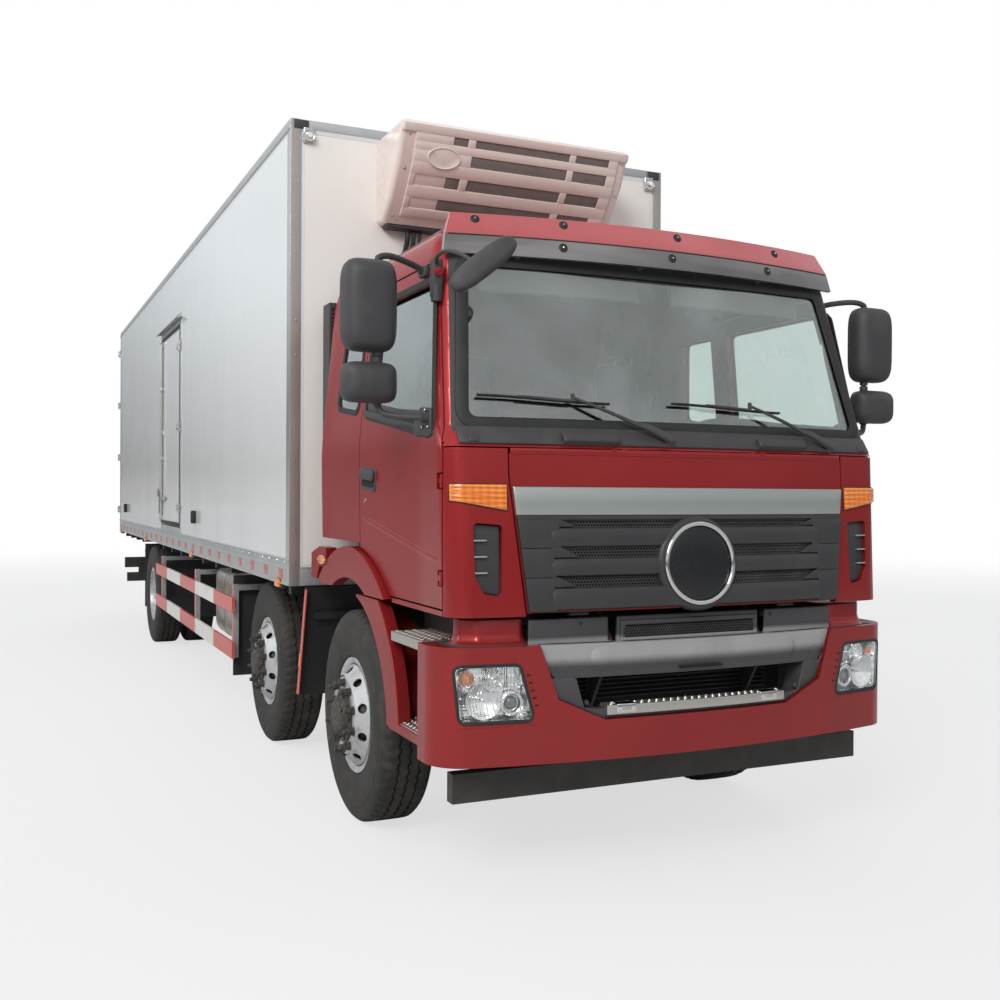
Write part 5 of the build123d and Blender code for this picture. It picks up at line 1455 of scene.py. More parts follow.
def windscreen_trim():
    """Rubber seal round the windscreen, the black strip under it and its two covers."""
    piece = Piece("windscreen_seal", "black_rubber", "dark_plastic")
    outline = rounded([(-1.05, 1.958), (1.05, 1.958), (0.968, 2.682), (-0.968, 2.682)], 0.06, 8)
    seal = [(-0.03, 0.004), (-0.024, 0.0085), (-0.006, 0.01), (0.014, 0.009), (0.026, 0.005), (0.028, -0.001),
            (-0.03, -0.001)]
    piece.rings(on_cab(outline, seal, 0.02), 0, closed=True)
    piece.strip(1, (-1.078, 1.078), 1.872, lambda y: 1.946 - 0.004 * np.abs(y), (0.0005, 0.011), 0.004, 0.025)
    for start, end in ((-0.629, -0.363), (0.369, 0.647)):
        piece.strip(1, (start, end), 1.874, 1.912, (0.008, 0.034), 0.009, 0.03)
    for y in (-1.02, 1.02):
        piece.strip(1, (y - 0.02, y + 0.02), 1.875, 1.9, (0.01, 0.017), 0.004, 0.01)
    return piece.build("cab", crease=38)


def wiper(piece, pivot, joint, blade):
    """One wiper: a turned cap at the pivot, an arm that thins to the joint, and a blade that follows the glass.
    Each is given as (Y, height)."""
    base = cab_face(*pivot, 0.0)
    up = cab_normal(*pivot)
    piece.turned([(0.006, 0.0), (0.006, 0.022), (0.03, 0.02), (0.038, 0.014), (0.04, 0.0)], base, up, 24, 0)
    t = np.linspace(0, 1, 9)
    y = pivot[0] + (joint[0] - pivot[0]) * t
    z = pivot[1] + (joint[1] - pivot[1]) * t
    lift = 0.03 + 0.016 * np.sin(np.pi * t)
    path = cab_face(y, z) + cab_normal(y, z) * lift[:, None]
    wide = np.interp(t, (0.0, 0.3, 0.36, 1.0), (0.02, 0.016, 0.008, 0.0055))
    tall = np.interp(t, (0.0, 0.3, 0.36, 1.0), (0.013, 0.01, 0.007, 0.0045))
    section = rounded(rectangle((-1, 1), (-1, 1)), 0.5, 3)
    centre = path[:, None]
    across = np.stack([wide, tall], 1)
    flat = sweep(path, [(1, 0), (0, 1)], cab_normal(y, z)) - centre
    rings = centre + (section[None, :, :1] * flat[:, None, 0] * across[:, None, :1]
                      + section[None, :, 1:] * flat[:, None, 1] * across[:, None, 1:])
    piece.rings(rings, 0)
    y = np.linspace(blade[0], blade[1], 28)
    z = np.full_like(y, blade[2]) + 0.01 * np.cos((y - blade[0]) / (blade[1] - blade[0]) * np.pi)
    line = cab_face(y, z) + cab_normal(y, z) * 0.019
    piece.bar(line, rounded([(-0.0055, -0.01), (0.0055, -0.01), (0.004, 0.006), (-0.004, 0.006)], 0.003, 2),
              cab_normal(y, z), 1)
    middle = slice(8, 20)
    piece.bar(line[middle] + cab_normal(y, z)[middle] * 0.009, circle(0.0065, 8), cab_normal(y, z)[middle], 0)
    holder = cab_face(*joint) + cab_normal(*joint) * 0.028
    piece.pin(-0.016, 0.016, 0.009, holder, (0, 0, 1), 16, 0)


def wipers():
    """Both wipers, parked along the bottom of the windscreen."""
    piece = Piece("wipers", "dark_plastic", "black_rubber")
    wiper(piece, (-0.11, 1.893), (-0.551, 2.072), (-0.975, -0.375, 2.064))
    wiper(piece, (0.802, 1.884), (0.366, 2.07), (-0.057, 0.545, 2.058))
    return piece.build("cab", crease=38)


def visor_trim():
    """Bolts of the sun visor in two rows, the seam between its two parts, and its three brackets."""
    piece = Piece("visor_fittings", "reflector", "black_rubber", "dark_plastic")
    for y, z in ((-0.9, 2.862), (-0.5, 2.862), (0.08, 2.858), (0.68, 2.852), (-0.52, 2.752), (0.03, 2.752),
                 (0.6, 2.752)):
        place, normal = touch("roof_visor", (8, y, z), (-1, 0, 0))
        piece.turned([(-0.004, 0.0), (-0.004, 0.0215), (0.002, 0.0205), (0.0045, 0.017), (0.005, 0.013),
                      (0.0025, 0.0115), (0.0025, 0.0)], place, normal, 28, 1)
        piece.turned([(0.001, 0.0095), (0.0055, 0.0085), (0.0078, 0.0055), (0.0085, 0.0)], place, normal, 20, 2)
        piece.turned([(0.007, 0.0042), (0.0096, 0.0036), (0.0105, 0.0)], place, normal, 14, 0)
    y = np.linspace(-1.03, 1.03, 60)
    seam = np.array([touch("roof_visor", (8, k, 2.786), (-1, 0, 0))[0] for k in y])
    piece.bar(seam, rounded(rectangle((-0.003, 0.003), (-0.0025, 0.0025)), 0.001, 2), (0, 0, 1), 1)
    for y in (-0.72, -0.12, 0.56):
        start = touch("roof_visor", (8, y, 2.735), (-1, 0, 0))[0]
        back = cab_face(y, 2.7)
        piece.tube([start + (-0.012, 0, 0), (start + back) / 2 + (0, 0, -0.012), back + (0.004, 0, 0)], 0.012, 2,
                   10, (0, 1, 0), smooth=4)
        piece.turned([(0.0, 0.0), (0.0, 0.026), (0.008, 0.024), (0.01, 0.0)], back, cab_normal(y, 2.7), 16, 2)
    return piece.build("cab", crease=38)


class TRUCK_OT_front(Step, bpy.types.Operator):
    """Grille, band, indicators, vents, windscreen seal, wipers and visor fittings"""

    bl_idname = "truck.front"
    bl_label = "Front of the cab"
    makes = (grille, front_band, indicators, vent_fins, windscreen_trim, wipers, visor_trim)


# ---------------------------------------------------------------- bumper, lamps, steps and mirrors
PANEL_EDGE = ((0.728, 0.47), (0.822, 0.68), (1.05, 0.76))    # height, half width of the dark middle panel
LAMP_LOW, LAMP_TALL = 0.745, 0.2215
LAMP = [(1.112, 0.966), (0.85, 0.968), (0.788, 0.745), (1.089, 0.745)]     # (off the middle, height)


def panel_floor(y):
    """Lower edge of the bumper's dark panel at a Y."""
    return np.interp(np.abs(y), [half for _, half in PANEL_EDGE], [height for height, _ in PANEL_EDGE])


def bumper_panel():
    """Dark middle of the bumper round its opening: a beam with a raised bar, two legs that narrow downwards, the
    shelf behind with its punched upright, and the ribbed intake seen through the opening."""
    piece = Piece("bumper_panel", "bumper_plastic", "dark_mesh", "void_black", "black_rubber")
    piece.strip(0, (-0.757, 0.757), lambda y: np.maximum(0.903, panel_floor(y)), 1.0465, (-0.06, -0.017), 0.008,
                0.03, NOSE)
    piece.strip(0, (-0.552, 0.552), 0.912, 1.0465, (-0.055, -0.0015), 0.053, 0.03, NOSE)
    for side in SIDES:

        def leg_top(y):
            return np.interp(np.abs(y), (0.47, 0.56, 0.597), (0.77, 0.778, 0.908))

        piece.strip(0, (side * 0.455, side * 0.735), panel_floor,
                    lambda y: np.maximum(leg_top(y), panel_floor(y) + 0.004), (-0.06, -0.017), 0.006, 0.012, NOSE)
        piece.strip(0, (side * 0.552, side * 0.6), lambda y: leg_top(y) - 0.03, lambda y: leg_top(y) - 0.004,
                    (-0.11, -0.045), 0.004, 0.008, NOSE)
        centre = nose_face(side * 0.652, 0.955, -0.017)
        piece.turned([(-0.004, 0.0), (-0.004, 0.031), (0.0015, 0.03), (0.002, 0.026), (-0.001, 0.0245),
                      (-0.001, 0.0)], centre, nose_normal(side * 0.652, 0.955), 32, 0)
        domed = nose_face(side * 0.545, 0.8, -0.03)
        piece.turned([(0.0, 0.0), (0.0, 0.011), (0.01, 0.01), (0.013, 0.0)], domed, (1, 0, 0), 12, 1)
    piece.strip(0, (-0.48, 0.48), 0.729, 0.772, (-0.06, -0.02), 0.005, 0.04, NOSE)
    # a thin near-black gap line across the beam
    piece.strip(2, (-0.11, 0.11), 0.923, 0.9275, (-0.02, -0.0005), 0.0015, 0.03, NOSE)
    for low, high in ((-0.757, -0.412), (-0.37, 0.37), (0.412, 0.757)):
        piece.strip(0, (low, high), 1.028, 1.0465, (-0.098, -0.03), 0.005, 0.03, NOSE)
    for low, high in ((-0.79, -0.4115), (0.4115, 0.79)):
        piece.block((5.88, 5.896), (low, high), (1.036, 1.148), 0.007, 0)
    # near-black painted shade at the back of the shelf
    piece.block((5.8, 5.804), (-0.64, 0.64), (1.036, 1.144), 0.001, 2)
    piece.block((5.88, 5.9), (-0.37, 0.37), (1.036, 1.148), 0.007, 0)
    piece.block((5.888, 5.914), (-0.358, 0.358), (1.045, 1.056), 0.003, 0)
    piece.block((5.888, 5.912), (-0.358, 0.358), (1.108, 1.13), 0.005, 0)
    for side in SIDES:
        piece.block((5.898, 5.912), (side * 0.336, side * 0.358), (1.05, 1.112), 0.003, 0)
    flat = (lambda y, z: np.stack([np.full(len(y), 5.912), y, z], -1), lambda y, z: np.array((1.0, 0.0, 0.0)))
    mesh(piece, 1, (-0.35, 0.35), (1.054, 1.11), 0.0135, 0.0045, 0.0, 0.005, flat)
    # near-black painted shade behind the punched upright's honeycomb
    piece.block((5.9005, 5.9035), (-0.345, 0.345), (1.052, 1.11), 0.001, 2)
    # near-black painted shade behind the intake's ribs
    piece.block((5.7, 5.712), (-0.64, 0.64), (0.735, 1.0), 0.003, 2)
    for height in np.linspace(0.765, 0.925, 9):
        piece.block((5.708, 5.73), (-0.545, 0.545), (height, height + 0.006), 0.002, 1)
    for y in (-0.547, 0.442):
        piece.turned([(1.113, 0.0), (1.113, 0.034), (1.128, 0.036), (1.14, 0.03), (1.148, 0.016), (1.15, 0.0)],
                     (5.862, y, 0.0), (0, 0, 1), 28, 3)
    return piece.build("chassis", ["bumper_centre"], crease=38)


def flap_latches():
    """Two latches between the flap and the shelf, and a near-black sheet of painted shade in the gap in front of the
    engine. They tilt with the cab, outside the circle that the fixed plates keep within."""
    piece = Piece("flap_latches", "dark_plastic", "black_rubber", "void_black")
    # near-black sheet of painted shade in the gap in front of the engine
    piece.block((5.758, 5.762), (-0.7, 0.7), (1.134, 1.19), 0.001, 2)
    for y in (-0.56, 0.52):
        piece.block((5.88, 5.9125), (y - 0.046, y + 0.046), (1.1595, 1.1775), 0.007, 1, 0.008)
    return piece.build("cab", crease=38)


def bumper_step():
    """Bright tread in the bumper's opening: a folded plate with raised teeth in two rows and two clips."""
    piece = Piece("bumper_step", "bright_tread", "chrome")
    half = 0.462
    piece.strip(0, (-half, half), 0.7445, 0.7855, (-0.075, -0.002), 0.004, 0.05, NOSE)
    for row, off in enumerate((-0.022, -0.048)):
        for y in np.arange(-0.435, 0.44, 0.036) + row * 0.018:
            if abs(y) < half - 0.012:
                place = nose_face(y, 0.785, off)
                piece.turned([(-0.002, 0.0), (-0.002, 0.0115), (0.004, 0.0085), (0.0045, 0.005), (0.001, 0.0035),
                              (0.001, 0.0)], place, (0, 0, 1), 12, 0)
    for y in (-0.372, 0.372):
        piece.strip(1, (y - 0.045, y + 0.045), 0.7505, 0.7895, (-0.05, -0.0005), 0.003, 0.02, NOSE)
        piece.strip(0, (y - 0.022, y + 0.022), 0.762, 0.778, (-0.004, 0.0003), 0.002, 0.02, NOSE)
    return piece.build("chassis", crease=38)


def headlamp(piece, side):
    """One headlamp: a rubber gasket, a bright housing with a floor, three bowls with a bulb in each, the outboard
    one amber, upright and level ribs, a projector in a ring, and the clear cover over them."""
    outline = rounded([(side * y, z) for y, z in LAMP], 0.022, 5)
    outline = resampled(outline, 0.012)
    y, z = outline.T
    turn = -winding(outline)
    forward = (1, side * 0.12, 0)
    gasket = np.array([(-0.001, -0.03), (-0.001, 0.0015), (0.003, 0.004), (0.009, 0.004), (0.012, 0.0),
                       (0.012, -0.03)])
    wall = np.array([(-0.001, -0.07), (-0.001, -0.01), (-0.005, -0.01), (-0.018, -0.066)])
    path, out = nose_face(y, z), nose_normal(y, z)
    piece.rings(sweep(path, gasket * (turn, 1), out, closed=True), 0, closed=True)
    piece.rings(sweep(path, wall * (turn, 1), out, closed=True), 1, closed=True)

    def sheet(section, margin=0.003):
        """Rings across the lamp of a closed (share of the height, distance off the face) section."""
        share, off = np.asarray(section, float).T
        tall = LAMP_LOW + margin + (LAMP_TALL - 2 * margin) * share
        inner = np.interp(tall, (0.745, 0.968), (0.788, 0.85)) + margin
        outer = np.interp(tall, (0.745, 0.966), (1.089, 1.112)) - margin
        wide = side * (inner + (outer - inner) * np.linspace(0, 1, 25)[:, None])
        tall = np.broadcast_to(tall, wide.shape)
        return nose_face(wide, tall) + nose_normal(wide, tall) * off[:, None]

    piece.rings(sheet([(0, -0.11), (0, -0.056), (0.25, -0.056), (0.5, -0.056), (0.75, -0.056), (1, -0.056),
                       (1, -0.11)], 0.006), 1)
    piece.rings(sheet([(0, -0.0095), (0, -0.003), (0.02, 0.0005), (0.08, 0.0018), (0.5, 0.0022), (0.92, 0.0018),
                       (0.98, 0.0005), (1, -0.003), (1, -0.0095), (0.92, -0.0045), (0.5, -0.004), (0.08, -0.0045)]),
                2)

    def bowl(across, up, radius, depth):
        """A bowl whose depth falls as the square of the distance from its rim's centre."""
        centre = nose_face(side * across, up, -0.052)
        share = np.linspace(1.0, 0.12, 7)
        inner = [(depth * (s**2 - 0.02), radius * s) for s in share]
        outer = [(-0.004, 0.0), (-0.004, radius * 1.04), (depth, radius * 1.04)]
        piece.turned([*outer, *inner, (0.0, 0.0)], centre, forward, 32, 1)

    bowl(0.985, 0.828, 0.074, 0.036)
    bowl(0.945, 0.915, 0.046, 0.032)
    bowl(1.055, 0.918, 0.034, 0.03)
    bulb = nose_face(side * 1.055, 0.918, -0.045)
    piece.turned([(0.0, 0.0), (0.0, 0.013), (0.018, 0.013), (0.026, 0.009), (0.029, 0.0)], bulb, forward, 20, 3)
    for across in (0.985, 0.945):
        bulb = nose_face(side * across, 0.828 if across > 0.96 else 0.915, -0.05)
        piece.turned([(0.0, 0.0), (0.0, 0.009), (0.022, 0.008), (0.028, 0.0)], bulb, forward, 16, 4)
    ring_centre = nose_face(side * 0.868, 0.812, -0.05)
    piece.turned([(0.0, 0.0), (0.0, 0.05), (0.026, 0.049), (0.024, 0.037), (0.006, 0.034), (0.006, 0.0)],
                 ring_centre, forward, 40, 1)
    piece.turned(hoop(0.026, 0.043, 0.008, 10), ring_centre, forward, 40, 4, closed=True)
    piece.turned([(0.004, 0.0), (0.004, 0.03), *dome(0.006, 0.022, 0.03)], ring_centre, forward, 32, 5)
    for across in np.linspace(0.885, 0.925, 5):
        piece.strip(4, (side * across, side * (across + 0.006)), 0.872, 0.955, (-0.06, -0.034), 0.0015, 0.01, NOSE)
    for height in np.linspace(0.775, 0.8, 3):
        piece.strip(4, (side * 1.03, side * 1.08), height, height + 0.01, (-0.06, -0.038), 0.003, 0.02, NOSE)


def headlamps():
    """Both headlamps, and the row of short slits beside each one."""
    piece = Piece("headlamps", "black_rubber", "reflector", "clear_lens", "amber_lens", "chrome", "projector_glass",
                  "void_black", "cab_red")
    for side in SIDES:
        headlamp(piece, side)
        # the slits are near-black strips: painted shade inside them
        for height in np.linspace(0.8, 0.925, 5):
            inner = np.interp(height, (0.745, 0.968), (0.77, 0.832))
            piece.strip(6, (side * (inner - 0.018), side * (inner - 0.002)), height, height + 0.007,
                        (-0.002, 0.0012), 0.001, 0.01, NOSE)
        piece.strip(7, (side * 0.775, side * 1.085), 0.722, 0.7305, (-0.003, 0.0035), 0.0035, 0.02, NOSE)
    return piece.build("chassis", ["headlamps"], crease=32)


def necks():
    """Painted necks between the bumper's top and the cab's corners, flared where they meet the bumper."""
    piece = Piece("bumper_necks", "cab_red")
    outline = rounded([(5.7, 0.792), (5.872, 0.792), (5.848, 1.0), (5.79, 1.06), (5.7, 1.06)], 0.035, 4)
    flare = [(1.044, 0.03), (1.049, 0.026), (1.058, 0.014), (1.072, 0.005), (1.092, 0.0), (1.145, 0.0),
             (1.15, 0.002), (1.152, 0.007)]
    piece.rings([np.column_stack([inset(outline, -out if z < 1.14 else out), np.full(len(outline), z)])
                 for z, out in flare], 0)
    piece.both_sides()
    return piece.build("chassis", crease=40)


def step_treads():
    """Punched aluminium treads on the steps: a folded plate with raised round teeth in even rows."""
    piece = Piece("step_treads", "bright_tread")
    for low, high in ((1.0, 1.0455), (0.6, 0.6455)):
        outer = 1.16 if low > 0.9 else 1.15
        piece.block((5.24, 5.625), (-outer, -0.935), (high - 0.004, high), 0.0015, 0)
        piece.block((5.24, 5.625), (-outer - 0.002, -outer + 0.002), (low + 0.004, high), 0.0015, 0)
        for x in np.arange(5.262, 5.62, 0.04):
            for k, y in enumerate(np.arange(-outer + 0.022, -0.945, 0.04)):
                shift = 0.02 * (k % 2)
                if x + shift < 5.612:
                    piece.turned([(-0.001, 0.0), (-0.001, 0.0125), (0.0035, 0.0095), (0.004, 0.0065),
                                  (0.0012, 0.005), (0.0012, 0.0)], (x + shift, y, high), (0, 0, 1), 10, 0)
    piece.both_sides()
    return piece.build("chassis", crease=35)


def mirror_head(piece, centre, size):
    """A mirror's head: squarish ovals that shrink towards the front like a flattened dome, with a lip behind
    and the glass set 4 mm inside it."""
    angle = np.arange(40) * 2 * np.pi / 40
    c, s = np.cos(angle), np.sin(angle)
    wide, tall = bent(c, 0.42), bent(s, 0.42)
    x, y, z = centre
    depth, width, height = size

    def ring(forward, share):
        margin = (1 - share) * width * 0.5
        return np.stack([np.full(40, x + forward), y + wide * (width / 2 - margin),
                         z + tall * (height / 2 - margin)], 1)

    rings = [ring(depth * (0.5 - 0.62 * (1 - np.cos(t))), np.sin(t) ** 0.55)
             for t in np.linspace(0.12, np.pi / 2, 9)]
    rings += [ring(-depth * 0.42, 0.985), ring(-depth * 0.5, 0.94), ring(-depth * 0.5, 0.89),
              ring(-depth * 0.44, 0.87)]
    piece.rings(rings, 0)
    piece.rings([ring(-depth * 0.4, 0.865), ring(-depth * 0.465, 0.865), ring(-depth * 0.468, 0.85)], 1)


def door_mirror(side):
    """The two heads on one upright, with arched arms to a bracket by the door's top and one at its belt."""
    piece = Piece(f"mirror_{NAMES[side]}_heads", "dark_plastic", "mirror_glass", "black_rubber", "chrome")
    mirror_head(piece, (5.55, side * 1.368, 2.455), (0.12, 0.238, 0.39))
    mirror_head(piece, (5.563, side * 1.371, 2.131), (0.112, 0.238, 0.172))
    rod = (5.53, side * 1.33)
    upper = [(5.44, side * 1.09, 2.642), (5.46, side * 1.16, 2.664), (5.505, side * 1.26, 2.676),
             (5.528, side * 1.318, 2.664), (*rod, 2.625), (*rod, 2.4), (*rod, 2.25)]
    lower = [(*rod, 2.25), (*rod, 2.1), (*rod, 2.045), (5.545, side * 1.31, 2.006), (5.59, side * 1.25, 1.99),
             (5.655, side * 1.17, 1.985)]
    for path in (upper, lower):
        piece.tube(path, 0.014, 0, 14, (1, 0, 0.01), smooth=6)
    piece.block((5.395, 5.47), (side * 1.068, side * 1.1), (2.615, 2.662), 0.008, 0, 0.012)
    piece.pin(-0.018, 0.018, 0.016, (5.44, side * 1.096, 2.642), (0, side, 0), 20, 0)
    outline = [(5.48, 1.915), (5.685, 1.905), (5.672, 2.025), (5.56, 2.035), (5.488, 2.0)]
    piece.flank_plate(outline, side, 1.114, 1.15, 0.01, 0, 0.018)
    piece.turned([(-0.03, 0.0), (-0.03, 0.026), (0.03, 0.022), (0.034, 0.0)], (5.65, side * 1.15, 1.985),
                 (0, side, 0), 24, 0)
    for x, z in ((5.597, 1.948), (5.664, 1.948), (5.63, 2.018)):
        domed_bolt(piece, (x, side * 1.151, z), (0, side, 0), 0.006, 3, 2)
    for level in (2.61, 2.262, 2.222, 2.058):
        piece.pin(-0.016, 0.016, 0.0205, (*rod, level), (0, 0, 1), 20, 0)
    return piece.build(f"door_{NAMES[side]}", [f"mirror_{NAMES[side]}"], crease=34)


WINDOW_CORNER, SEAL_STEP = 0.045, 0.03


def window_seal(piece, window, side, foot):
    """The rubber round a window in the cab's flank: its section's first axis points out of the outline and its
    second off the wall. foot ends the section."""
    path = resampled(rounded(window, WINDOW_CORNER, 6), SEAL_STEP)
    section = np.array([(-0.012, -0.004), (-0.012, 0.004), (0.0, 0.006), (0.016, 0.005), *foot])
    rings = sweep(cab_flank(*path.T, side), section * (winding(path) * side, 1), (0, side, 0), closed=True)
    piece.rings(rings, 0, closed=True)


def door_fittings(side):
    """On each door: the window's rubber frame, the strip along its belt, the recessed grip and its lock, and a
    soft crease in the panel that falls towards the front."""
    piece = Piece(f"door_{NAMES[side]}_fittings", "black_rubber", "dark_plastic", "chrome", "cab_red", "void_black")
    window = [(5.695, 1.908), (5.548, 2.59), (4.738, 2.59), (4.738, 2.05)]
    window_seal(piece, window, side, ((0.018, -0.001), (0.018, -0.004)))
    belt = [(4.735, 2.046), (5.7, 1.903), (5.69, 1.936), (4.735, 2.078)]
    wall = cab_half(1.98)
    piece.flank_plate(belt, side, wall - 0.006, wall + 0.006, 0.004, 1, 0.006)
    quarter = [(4.762, 2.05), (5.68, 1.916), (5.668, 2.006), (5.48, 2.028), (5.12, 2.062), (4.762, 2.112)]
    piece.flank_plate(quarter, side, 1.104, 1.1245, 0.005, 1, 0.016)
    grip = [(4.708, 1.69), (4.93, 1.672), (4.938, 1.785), (4.716, 1.8)]
    piece.flank_plate(grip, side, 1.134, 1.1415, 0.003, 1, 0.022)
    # a near-black plate of painted shade at the back of the grip's recess
    piece.flank_plate([(4.724, 1.705), (4.916, 1.69), (4.92, 1.728), (4.728, 1.742)], side, 1.1395, 1.1425, 0.001,
                      4, 0.012)
    piece.flank_plate([(4.72, 1.738), (4.924, 1.723), (4.928, 1.776), (4.724, 1.79)], side, 1.14, 1.156, 0.006, 1,
                      0.014)
    piece.turned([(-0.004, 0.0), (-0.004, 0.013), (0.002, 0.012), (0.003, 0.0)], (4.759, side * 1.1365, 1.633),
                 (0, side, 0), 24, 2)
    # the keyhole: a near-black slot of painted shade
    piece.block((4.7575, 4.7605), (side * 1.1392, side * 1.1402), (1.628, 1.638), 0.0005, 4)
    x = np.linspace(4.7, 5.73, 40)
    z = np.interp(x, (4.7, 5.73), (1.553, 1.39))
    fade = np.clip((x - 4.7) / 0.2, 0, 1) * np.clip((5.73 - x) / 0.2, 0, 1)
    rings = []
    for across, off in ((-0.03, -0.003), (-0.015, 0.0012), (0.0, 0.0042), (0.01, 0.003), (0.016, -0.003)):
        rings.append(cab_flank(x, z + across, side, np.where(off > 0, off * fade, off)))
    piece.rings(np.array(rings).transpose(1, 0, 2), 3)
    return piece.build(f"door_{NAMES[side]}", crease=34)


def cab_sides():
    """On the cab's flanks: the quarter windows' rubber frames, amber side lamps over the wheels, and the grille of
    the air intake."""
    piece = Piece("cab_side_fittings", "black_rubber", "amber_lens", "dark_plastic", "void_black")
    for side in SIDES:
        window = [(4.608, 2.07), (4.608, 2.59), (4.3, 2.59), (4.238, 2.118)]
        window_seal(piece, window, side, ((0.018, -0.004),))
        oval = circle(1.0, 28) * (0.074, 0.026) + (4.088, 1.302)
        piece.flank_plate(circle(1.0, 28) * (0.082, 0.033) + (4.088, 1.302), side, 1.16, 1.166, 0.003, 2)
        piece.flank_plate(oval, side, 1.164, 1.174, 0.006, 1)
    for height in np.arange(2.46, 2.7, 0.022):
        piece.block((3.928, 3.936), (-1.07, -0.875), (height, height + 0.01), 0.002, 2)
    # a near-black sheet of painted shade behind the intake's bars
    piece.block((3.929, 3.932), (-1.074, -0.871), (2.445, 2.712), 0.001, 3)
    return piece.build("cab", crease=34)


def mudguard_edges():
    """Red edge strips on the mudguards between the steered axles, with an amber reflector low on each."""
    piece = Piece("mudguard_edges", "guard_paint", "amber_lens")
    for side in SIDES:
        piece.flank_plate([(3.542, 0.475), (3.582, 0.475), (3.762, 1.11), (3.724, 1.11)], side, 1.158, 1.166, 0.003,
                          0)
        piece.flank_plate([(3.592, 0.64), (3.62, 0.64), (3.643, 0.722), (3.615, 0.722)], side, 1.164, 1.17, 0.002,
                          1, 0.004)
    return piece.build("chassis", crease=34)


class TRUCK_OT_fittings(Step, bpy.types.Operator):
    """Bumper, headlamps, steps, mirrors and door fittings"""

    bl_idname = "truck.fittings"
    bl_label = "Bumper, lamps and mirrors"
    makes = (bumper_panel, flap_latches, bumper_step, headlamps, necks, step_treads, cab_sides, mudguard_edges)
    sided = (door_mirror, door_fittings)


# ---------------------------------------------------------------- box
SILL = (1.128, 1.284)           # heights of the side rails' lower and upper edges
RAIL_X = (-5.876, 3.7)
TRIM_X, TRIM_Y = 3.698, (-1.193, 1.193)     # back and span of the trims across the front wall
DOOR_X = (-1.67, -0.47)
DOOR_Z = (1.345, 3.215)


def box_rails():
    """Aluminium rails along the box: a sill with a lip at each edge, a roof rail, uprights at the front corners,
    and trims across the front wall, riveted at the panel's pitch."""
    piece = Piece("box_rails", "aluminium", "box_white", "stainless", "corner_trim", "black_rubber")
    pitch = bpy.context.scene.truck_sizes.rivet_pitch
    y = BOX_SIDE
    piece.block(RAIL_X, (y - 0.002, y + 0.004), SILL, 0.0015, 0)
    for height, deep in ((SILL[1] - 0.01, 0.0105), (SILL[0], 0.0105), (1.221, 0.0065)):
        piece.block((-5.876, 3.702), (y - 0.002, y + deep), (height, height + 0.01), 0.003, 0)
    piece.block(RAIL_X, (y - 0.002, y + 0.005), (3.772, 3.8235), 0.0018, 0)
    piece.block(RAIL_X, (y - 0.002, y + 0.009), (3.766, 3.778), 0.003, 0)
    piece.block((3.625, 3.699), (y - 0.002, y + 0.0048), (SILL[1], 3.766), 0.002, 1)
    piece.block((3.619, 3.626), (y - 0.002, y + 0.003), (SILL[1], 3.766), 0.001, 4)
    piece.block((TRIM_X, 3.705), (1.192, 1.2545), (1.128, 3.8235), 0.002, 3)
    for height in np.arange(1.26, 3.78, pitch):
        piece.turned([(0.0, 0.0), (0.0, 0.0075), (0.002, 0.0062), (0.0033, 0.0)], (3.7048, 1.222, height),
                     (1, 0, 0), 10, 2)
    for x in np.arange(-5.8, 3.66, pitch):
        for height in (SILL[1] - 0.022, 3.8):
            piece.turned([(0.0, 0.0), (0.0, 0.006), (0.002, 0.005), (0.003, 0.0)],
                         (x, y + (0.004 if height < 2 else 0.005), height), (0, 1, 0), 8, 2)
    piece.both_sides()
    piece.block((TRIM_X, 3.7035), TRIM_Y, (1.128, 1.235), 0.0015, 0)
    piece.block((TRIM_X, 3.7035), TRIM_Y, (3.772, 3.8235), 0.0015, 0)
    piece.block((TRIM_X, 3.708), TRIM_Y, (1.226, 1.238), 0.003, 0)
    return piece.build("chassis", crease=32)


def box_lamps():
    """Red reflective squares along the sills, amber lamps under them, and lamps at the front's top corners."""
    piece = Piece("box_lamps", "reflective_red", "amber_lens", "dark_plastic", "clear_lens", "reflector",
                  "red_lens", "stainless")
    y = BOX_SIDE + 0.0038
    for x in np.arange(3.5, -5.8, -0.4):
        piece.block((x - 0.05, x + 0.05), (y, y + 0.0022), (1.158, 1.216), 0.0008, 0, 0.004)
    for x in (3.456, 0.247, -2.962, -5.62):
        piece.block((x - 0.058, x + 0.058), (BOX_SIDE - 0.03, BOX_SIDE + 0.006), (1.1, 1.16), 0.006, 2)
        piece.block((x - 0.05, x + 0.05), (BOX_SIDE + 0.003, BOX_SIDE + 0.022), (1.105, 1.155), 0.008, 1, 0.012)
    piece.block((3.7, 3.722), (1.118, 1.186), (3.69, 3.775), 0.004, 6, 0.012)
    piece.block((3.701, 3.712), (1.15, 1.236), (3.77, 3.818), 0.003, 2)
    piece.pin(0.008, 0.018, 0.034, (3.712, 1.152, 3.728), (1, 0, 0), 28, 6)
    piece.turned([(0.012, 0.0), (0.014, 0.031), *dome(0.016, 0.036, 0.032, 9, 0.8)], (3.712, 1.152, 3.728),
                 (1, 0, 0), 28, 3)
    piece.turned([(0.0175, 0.0), (0.0175, 0.018), (0.03, 0.012), (0.034, 0.0)], (3.712, 1.152, 3.728), (1, 0, 0),
                 16, 4)
    piece.both_sides()
    return piece.build("chassis", crease=34)


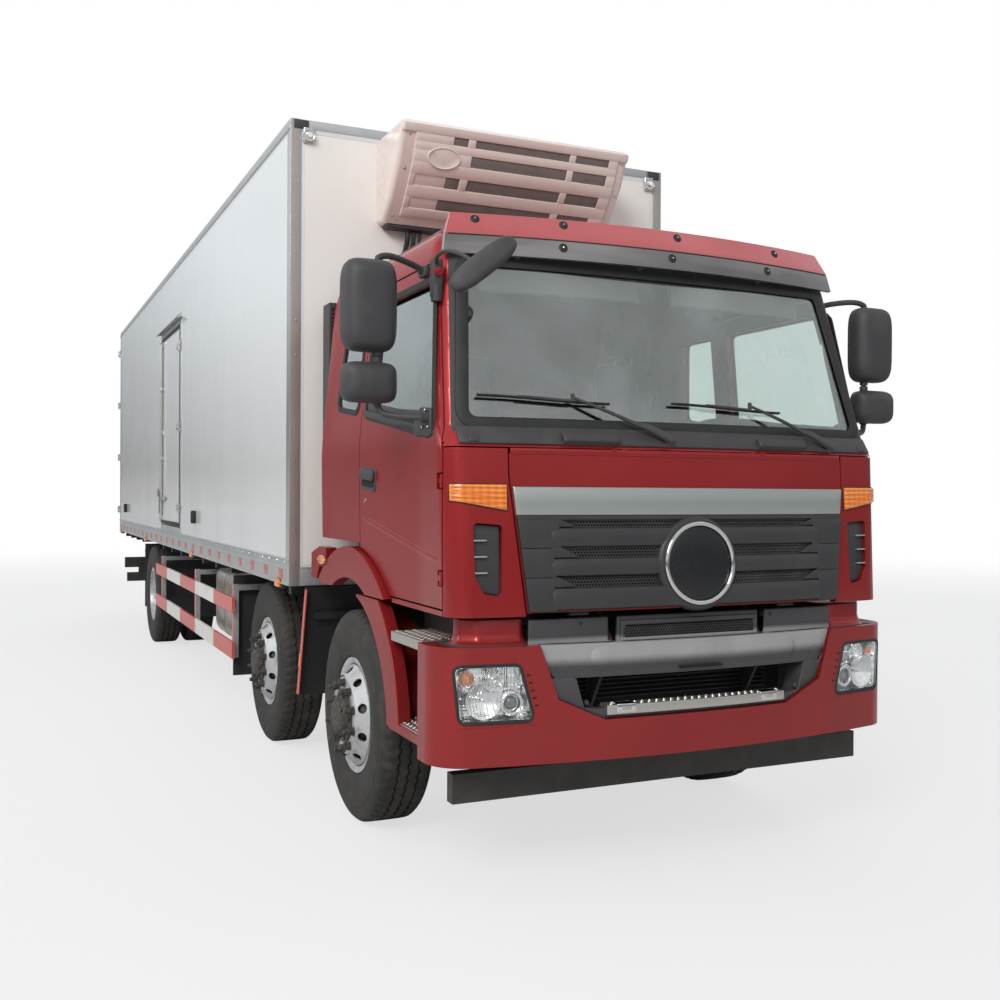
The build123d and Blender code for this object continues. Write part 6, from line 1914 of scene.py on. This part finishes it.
def side_doorway():
    """Round the side door: an aluminium surround, a rain hood that slopes out over it, the handle's holder behind
    it and two rubber stops for the open leaf."""
    piece = Piece("side_doorway", "aluminium", "stainless", "black_rubber", "void_black")
    y = -BOX_SIDE
    x0, x1 = DOOR_X[0] - 0.016, DOOR_X[1] + 0.016
    z0, z1 = DOOR_Z[0] - 0.016, DOOR_Z[1] + 0.016
    wide = 0.042
    piece.block((x0 - wide, x0), (y - 0.0055, y + 0.002), (z0 - 0.042, z1 + wide), 0.002, 0)
    piece.block((x1, x1 + wide), (y - 0.0035, y + 0.002), (z0 - 0.042, z1 + wide), 0.0015, 0)
    piece.block((x0, x1), (y - 0.0055, y + 0.002), (z1, z1 + wide), 0.002, 0)
    piece.block((x0, x1), (y - 0.0055, y + 0.002), (z0 - 0.042, z0), 0.002, 0)
    hood = [(y + 0.001, z1 + 0.075), (y - 0.01, z1 + 0.075), (y - 0.052, z1 + 0.04), (y - 0.055, z1 + 0.026),
            (y - 0.05, z1 + 0.026), (y - 0.047, z1 + 0.036), (y - 0.008, z1 + 0.068), (y + 0.001, z1 + 0.068)]
    rings = [np.column_stack([np.full(len(hood), x), np.array(hood)]) for x in (x0 - wide - 0.03, x1 + wide + 0.03)]
    piece.rings(np.array(rings), 0)
    for x in (x0 - wide - 0.03, x1 + wide + 0.027):
        piece.rings([np.column_stack([np.full(4, x + k), [y, y - 0.05, y - 0.046, y],
                                      [z1 + 0.072, z1 + 0.04, z1 + 0.026, z1 + 0.04]]) for k in (0.0, 0.003)], 0)
    holder = rounded(rectangle((-1.905, -1.835), (1.43, 1.7)), 0.033, 6)
    piece.plate(holder, "+y", y - 0.006, y + 0.002, 0.0025, 1)
    # a near-black plate on the holder's face: painted shade of its recess
    piece.plate(inset(holder, 0.014), "+y", y - 0.0068, y - 0.004, 0.0008, 3)
    piece.pin(-0.045, 0.045, 0.008, (-1.87, y - 0.02, 1.66), (0, 0, 1), 14, 1)
    for x, z in ((0.397, 1.453), (-5.018, 1.45)):
        piece.block((x - 0.028, x + 0.028), (y - 0.04, y + 0.001), (z - 0.055, z + 0.055), 0.012, 2, 0.014)
    return piece.build("chassis", crease=34)


def side_door_fittings():
    """On the side door: its aluminium edges, the seal that stands out of the gap, bolts through the hinges, the
    lock rod's guides and cams, and the handle's hub."""
    piece = Piece("side_door_fittings", "aluminium", "black_rubber", "stainless", "chrome")
    y = -BOX_SIDE
    x0, x1 = DOOR_X
    z0, z1 = DOOR_Z
    band = 0.04
    for x in ((x0, x0 + band), (x1 - band, x1)):
        piece.block(x, (y - 0.0035, y + 0.004), (z0, z1), 0.0015, 0)
    for z in ((z0, z0 + band), (z1 - band, z1)):
        piece.block((x0 + band, x1 - band), (y - 0.0035, y + 0.004), z, 0.0015, 0)
    piece.block((x1 - 0.034, x1 - 0.001), (y - 0.0075, y + 0.004), (z0 + 0.002, z1 - 0.002), 0.004, 1)
    piece.block((x0 + 0.002, x1 - 0.002), (y - 0.0075, y + 0.004), (z0 + 0.002, z0 + 0.034), 0.004, 1)
    piece.block((x0 + 0.002, x1 - 0.002), (y - 0.0075, y + 0.004), (z1 - 0.034, z1 - 0.002), 0.004, 1)
    piece.block((x0 + 0.001, x0 + 0.016), (y - 0.0065, y + 0.004), (z0 + 0.002, z1 - 0.002), 0.003, 1)
    for z in (1.517, 2.265, 3.015):
        piece.plate([(-0.66, z - 0.02), (-0.474, z - 0.038), (-0.474, z + 0.038), (-0.66, z + 0.02)], "+y",
                    y - 0.0125, y - 0.001, 0.002, 2, 0.012)
        for x in (-0.635, -0.58, -0.525):
            domed_bolt(piece, (x, y - 0.0125, z), (0, -1, 0), 0.0062, 3, 2)
    for z in (1.385, 2.0, 2.7, 3.175):
        piece.plate(rectangle((-1.662, -1.588), (z - 0.022, z + 0.022)), "+y", y - 0.006, y - 0.002, 0.0015, 2,
                    0.008)
        piece.block((-1.642, -1.608), (-1.2835, y - 0.003), (z - 0.014, z + 0.014), 0.005, 2, 0.006)
        for x in (-1.652, -1.598):
            domed_bolt(piece, (x, y - 0.0055, z), (0, -1, 0), 0.0045, 3, 2)
    piece.pin(-0.03, 0.03, 0.0155, (-1.625, -1.268, 1.6), (0, 0, 1), 20, 2)
    return piece.build("side_door", crease=34)


def rear_door_fittings(side):
    """On each rear door: rubber seals round its edge, hinge bolts, the lock rods' guides and cams, and red
    reflective strips along the bottom."""
    piece = Piece(f"rear_door_{NAMES[side]}_fittings", "black_rubber", "stainless", "chrome", "reflective_red")
    x = BOX_REAR
    low, high = 1.147, 3.805
    piece.block((x - 0.004, x + 0.004), (side * 0.006, side * 0.03), (low, high), 0.002, 0)
    piece.block((x - 0.0035, x + 0.004), (side * 1.226, side * 1.243), (low, high), 0.002, 0)
    for z in ((low, low + 0.018), (high - 0.018, high)):
        piece.block((x - 0.0038, x + 0.004), (side * 0.028, side * 1.228), z, 0.002, 0)
    for z in (1.42, 2.13, 2.84, 3.55):
        for y in (1.06, 1.12, 1.18):
            place = touch(f"rear_door_{NAMES[side]}", (-8, side * y, z), (1, 0, 0))[0]
            domed_bolt(piece, place, (-1, 0, 0), 0.0065, 2, 1)
    for y in (0.26, 0.9):
        for z in (1.205, 1.75, 2.35, 3.05, 3.745):
            piece.block((x - 0.006, x - 0.001), (side * (y - 0.05), side * (y + 0.05)), (z - 0.022, z + 0.022),
                        0.002, 1, 0.006)
            for shift in (-0.036, 0.036):
                domed_bolt(piece, (x - 0.0055, side * (y + shift), z), (-1, 0, 0), 0.0055, 2, 1)
        for z in (1.175, 3.775):
            piece.block((x - 0.026, x - 0.002), (side * (y - 0.024), side * (y + 0.024)), (z - 0.01, z + 0.01),
                        0.004, 1)
    for y in np.arange(0.12, 1.2, 0.3):
        piece.block((x - 0.0025, x + 0.001), (side * y, side * (y + 0.15)), (1.262, 1.312), 0.001, 3)
    return piece.build(f"rear_door_{NAMES[side]}", crease=34)


def tail_lamps():
    """Rear lamps on the bumper in three fields, with small red reflectors beside them."""
    piece = Piece("tail_lamps", "dark_plastic", "red_lens", "amber_lens", "reflector")
    for side in SIDES:
        piece.block((-5.9645, -5.955), (side * 0.765, side * 1.175), (0.625, 0.755), 0.003, 0, 0.01)
        for start, end, lens_finish in ((0.775, 0.885, 3), (0.893, 1.03, 1), (1.038, 1.166, 2)):
            piece.block((-5.969, -5.962), (side * start, side * end), (0.636, 0.744), 0.003, lens_finish, 0.008)
        piece.turned([(0.0, 0.0), (0.0, 0.034), (0.003, 0.032), (0.0035, 0.0)], (-5.9655, side * 0.62, 0.49),
                     (-1, 0, 0), 24, 1)
    return piece.build("chassis", crease=34)


def chassis_fittings():
    """Pressed bands, straps and cap of the fuel tank, ribs and latches of the battery box, four air tanks between
    the rails and the hoses along the frame."""
    piece = Piece("chassis_fittings", "tank_metal", "black_rubber", "chassis_black", "stainless", "hose_rubber")
    outline = rounded(rectangle((-1.088, -0.432), (0.474, 1.052)), 0.11, 8)
    for start in (0.462, 0.84, 1.218):
        piece.plate(outline, "+x", start, start + 0.32, 0.02, 0)
    strap = inset(outline, -0.006)
    for start in (0.787, 1.165):
        piece.plate(strap, "+x", start, start + 0.046, 0.003, 3)
        piece.block((start + 0.004, start + 0.042), (-0.7, -0.66), (1.056, 1.085), 0.004, 3)
    piece.turned([(1.045, 0.0), (1.045, 0.05), (1.075, 0.05), (1.082, 0.044), (1.084, 0.0)], (0.62, -0.9, 0.0),
                 (0, 0, 1), 28, 2)
    for x in np.linspace(0.76, 1.49, 6):
        piece.block((x - 0.012, x + 0.012), (1.058, 1.066), (0.6, 0.96), 0.004, 2)
    for x in (0.86, 1.39):
        piece.block((x - 0.022, x + 0.022), (1.06, 1.076), (0.952, 1.012), 0.004, 3)
    for x in (2.05, -0.2):
        for y in (-0.26, 0.26):
            rows = [(-0.36, 0.0), (-0.355, 0.06), (-0.33, 0.105), (-0.29, 0.12), (0.29, 0.12), (0.33, 0.105),
                    (0.355, 0.06), (0.36, 0.0)]
            piece.turned(rows, (x, y, 0.8), (1, 0, 0), 32, 2)
    for y in (-0.395, -0.365, 0.38):
        piece.tube([(3.6, y, 0.965), (2.9, y, 0.955), (1.2, y, 0.965), (-0.6, y, 0.95), (-1.9, y, 0.965)], 0.012, 4,
                   8, smooth=5)
    return piece.build("chassis", crease=36)


class TRUCK_OT_box(Step, bpy.types.Operator):
    """Rails, lamps, door fittings and the details of the chassis"""

    bl_idname = "truck.box"
    bl_label = "Box and chassis details"
    makes = (box_rails, box_lamps, side_doorway, side_door_fittings, tail_lamps, chassis_fittings)
    sided = (rear_door_fittings,)


# ---------------------------------------------------------------- cooling unit
UNIT_HEIGHTS = np.linspace(3.2575, 3.76, 68)
UNIT_HITS = touches("refrigeration_unit", [(8.0, 0.0, z) for z in UNIT_HEIGHTS], (-1, 0, 0))
UNIT_FACE = np.array([place for place, _ in UNIT_HITS])


def unit_face(y, z, out=0.0):
    """Points on the cooling unit's sloped front: X follows the height alone, as its outline does."""
    y, z = np.broadcast_arrays(np.asarray(y, float), np.asarray(z, float))
    return np.stack([np.interp(z, UNIT_HEIGHTS, UNIT_FACE[:, 0]) + out, y, z], -1)


def unit_normal(y, z):
    """Outward normals of that front, from the curve's slope."""
    step = 0.02
    slope = (unit_face(y, z + step)[..., 0] - unit_face(y, z - step)[..., 0]) / (2 * step)
    return np.stack([np.ones_like(slope), np.zeros_like(slope), -slope], -1) / np.sqrt(1 + slope[..., None] ** 2)


SLOT_ROWS = (                   # heights, then the Y spans of the openings
    ((3.663, 3.703), ((-0.414, -0.325), (-0.278, 0.333), (0.376, 0.603))),
    ((3.563, 3.618), ((-0.291, 0.332), (0.374, 0.606))),
    ((3.449, 3.502), ((-0.421, -0.335), (-0.287, 0.321), (0.366, 0.592))),
    ((3.342, 3.392), ((-0.438, 0.3), (0.35, 0.565))),
)
UNIT_EDGES = (-0.645, 0.665)    # Y between the seams of the end caps


def cooling_unit():
    """Front of the cooling unit: bars and pillars that stand round four rows of meshed openings, a rolled top edge,
    the seams of its end caps, an oval boss left bare, and screws."""
    piece = Piece("cooling_unit_front", "unit_shell", "unit_mesh", "void_black", "stainless", "black_rubber")
    face = (unit_face, unit_normal)
    lift = (-0.002, 0.0105)
    edges = [3.3] + [height for heights, _ in SLOT_ROWS[::-1] for height in heights] + [3.728]
    for low, high in zip(edges[::2], edges[1::2]):
        piece.strip(0, UNIT_EDGES, low, high, lift, 0.0048, 0.06, face)
    for row, ((low, high), spans) in enumerate(SLOT_ROWS):
        starts = [UNIT_EDGES[0]] + [end for _, end in spans]
        ends = [start for start, _ in spans] + [UNIT_EDGES[1]]
        for index, (start, end) in enumerate(zip(starts, ends)):
            if index == 0 and row > 1:
                piece.strip(0, (UNIT_EDGES[0], -0.612), low - 0.004, high + 0.004, (-0.002, 0.01), 0.004, 0.02, face)
                piece.strip(0, (-0.62, end), low - 0.004, high + 0.004, (-0.002, 0.0045), 0.003, 0.04, face)
            else:
                piece.strip(0, (start, end), low - 0.004, high + 0.004, (-0.002, 0.01), 0.004, 0.04, face)
        for start, end in spans:
            piece.strip(1, (start - 0.004, end + 0.004), low - 0.003, high + 0.003, (-0.002, 0.0042), 0.0006, 0.05,
                        face)
    piece.strip(0, (-0.73, 0.73), 3.7, 3.754, (-0.004, 0.0165), 0.016, 0.06, face)
    for y in (-0.652, 0.672):
        piece.strip(4, (y - 0.0015, y + 0.0015), 3.27, 3.752, (0.0002, 0.0022), 0.0006, 0.01, face)
        for z in (3.29, 3.52, 3.69):
            place, normal = unit_face(y + (0.03 if y > 0 else -0.03), z), unit_normal(y, z)
            domed_bolt(piece, place, normal, 0.0055, 3, 3)
    oval = circle(1.0, 44)
    section = [(1.06, 0.0), (1.06, 0.014), (1.03, 0.0175), (0.98, 0.0175), (0.93, 0.0145), (0.9, 0.013),
               (0.45, 0.0148), (0.02, 0.0152)]
    rings = []
    for share, off in section:
        y, z = (oval * (0.096 * share, 0.05 * share) + (-0.462, 3.592)).T
        rings.append(unit_face(y, z) + unit_normal(y, z) * off)
    piece.rings(rings, 0)
    return piece.build("chassis", crease=36)


def unit_pipes():
    """Under the cooling unit: its bottom tray, and hoses clipped down the front wall."""
    piece = Piece("unit_pipes", "hose_rubber", "dark_plastic", "stainless")
    piece.block((3.704, 3.792), (-0.7, 0.7), (3.236, 3.262), 0.006, 1)
    for y, radius in ((-0.56, 0.015), (-0.52, 0.012), (-0.484, 0.01), (0.56, 0.013)):
        low = 1.3 if y < 0 else 2.05
        piece.tube([(3.752, y, 3.25), (3.75, y, 3.18), (3.728, y * 1.01, 3.11), (3.722, y * 1.01, 3.02),
                    (3.722, y * 1.01, 2.2), (3.722, y * 1.01, low)], radius, 0, 12, (1, 0, 0.01), smooth=5)
        for level in np.arange(low + 0.15, 3.05, 0.42):
            piece.block((3.699, 3.7225 + radius + 0.002), (y * 1.01 - radius - 0.004, y * 1.01 + radius + 0.004),
                        (level, level + 0.018), 0.003, 2)
    piece.block((3.699, 3.742), (-0.64, -0.41), (3.06, 3.08), 0.004, 1)
    return piece.build("chassis", crease=38)


def kerb_mirror():
    """Slim mirror over the windscreen's kerb corner: squarish sections that close at both ends, its glass
    underneath, and an arm to a bracket on the cab's corner. Also the round black foot of an aerial on the roof."""
    piece = Piece("kerb_mirror", "dark_plastic", "mirror_glass", "black_rubber", "cab_red")
    tilt = np.radians(39)
    long_axis = np.array((0.0, np.cos(tilt), np.sin(tilt)))
    short_axis = np.array((-0.35, -np.sin(tilt), np.cos(tilt)))
    short_axis /= np.linalg.norm(short_axis)
    depth_axis = np.cross(long_axis, short_axis)
    centre = np.array((5.912, -1.01, 2.592))
    angle = np.arange(28) * 2 * np.pi / 28
    c, s = np.cos(angle), np.sin(angle)
    oval = np.stack([bent(c, 0.55), bent(s, 0.75)], 1)
    rings = []
    for t in np.sin(np.linspace(-np.pi / 2, np.pi / 2, 29)):
        share = max((1 - abs(t) ** 3.4), 0.0) ** 0.42
        a, b = oval[:, 0] * 0.05 * share, oval[:, 1] * 0.036 * share
        b = np.where(b > 0, b, b * 0.55)
        rings.append(centre + long_axis * t * 0.176 + a[:, None] * short_axis + b[:, None] * depth_axis)
    piece.rings(rings, 0)
    rings = []
    for level, share in ((0.0165, 0.86), (0.0215, 0.86), (0.0218, 0.83)):
        half = 0.155 * share / 0.86
        pad = rounded(rectangle((-half, half), (-0.04, 0.04)), 0.03, 5)
        rings.append(centre + pad[:, :1] * long_axis + pad[:, 1:] * short_axis - level * depth_axis)
    piece.rings(rings, 1)
    start = centre - long_axis * 0.02
    piece.tube([start, (5.83, -1.075, 2.64), (5.74, -1.105, 2.668), (5.65, -1.108, 2.664), (5.585, -1.086, 2.64)],
               0.009, 0, 12, smooth=7)
    piece.pin(-0.02, 0.02, 0.018, start, short_axis, 18, 0)
    piece.block((5.566, 5.606), (-1.112, -1.06), (2.5, 2.668), 0.01, 0, 0.014)
    piece.pin(-0.034, 0.034, 0.024, (5.588, -1.086, 2.52), (0, 0, 1), 24, 0)
    piece.turned([(0.0, 0.0), (0.0, 0.021), (0.01, 0.019), (0.015, 0.0)], (5.606, -1.086, 2.61), (1, 0, 0), 20, 3)
    cap = [(0.012 + 0.036 * np.sin(a), 0.04 * np.cos(a)) for a in np.linspace(0, np.pi / 2, 8)]
    roof = touch("cab_roof", (5.4, -0.9, 4.0), (0, 0, -1))[0]
    piece.turned([(-0.004, 0.0), (-0.004, 0.05), (0.008, 0.048), (0.012, 0.04), *cap[1:]], roof, (0, 0, 1), 28, 2)
    return piece.build("cab", ["front_mirror"], crease=38)


# ---------------------------------------------------------------- inside of the cab
CLOTH_FRAMES = 20
SEAT_Y, SEAT_HALF, SEAM_Y = 0.52, 0.24, 0.135


def cushion(name, rings, voxel, limit, channels):
    """A padded form: the closed mesh is remeshed evenly, blown up as cloth for some frames, and each point's
    move is cut to the limit. Sewn channels are then pressed in: each sinks the surface along its normal by a
    depth times the exponential of minus the squared distance over the width squared."""
    start = Piece(name, "seat_cloth").rings(rings)
    mesh = bpy.data.meshes.new(name)
    mesh.from_pydata(np.vstack(start.points).tolist(), [], start.faces)
    form = bpy.data.objects.new(name, mesh)
    scene = bpy.context.scene
    scene.collection.objects.link(form)
    even = form.modifiers.new("even", "REMESH")
    even.mode, even.voxel_size = "VOXEL", voxel
    shape = bpy.data.meshes.new_from_object(form.evaluated_get(bpy.context.evaluated_depsgraph_get()))
    bpy.data.objects.remove(form)
    pad = bpy.data.objects.new(name, shape)
    scene.collection.objects.link(pad)
    still = np.empty(len(shape.vertices) * 3)
    shape.vertices.foreach_get("co", still)
    still = still.reshape(-1, 3)
    moved = still
    cloth = pad.modifiers.new("cloth", "CLOTH")
    cloth.settings.use_pressure, cloth.settings.uniform_pressure_force = True, 4.0
    cloth.settings.effector_weights.gravity = 0.0
    for number in range(1, CLOTH_FRAMES + 1):
        scene.frame_set(number)
    blown = pad.evaluated_get(bpy.context.evaluated_depsgraph_get()).data
    moved = np.empty(still.size)
    blown.vertices.foreach_get("co", moved)
    moved = moved.reshape(-1, 3)
    pad.modifiers.remove(cloth)
    scene.frame_set(1)
    move = moved - still
    length = np.linalg.norm(move, axis=1)
    moved = still + move * np.minimum(1, limit / np.maximum(length, 1e-9))[:, None]
    shape.vertices.foreach_set("co", moved.ravel())
    shape.update()
    normals = np.empty(moved.size)
    shape.vertices.foreach_get("normal", normals)
    normals = normals.reshape(-1, 3)
    for origin, across, depth, width in channels:
        distance = (moved - np.asarray(origin)) @ (np.asarray(across) / np.linalg.norm(across))
        moved = moved - normals * (depth * np.exp(-(distance / width) ** 2))[:, None]
    shape.vertices.foreach_set("co", moved.ravel())
    shape.update()
    return pad


def seat_forms(y):
    """Cushion, back and headrest of the seat at a Y, smaller than their solids by the room they swell into. The
    back and headrest are slabs between two leaning planes."""
    swell = 0.014
    wide = (y - SEAT_HALF + swell, y + SEAT_HALF - swell)
    base = rounded(rectangle((4.5, 4.985), wide), 0.055, 5)
    cushion_rings = slab(base, 1.782, 1.866, 0.034, 4)
    lean = np.array((-0.08, 0.0, 0.56))
    lean /= np.linalg.norm(lean)
    out = np.cross((0, 1, 0), lean)

    def leaning(outline, low, high, edge, origin):
        rings = slab(outline, low, high, edge, 4)
        return placed(rings, origin, (0, 1, 0), lean, out)

    half = SEAT_HALF - swell
    back = rounded([(-half, 0.03), (half, 0.03), (half * 0.94, 0.56), (-half * 0.94, 0.56)], 0.07, 6)
    back_rings = leaning(back, 0.01, 0.088, 0.03, (4.498, y, 1.862))
    head = rounded([(-0.135, 0.0), (0.135, 0.0), (0.12, 0.15), (-0.12, 0.15)], 0.05, 6)
    head_rings = leaning(head, 0.0, 0.066, 0.026, (4.403, y, 2.452))
    return cushion_rings, back_rings, head_rings, lean


def seats():
    """Two padded seats with sewn channels and piping, on ribbed pedestals with levers."""
    base = Piece("seat_bases", "interior", "dark_plastic", "seat_piping", "stainless")
    for side in SIDES:
        y = side * SEAT_Y
        cushion_rings, back_rings, head_rings, lean = seat_forms(y)
        channels = {            # rings, size of the mesh's cells, limit of the swelling, sewn lines
            "cushion": (cushion_rings, 0.01, 0.013,
                        [((4.74, y + k, 1.8), (0, 1, 0), 0.009, 0.01) for k in (-SEAM_Y, SEAM_Y)]
                        + [((x, y, 1.8), (1, 0, 0), 0.005, 0.009) for x in (4.86, 4.64)]),
            "back": (back_rings, 0.01, 0.012,
                     [((4.5, y + k, 2.1), (0, 1, 0), 0.008, 0.01) for k in (-SEAM_Y, SEAM_Y)]
                     + [((4.5, y, level), lean, 0.005, 0.009) for level in (2.05, 2.2, 2.34)]),
            "headrest": (head_rings, 0.009, 0.009, [((4.4, y, 2.53), lean, 0.003, 0.008)]),
        }
        for part, (rings, voxel, limit, lines) in channels.items():
            pad = cushion(f"seat_{NAMES[side]}_{part}", rings, voxel, limit, lines)
            pad.data.materials.append(FINISHES["seat_cloth"]())
            pad.data.polygons.foreach_set("use_smooth", np.ones(len(pad.data.polygons), bool))
            rounder = pad.modifiers.new("rounder", "SUBSURF")
            rounder.levels = rounder.render_levels = 1
            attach(pad, "cab")
        outline = rounded(rectangle((4.49, 4.99), (y - 0.232, y + 0.232)), 0.06, 6)
        path = np.column_stack([inset(outline, 0.004), np.full(len(outline), 1.822)])
        base.bar(path, circle(0.0045, 8), (0, 0, 1), 2, closed=True)
        base.plate(rounded(rectangle((4.5, 4.95), (y - 0.215, y + 0.215)), 0.04, 4), "+z", 1.742, 1.768, 0.01, 1)
        for level in np.linspace(1.486, 1.7, 9):
            shrink = 0.03 + 0.018 * ((level - 1.486) / 0.214)
            base.block((4.5 + shrink, 4.95 - shrink), (y - 0.2 + shrink, y + 0.2 - shrink), (level, level + 0.03),
                       0.012, 0, 0.04)
        for k in (-0.055, 0.055):
            base.tube([(4.448, y + k, 2.38), (4.436, y + k, 2.47)], 0.006, 3, 10, (0, 1, 0))
        base.block((4.78, 4.9), (y + 0.214, y + 0.226), (1.748, 1.762), 0.005, 1)
    return base.build("cab", ["seats"], crease=38)


def dash_details():
    """On the dashboard: the instruments under their hood, a middle panel with a screen and knobs, vents, the
    glovebox's lid, sun visors along the windscreen's top, and stalks behind the wheel."""
    piece = Piece("dash_details", "interior", "gloss_black", "dark_plastic", "chrome", "pale_interior")
    angle = np.linspace(0, np.pi, 21)
    arch = np.column_stack([0.52 + 0.215 * np.cos(angle), 1.955 + 0.092 * np.sin(angle) ** 0.8])
    arch_in = np.column_stack([0.52 + 0.2 * np.cos(angle), 1.955 + 0.08 * np.sin(angle) ** 0.8])
    loop = np.vstack([arch, arch_in[::-1]])
    hood = ((5.625, -0.045), (5.58, -0.018), (5.5, 0.0), (5.44, 0.004), (5.432, 0.001))
    piece.rings([np.column_stack([np.full(len(loop), x), loop + (0, drop)]) for x, drop in hood], 0)
    piece.rings([np.column_stack([np.full(len(arch_in), x), arch_in]) for x in (5.5, 5.494)], 1)
    for y in (0.43, 0.61):
        piece.turned(hoop(0.004, 0.043, 0.0035, 8), (5.494, y, 1.985), (-1, 0, 0), 32, 3, closed=True)
    piece.block((5.345, 5.362), (-0.19, 0.19), (1.715, 1.87), 0.006, 1, 0.02)
    piece.block((5.338, 5.35), (-0.105, 0.105), (1.79, 1.862), 0.003, 2, 0.008)
    for y in (-0.13, -0.045, 0.045, 0.13):
        piece.turned([(0.0, 0.0), (0.0, 0.016), (0.016, 0.014), (0.018, 0.0)], (5.347, y, 1.745), (-1, 0, 0), 24, 3)
    for y in (-0.9, -0.27, 0.27, 0.9):
        for level in np.linspace(1.9, 1.935, 4):
            piece.block((5.375, 5.392), (y - 0.06, y + 0.06), (level, level + 0.005), 0.002, 2)
    piece.block((5.34, 5.356), (-0.79, -0.35), (1.61, 1.77), 0.006, 0, 0.02)
    piece.block((5.336, 5.346), (-0.61, -0.53), (1.738, 1.75), 0.003, 2)
    for start, end in ((-0.88, -0.09), (0.09, 0.88)):
        piece.strip(4, (start, end), 2.575, 2.68, (-0.085, -0.068), 0.008, 0.05)
    for way in (-1, 1):
        piece.tube([(5.335, 0.52 + way * 0.035, 1.842), (5.33, 0.52 + way * 0.11, 1.868),
                    (5.322, 0.52 + way * 0.165, 1.872)], 0.007, 2, 10, smooth=4)
    return piece.build("cab", crease=36)


class TRUCK_OT_inside(Step, bpy.types.Operator):
    """Cooling unit, kerb mirror, seats and dashboard"""

    bl_idname = "truck.inside"
    bl_label = "Cooling unit and cab inside"
    makes = (cooling_unit, unit_pipes, kerb_mirror, dash_details, seats)


# ---------------------------------------------------------------- add-on
def colour_of(name, default, text):
    """A colour the panel sets."""
    return bpy.props.FloatVectorProperty(name=name, description=text, default=default, size=3, min=0.0, max=1.0,
                                         subtype="COLOR")


def length_of(name, default, low, high, text):
    """A length the panel sets."""
    return bpy.props.FloatProperty(name=name, description=text, default=default, min=low, max=high, unit="LENGTH")


class TruckColours(bpy.types.PropertyGroup):
    """Colours of the truck's paint, plastic and metal"""

    cab: colour_of("Cab", (0.315, 0.019, 0.02), "Paint of the cab")
    box: colour_of("Box", (0.76, 0.765, 0.76), "Laminate of the box's sides and doors")
    front_wall: colour_of("Front wall", (0.88, 0.84, 0.79), "Laminate of the box's front wall")
    unit: colour_of("Cooling unit", (0.82, 0.695, 0.635), "Shell of the cooling unit")
    plastic: colour_of("Plastic", (0.045, 0.043, 0.045), "Grained plastic of the grille, bumper and mirrors")
    trim: colour_of("Trim", (0.58, 0.59, 0.58), "Aluminium rails and corners of the box")


class TruckSizes(bpy.types.PropertyGroup):
    """Sizes of the pieces the CAD leaves out"""

    tread_depth: length_of("Tread depth", 0.012, 0.003, 0.02, "Depth of the tyres' grooves")
    nut_height: length_of("Nut height", 0.034, 0.02, 0.05, "Height of a wheel nut over its washer")
    rivet_pitch: length_of("Rivet pitch", 0.2, 0.05, 0.6, "Gap between rivets in the box's trims")
    sky_strength: bpy.props.FloatProperty(name="Sky", description="Strength of the soft light from all round",
                                          default=0.85, min=0.0, max=2.0)


class TRUCK_PT_panel(bpy.types.Panel):
    """Lists the truck's sizes, colours and pieces"""

    bl_idname = "TRUCK_PT_panel"
    bl_label = "Refrigerated truck"
    bl_space_type = "VIEW_3D"
    bl_region_type = "UI"
    bl_category = "Truck"

    def draw(self, context):
        for group in (context.scene.truck_sizes, context.scene.truck_colours):
            for name in group.bl_rna.properties.keys():
                if name not in ("rna_type", "name"):
                    self.layout.prop(group, name)
        for step in STEPS:
            self.layout.operator(step.bl_idname)


STEPS = (TRUCK_OT_stage, TRUCK_OT_finishes, TRUCK_OT_wheels, TRUCK_OT_front, TRUCK_OT_fittings, TRUCK_OT_box,
         TRUCK_OT_inside)
CLASSES = (TruckColours, TruckSizes, TRUCK_PT_panel, *STEPS)


def register():
    for cls in CLASSES:
        bpy.utils.register_class(cls)
    bpy.types.Scene.truck_colours = bpy.props.PointerProperty(type=TruckColours)
    bpy.types.Scene.truck_sizes = bpy.props.PointerProperty(type=TruckSizes)


def unregister():
    del bpy.types.Scene.truck_sizes
    del bpy.types.Scene.truck_colours
    for cls in reversed(CLASSES):
        bpy.utils.unregister_class(cls)


def main():
    """Registers the add-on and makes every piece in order."""
    register()
    for step in STEPS:
        group, name = step.bl_idname.split(".")
        getattr(getattr(bpy.ops, group), name)()


if __name__ == "__main__":
    main()
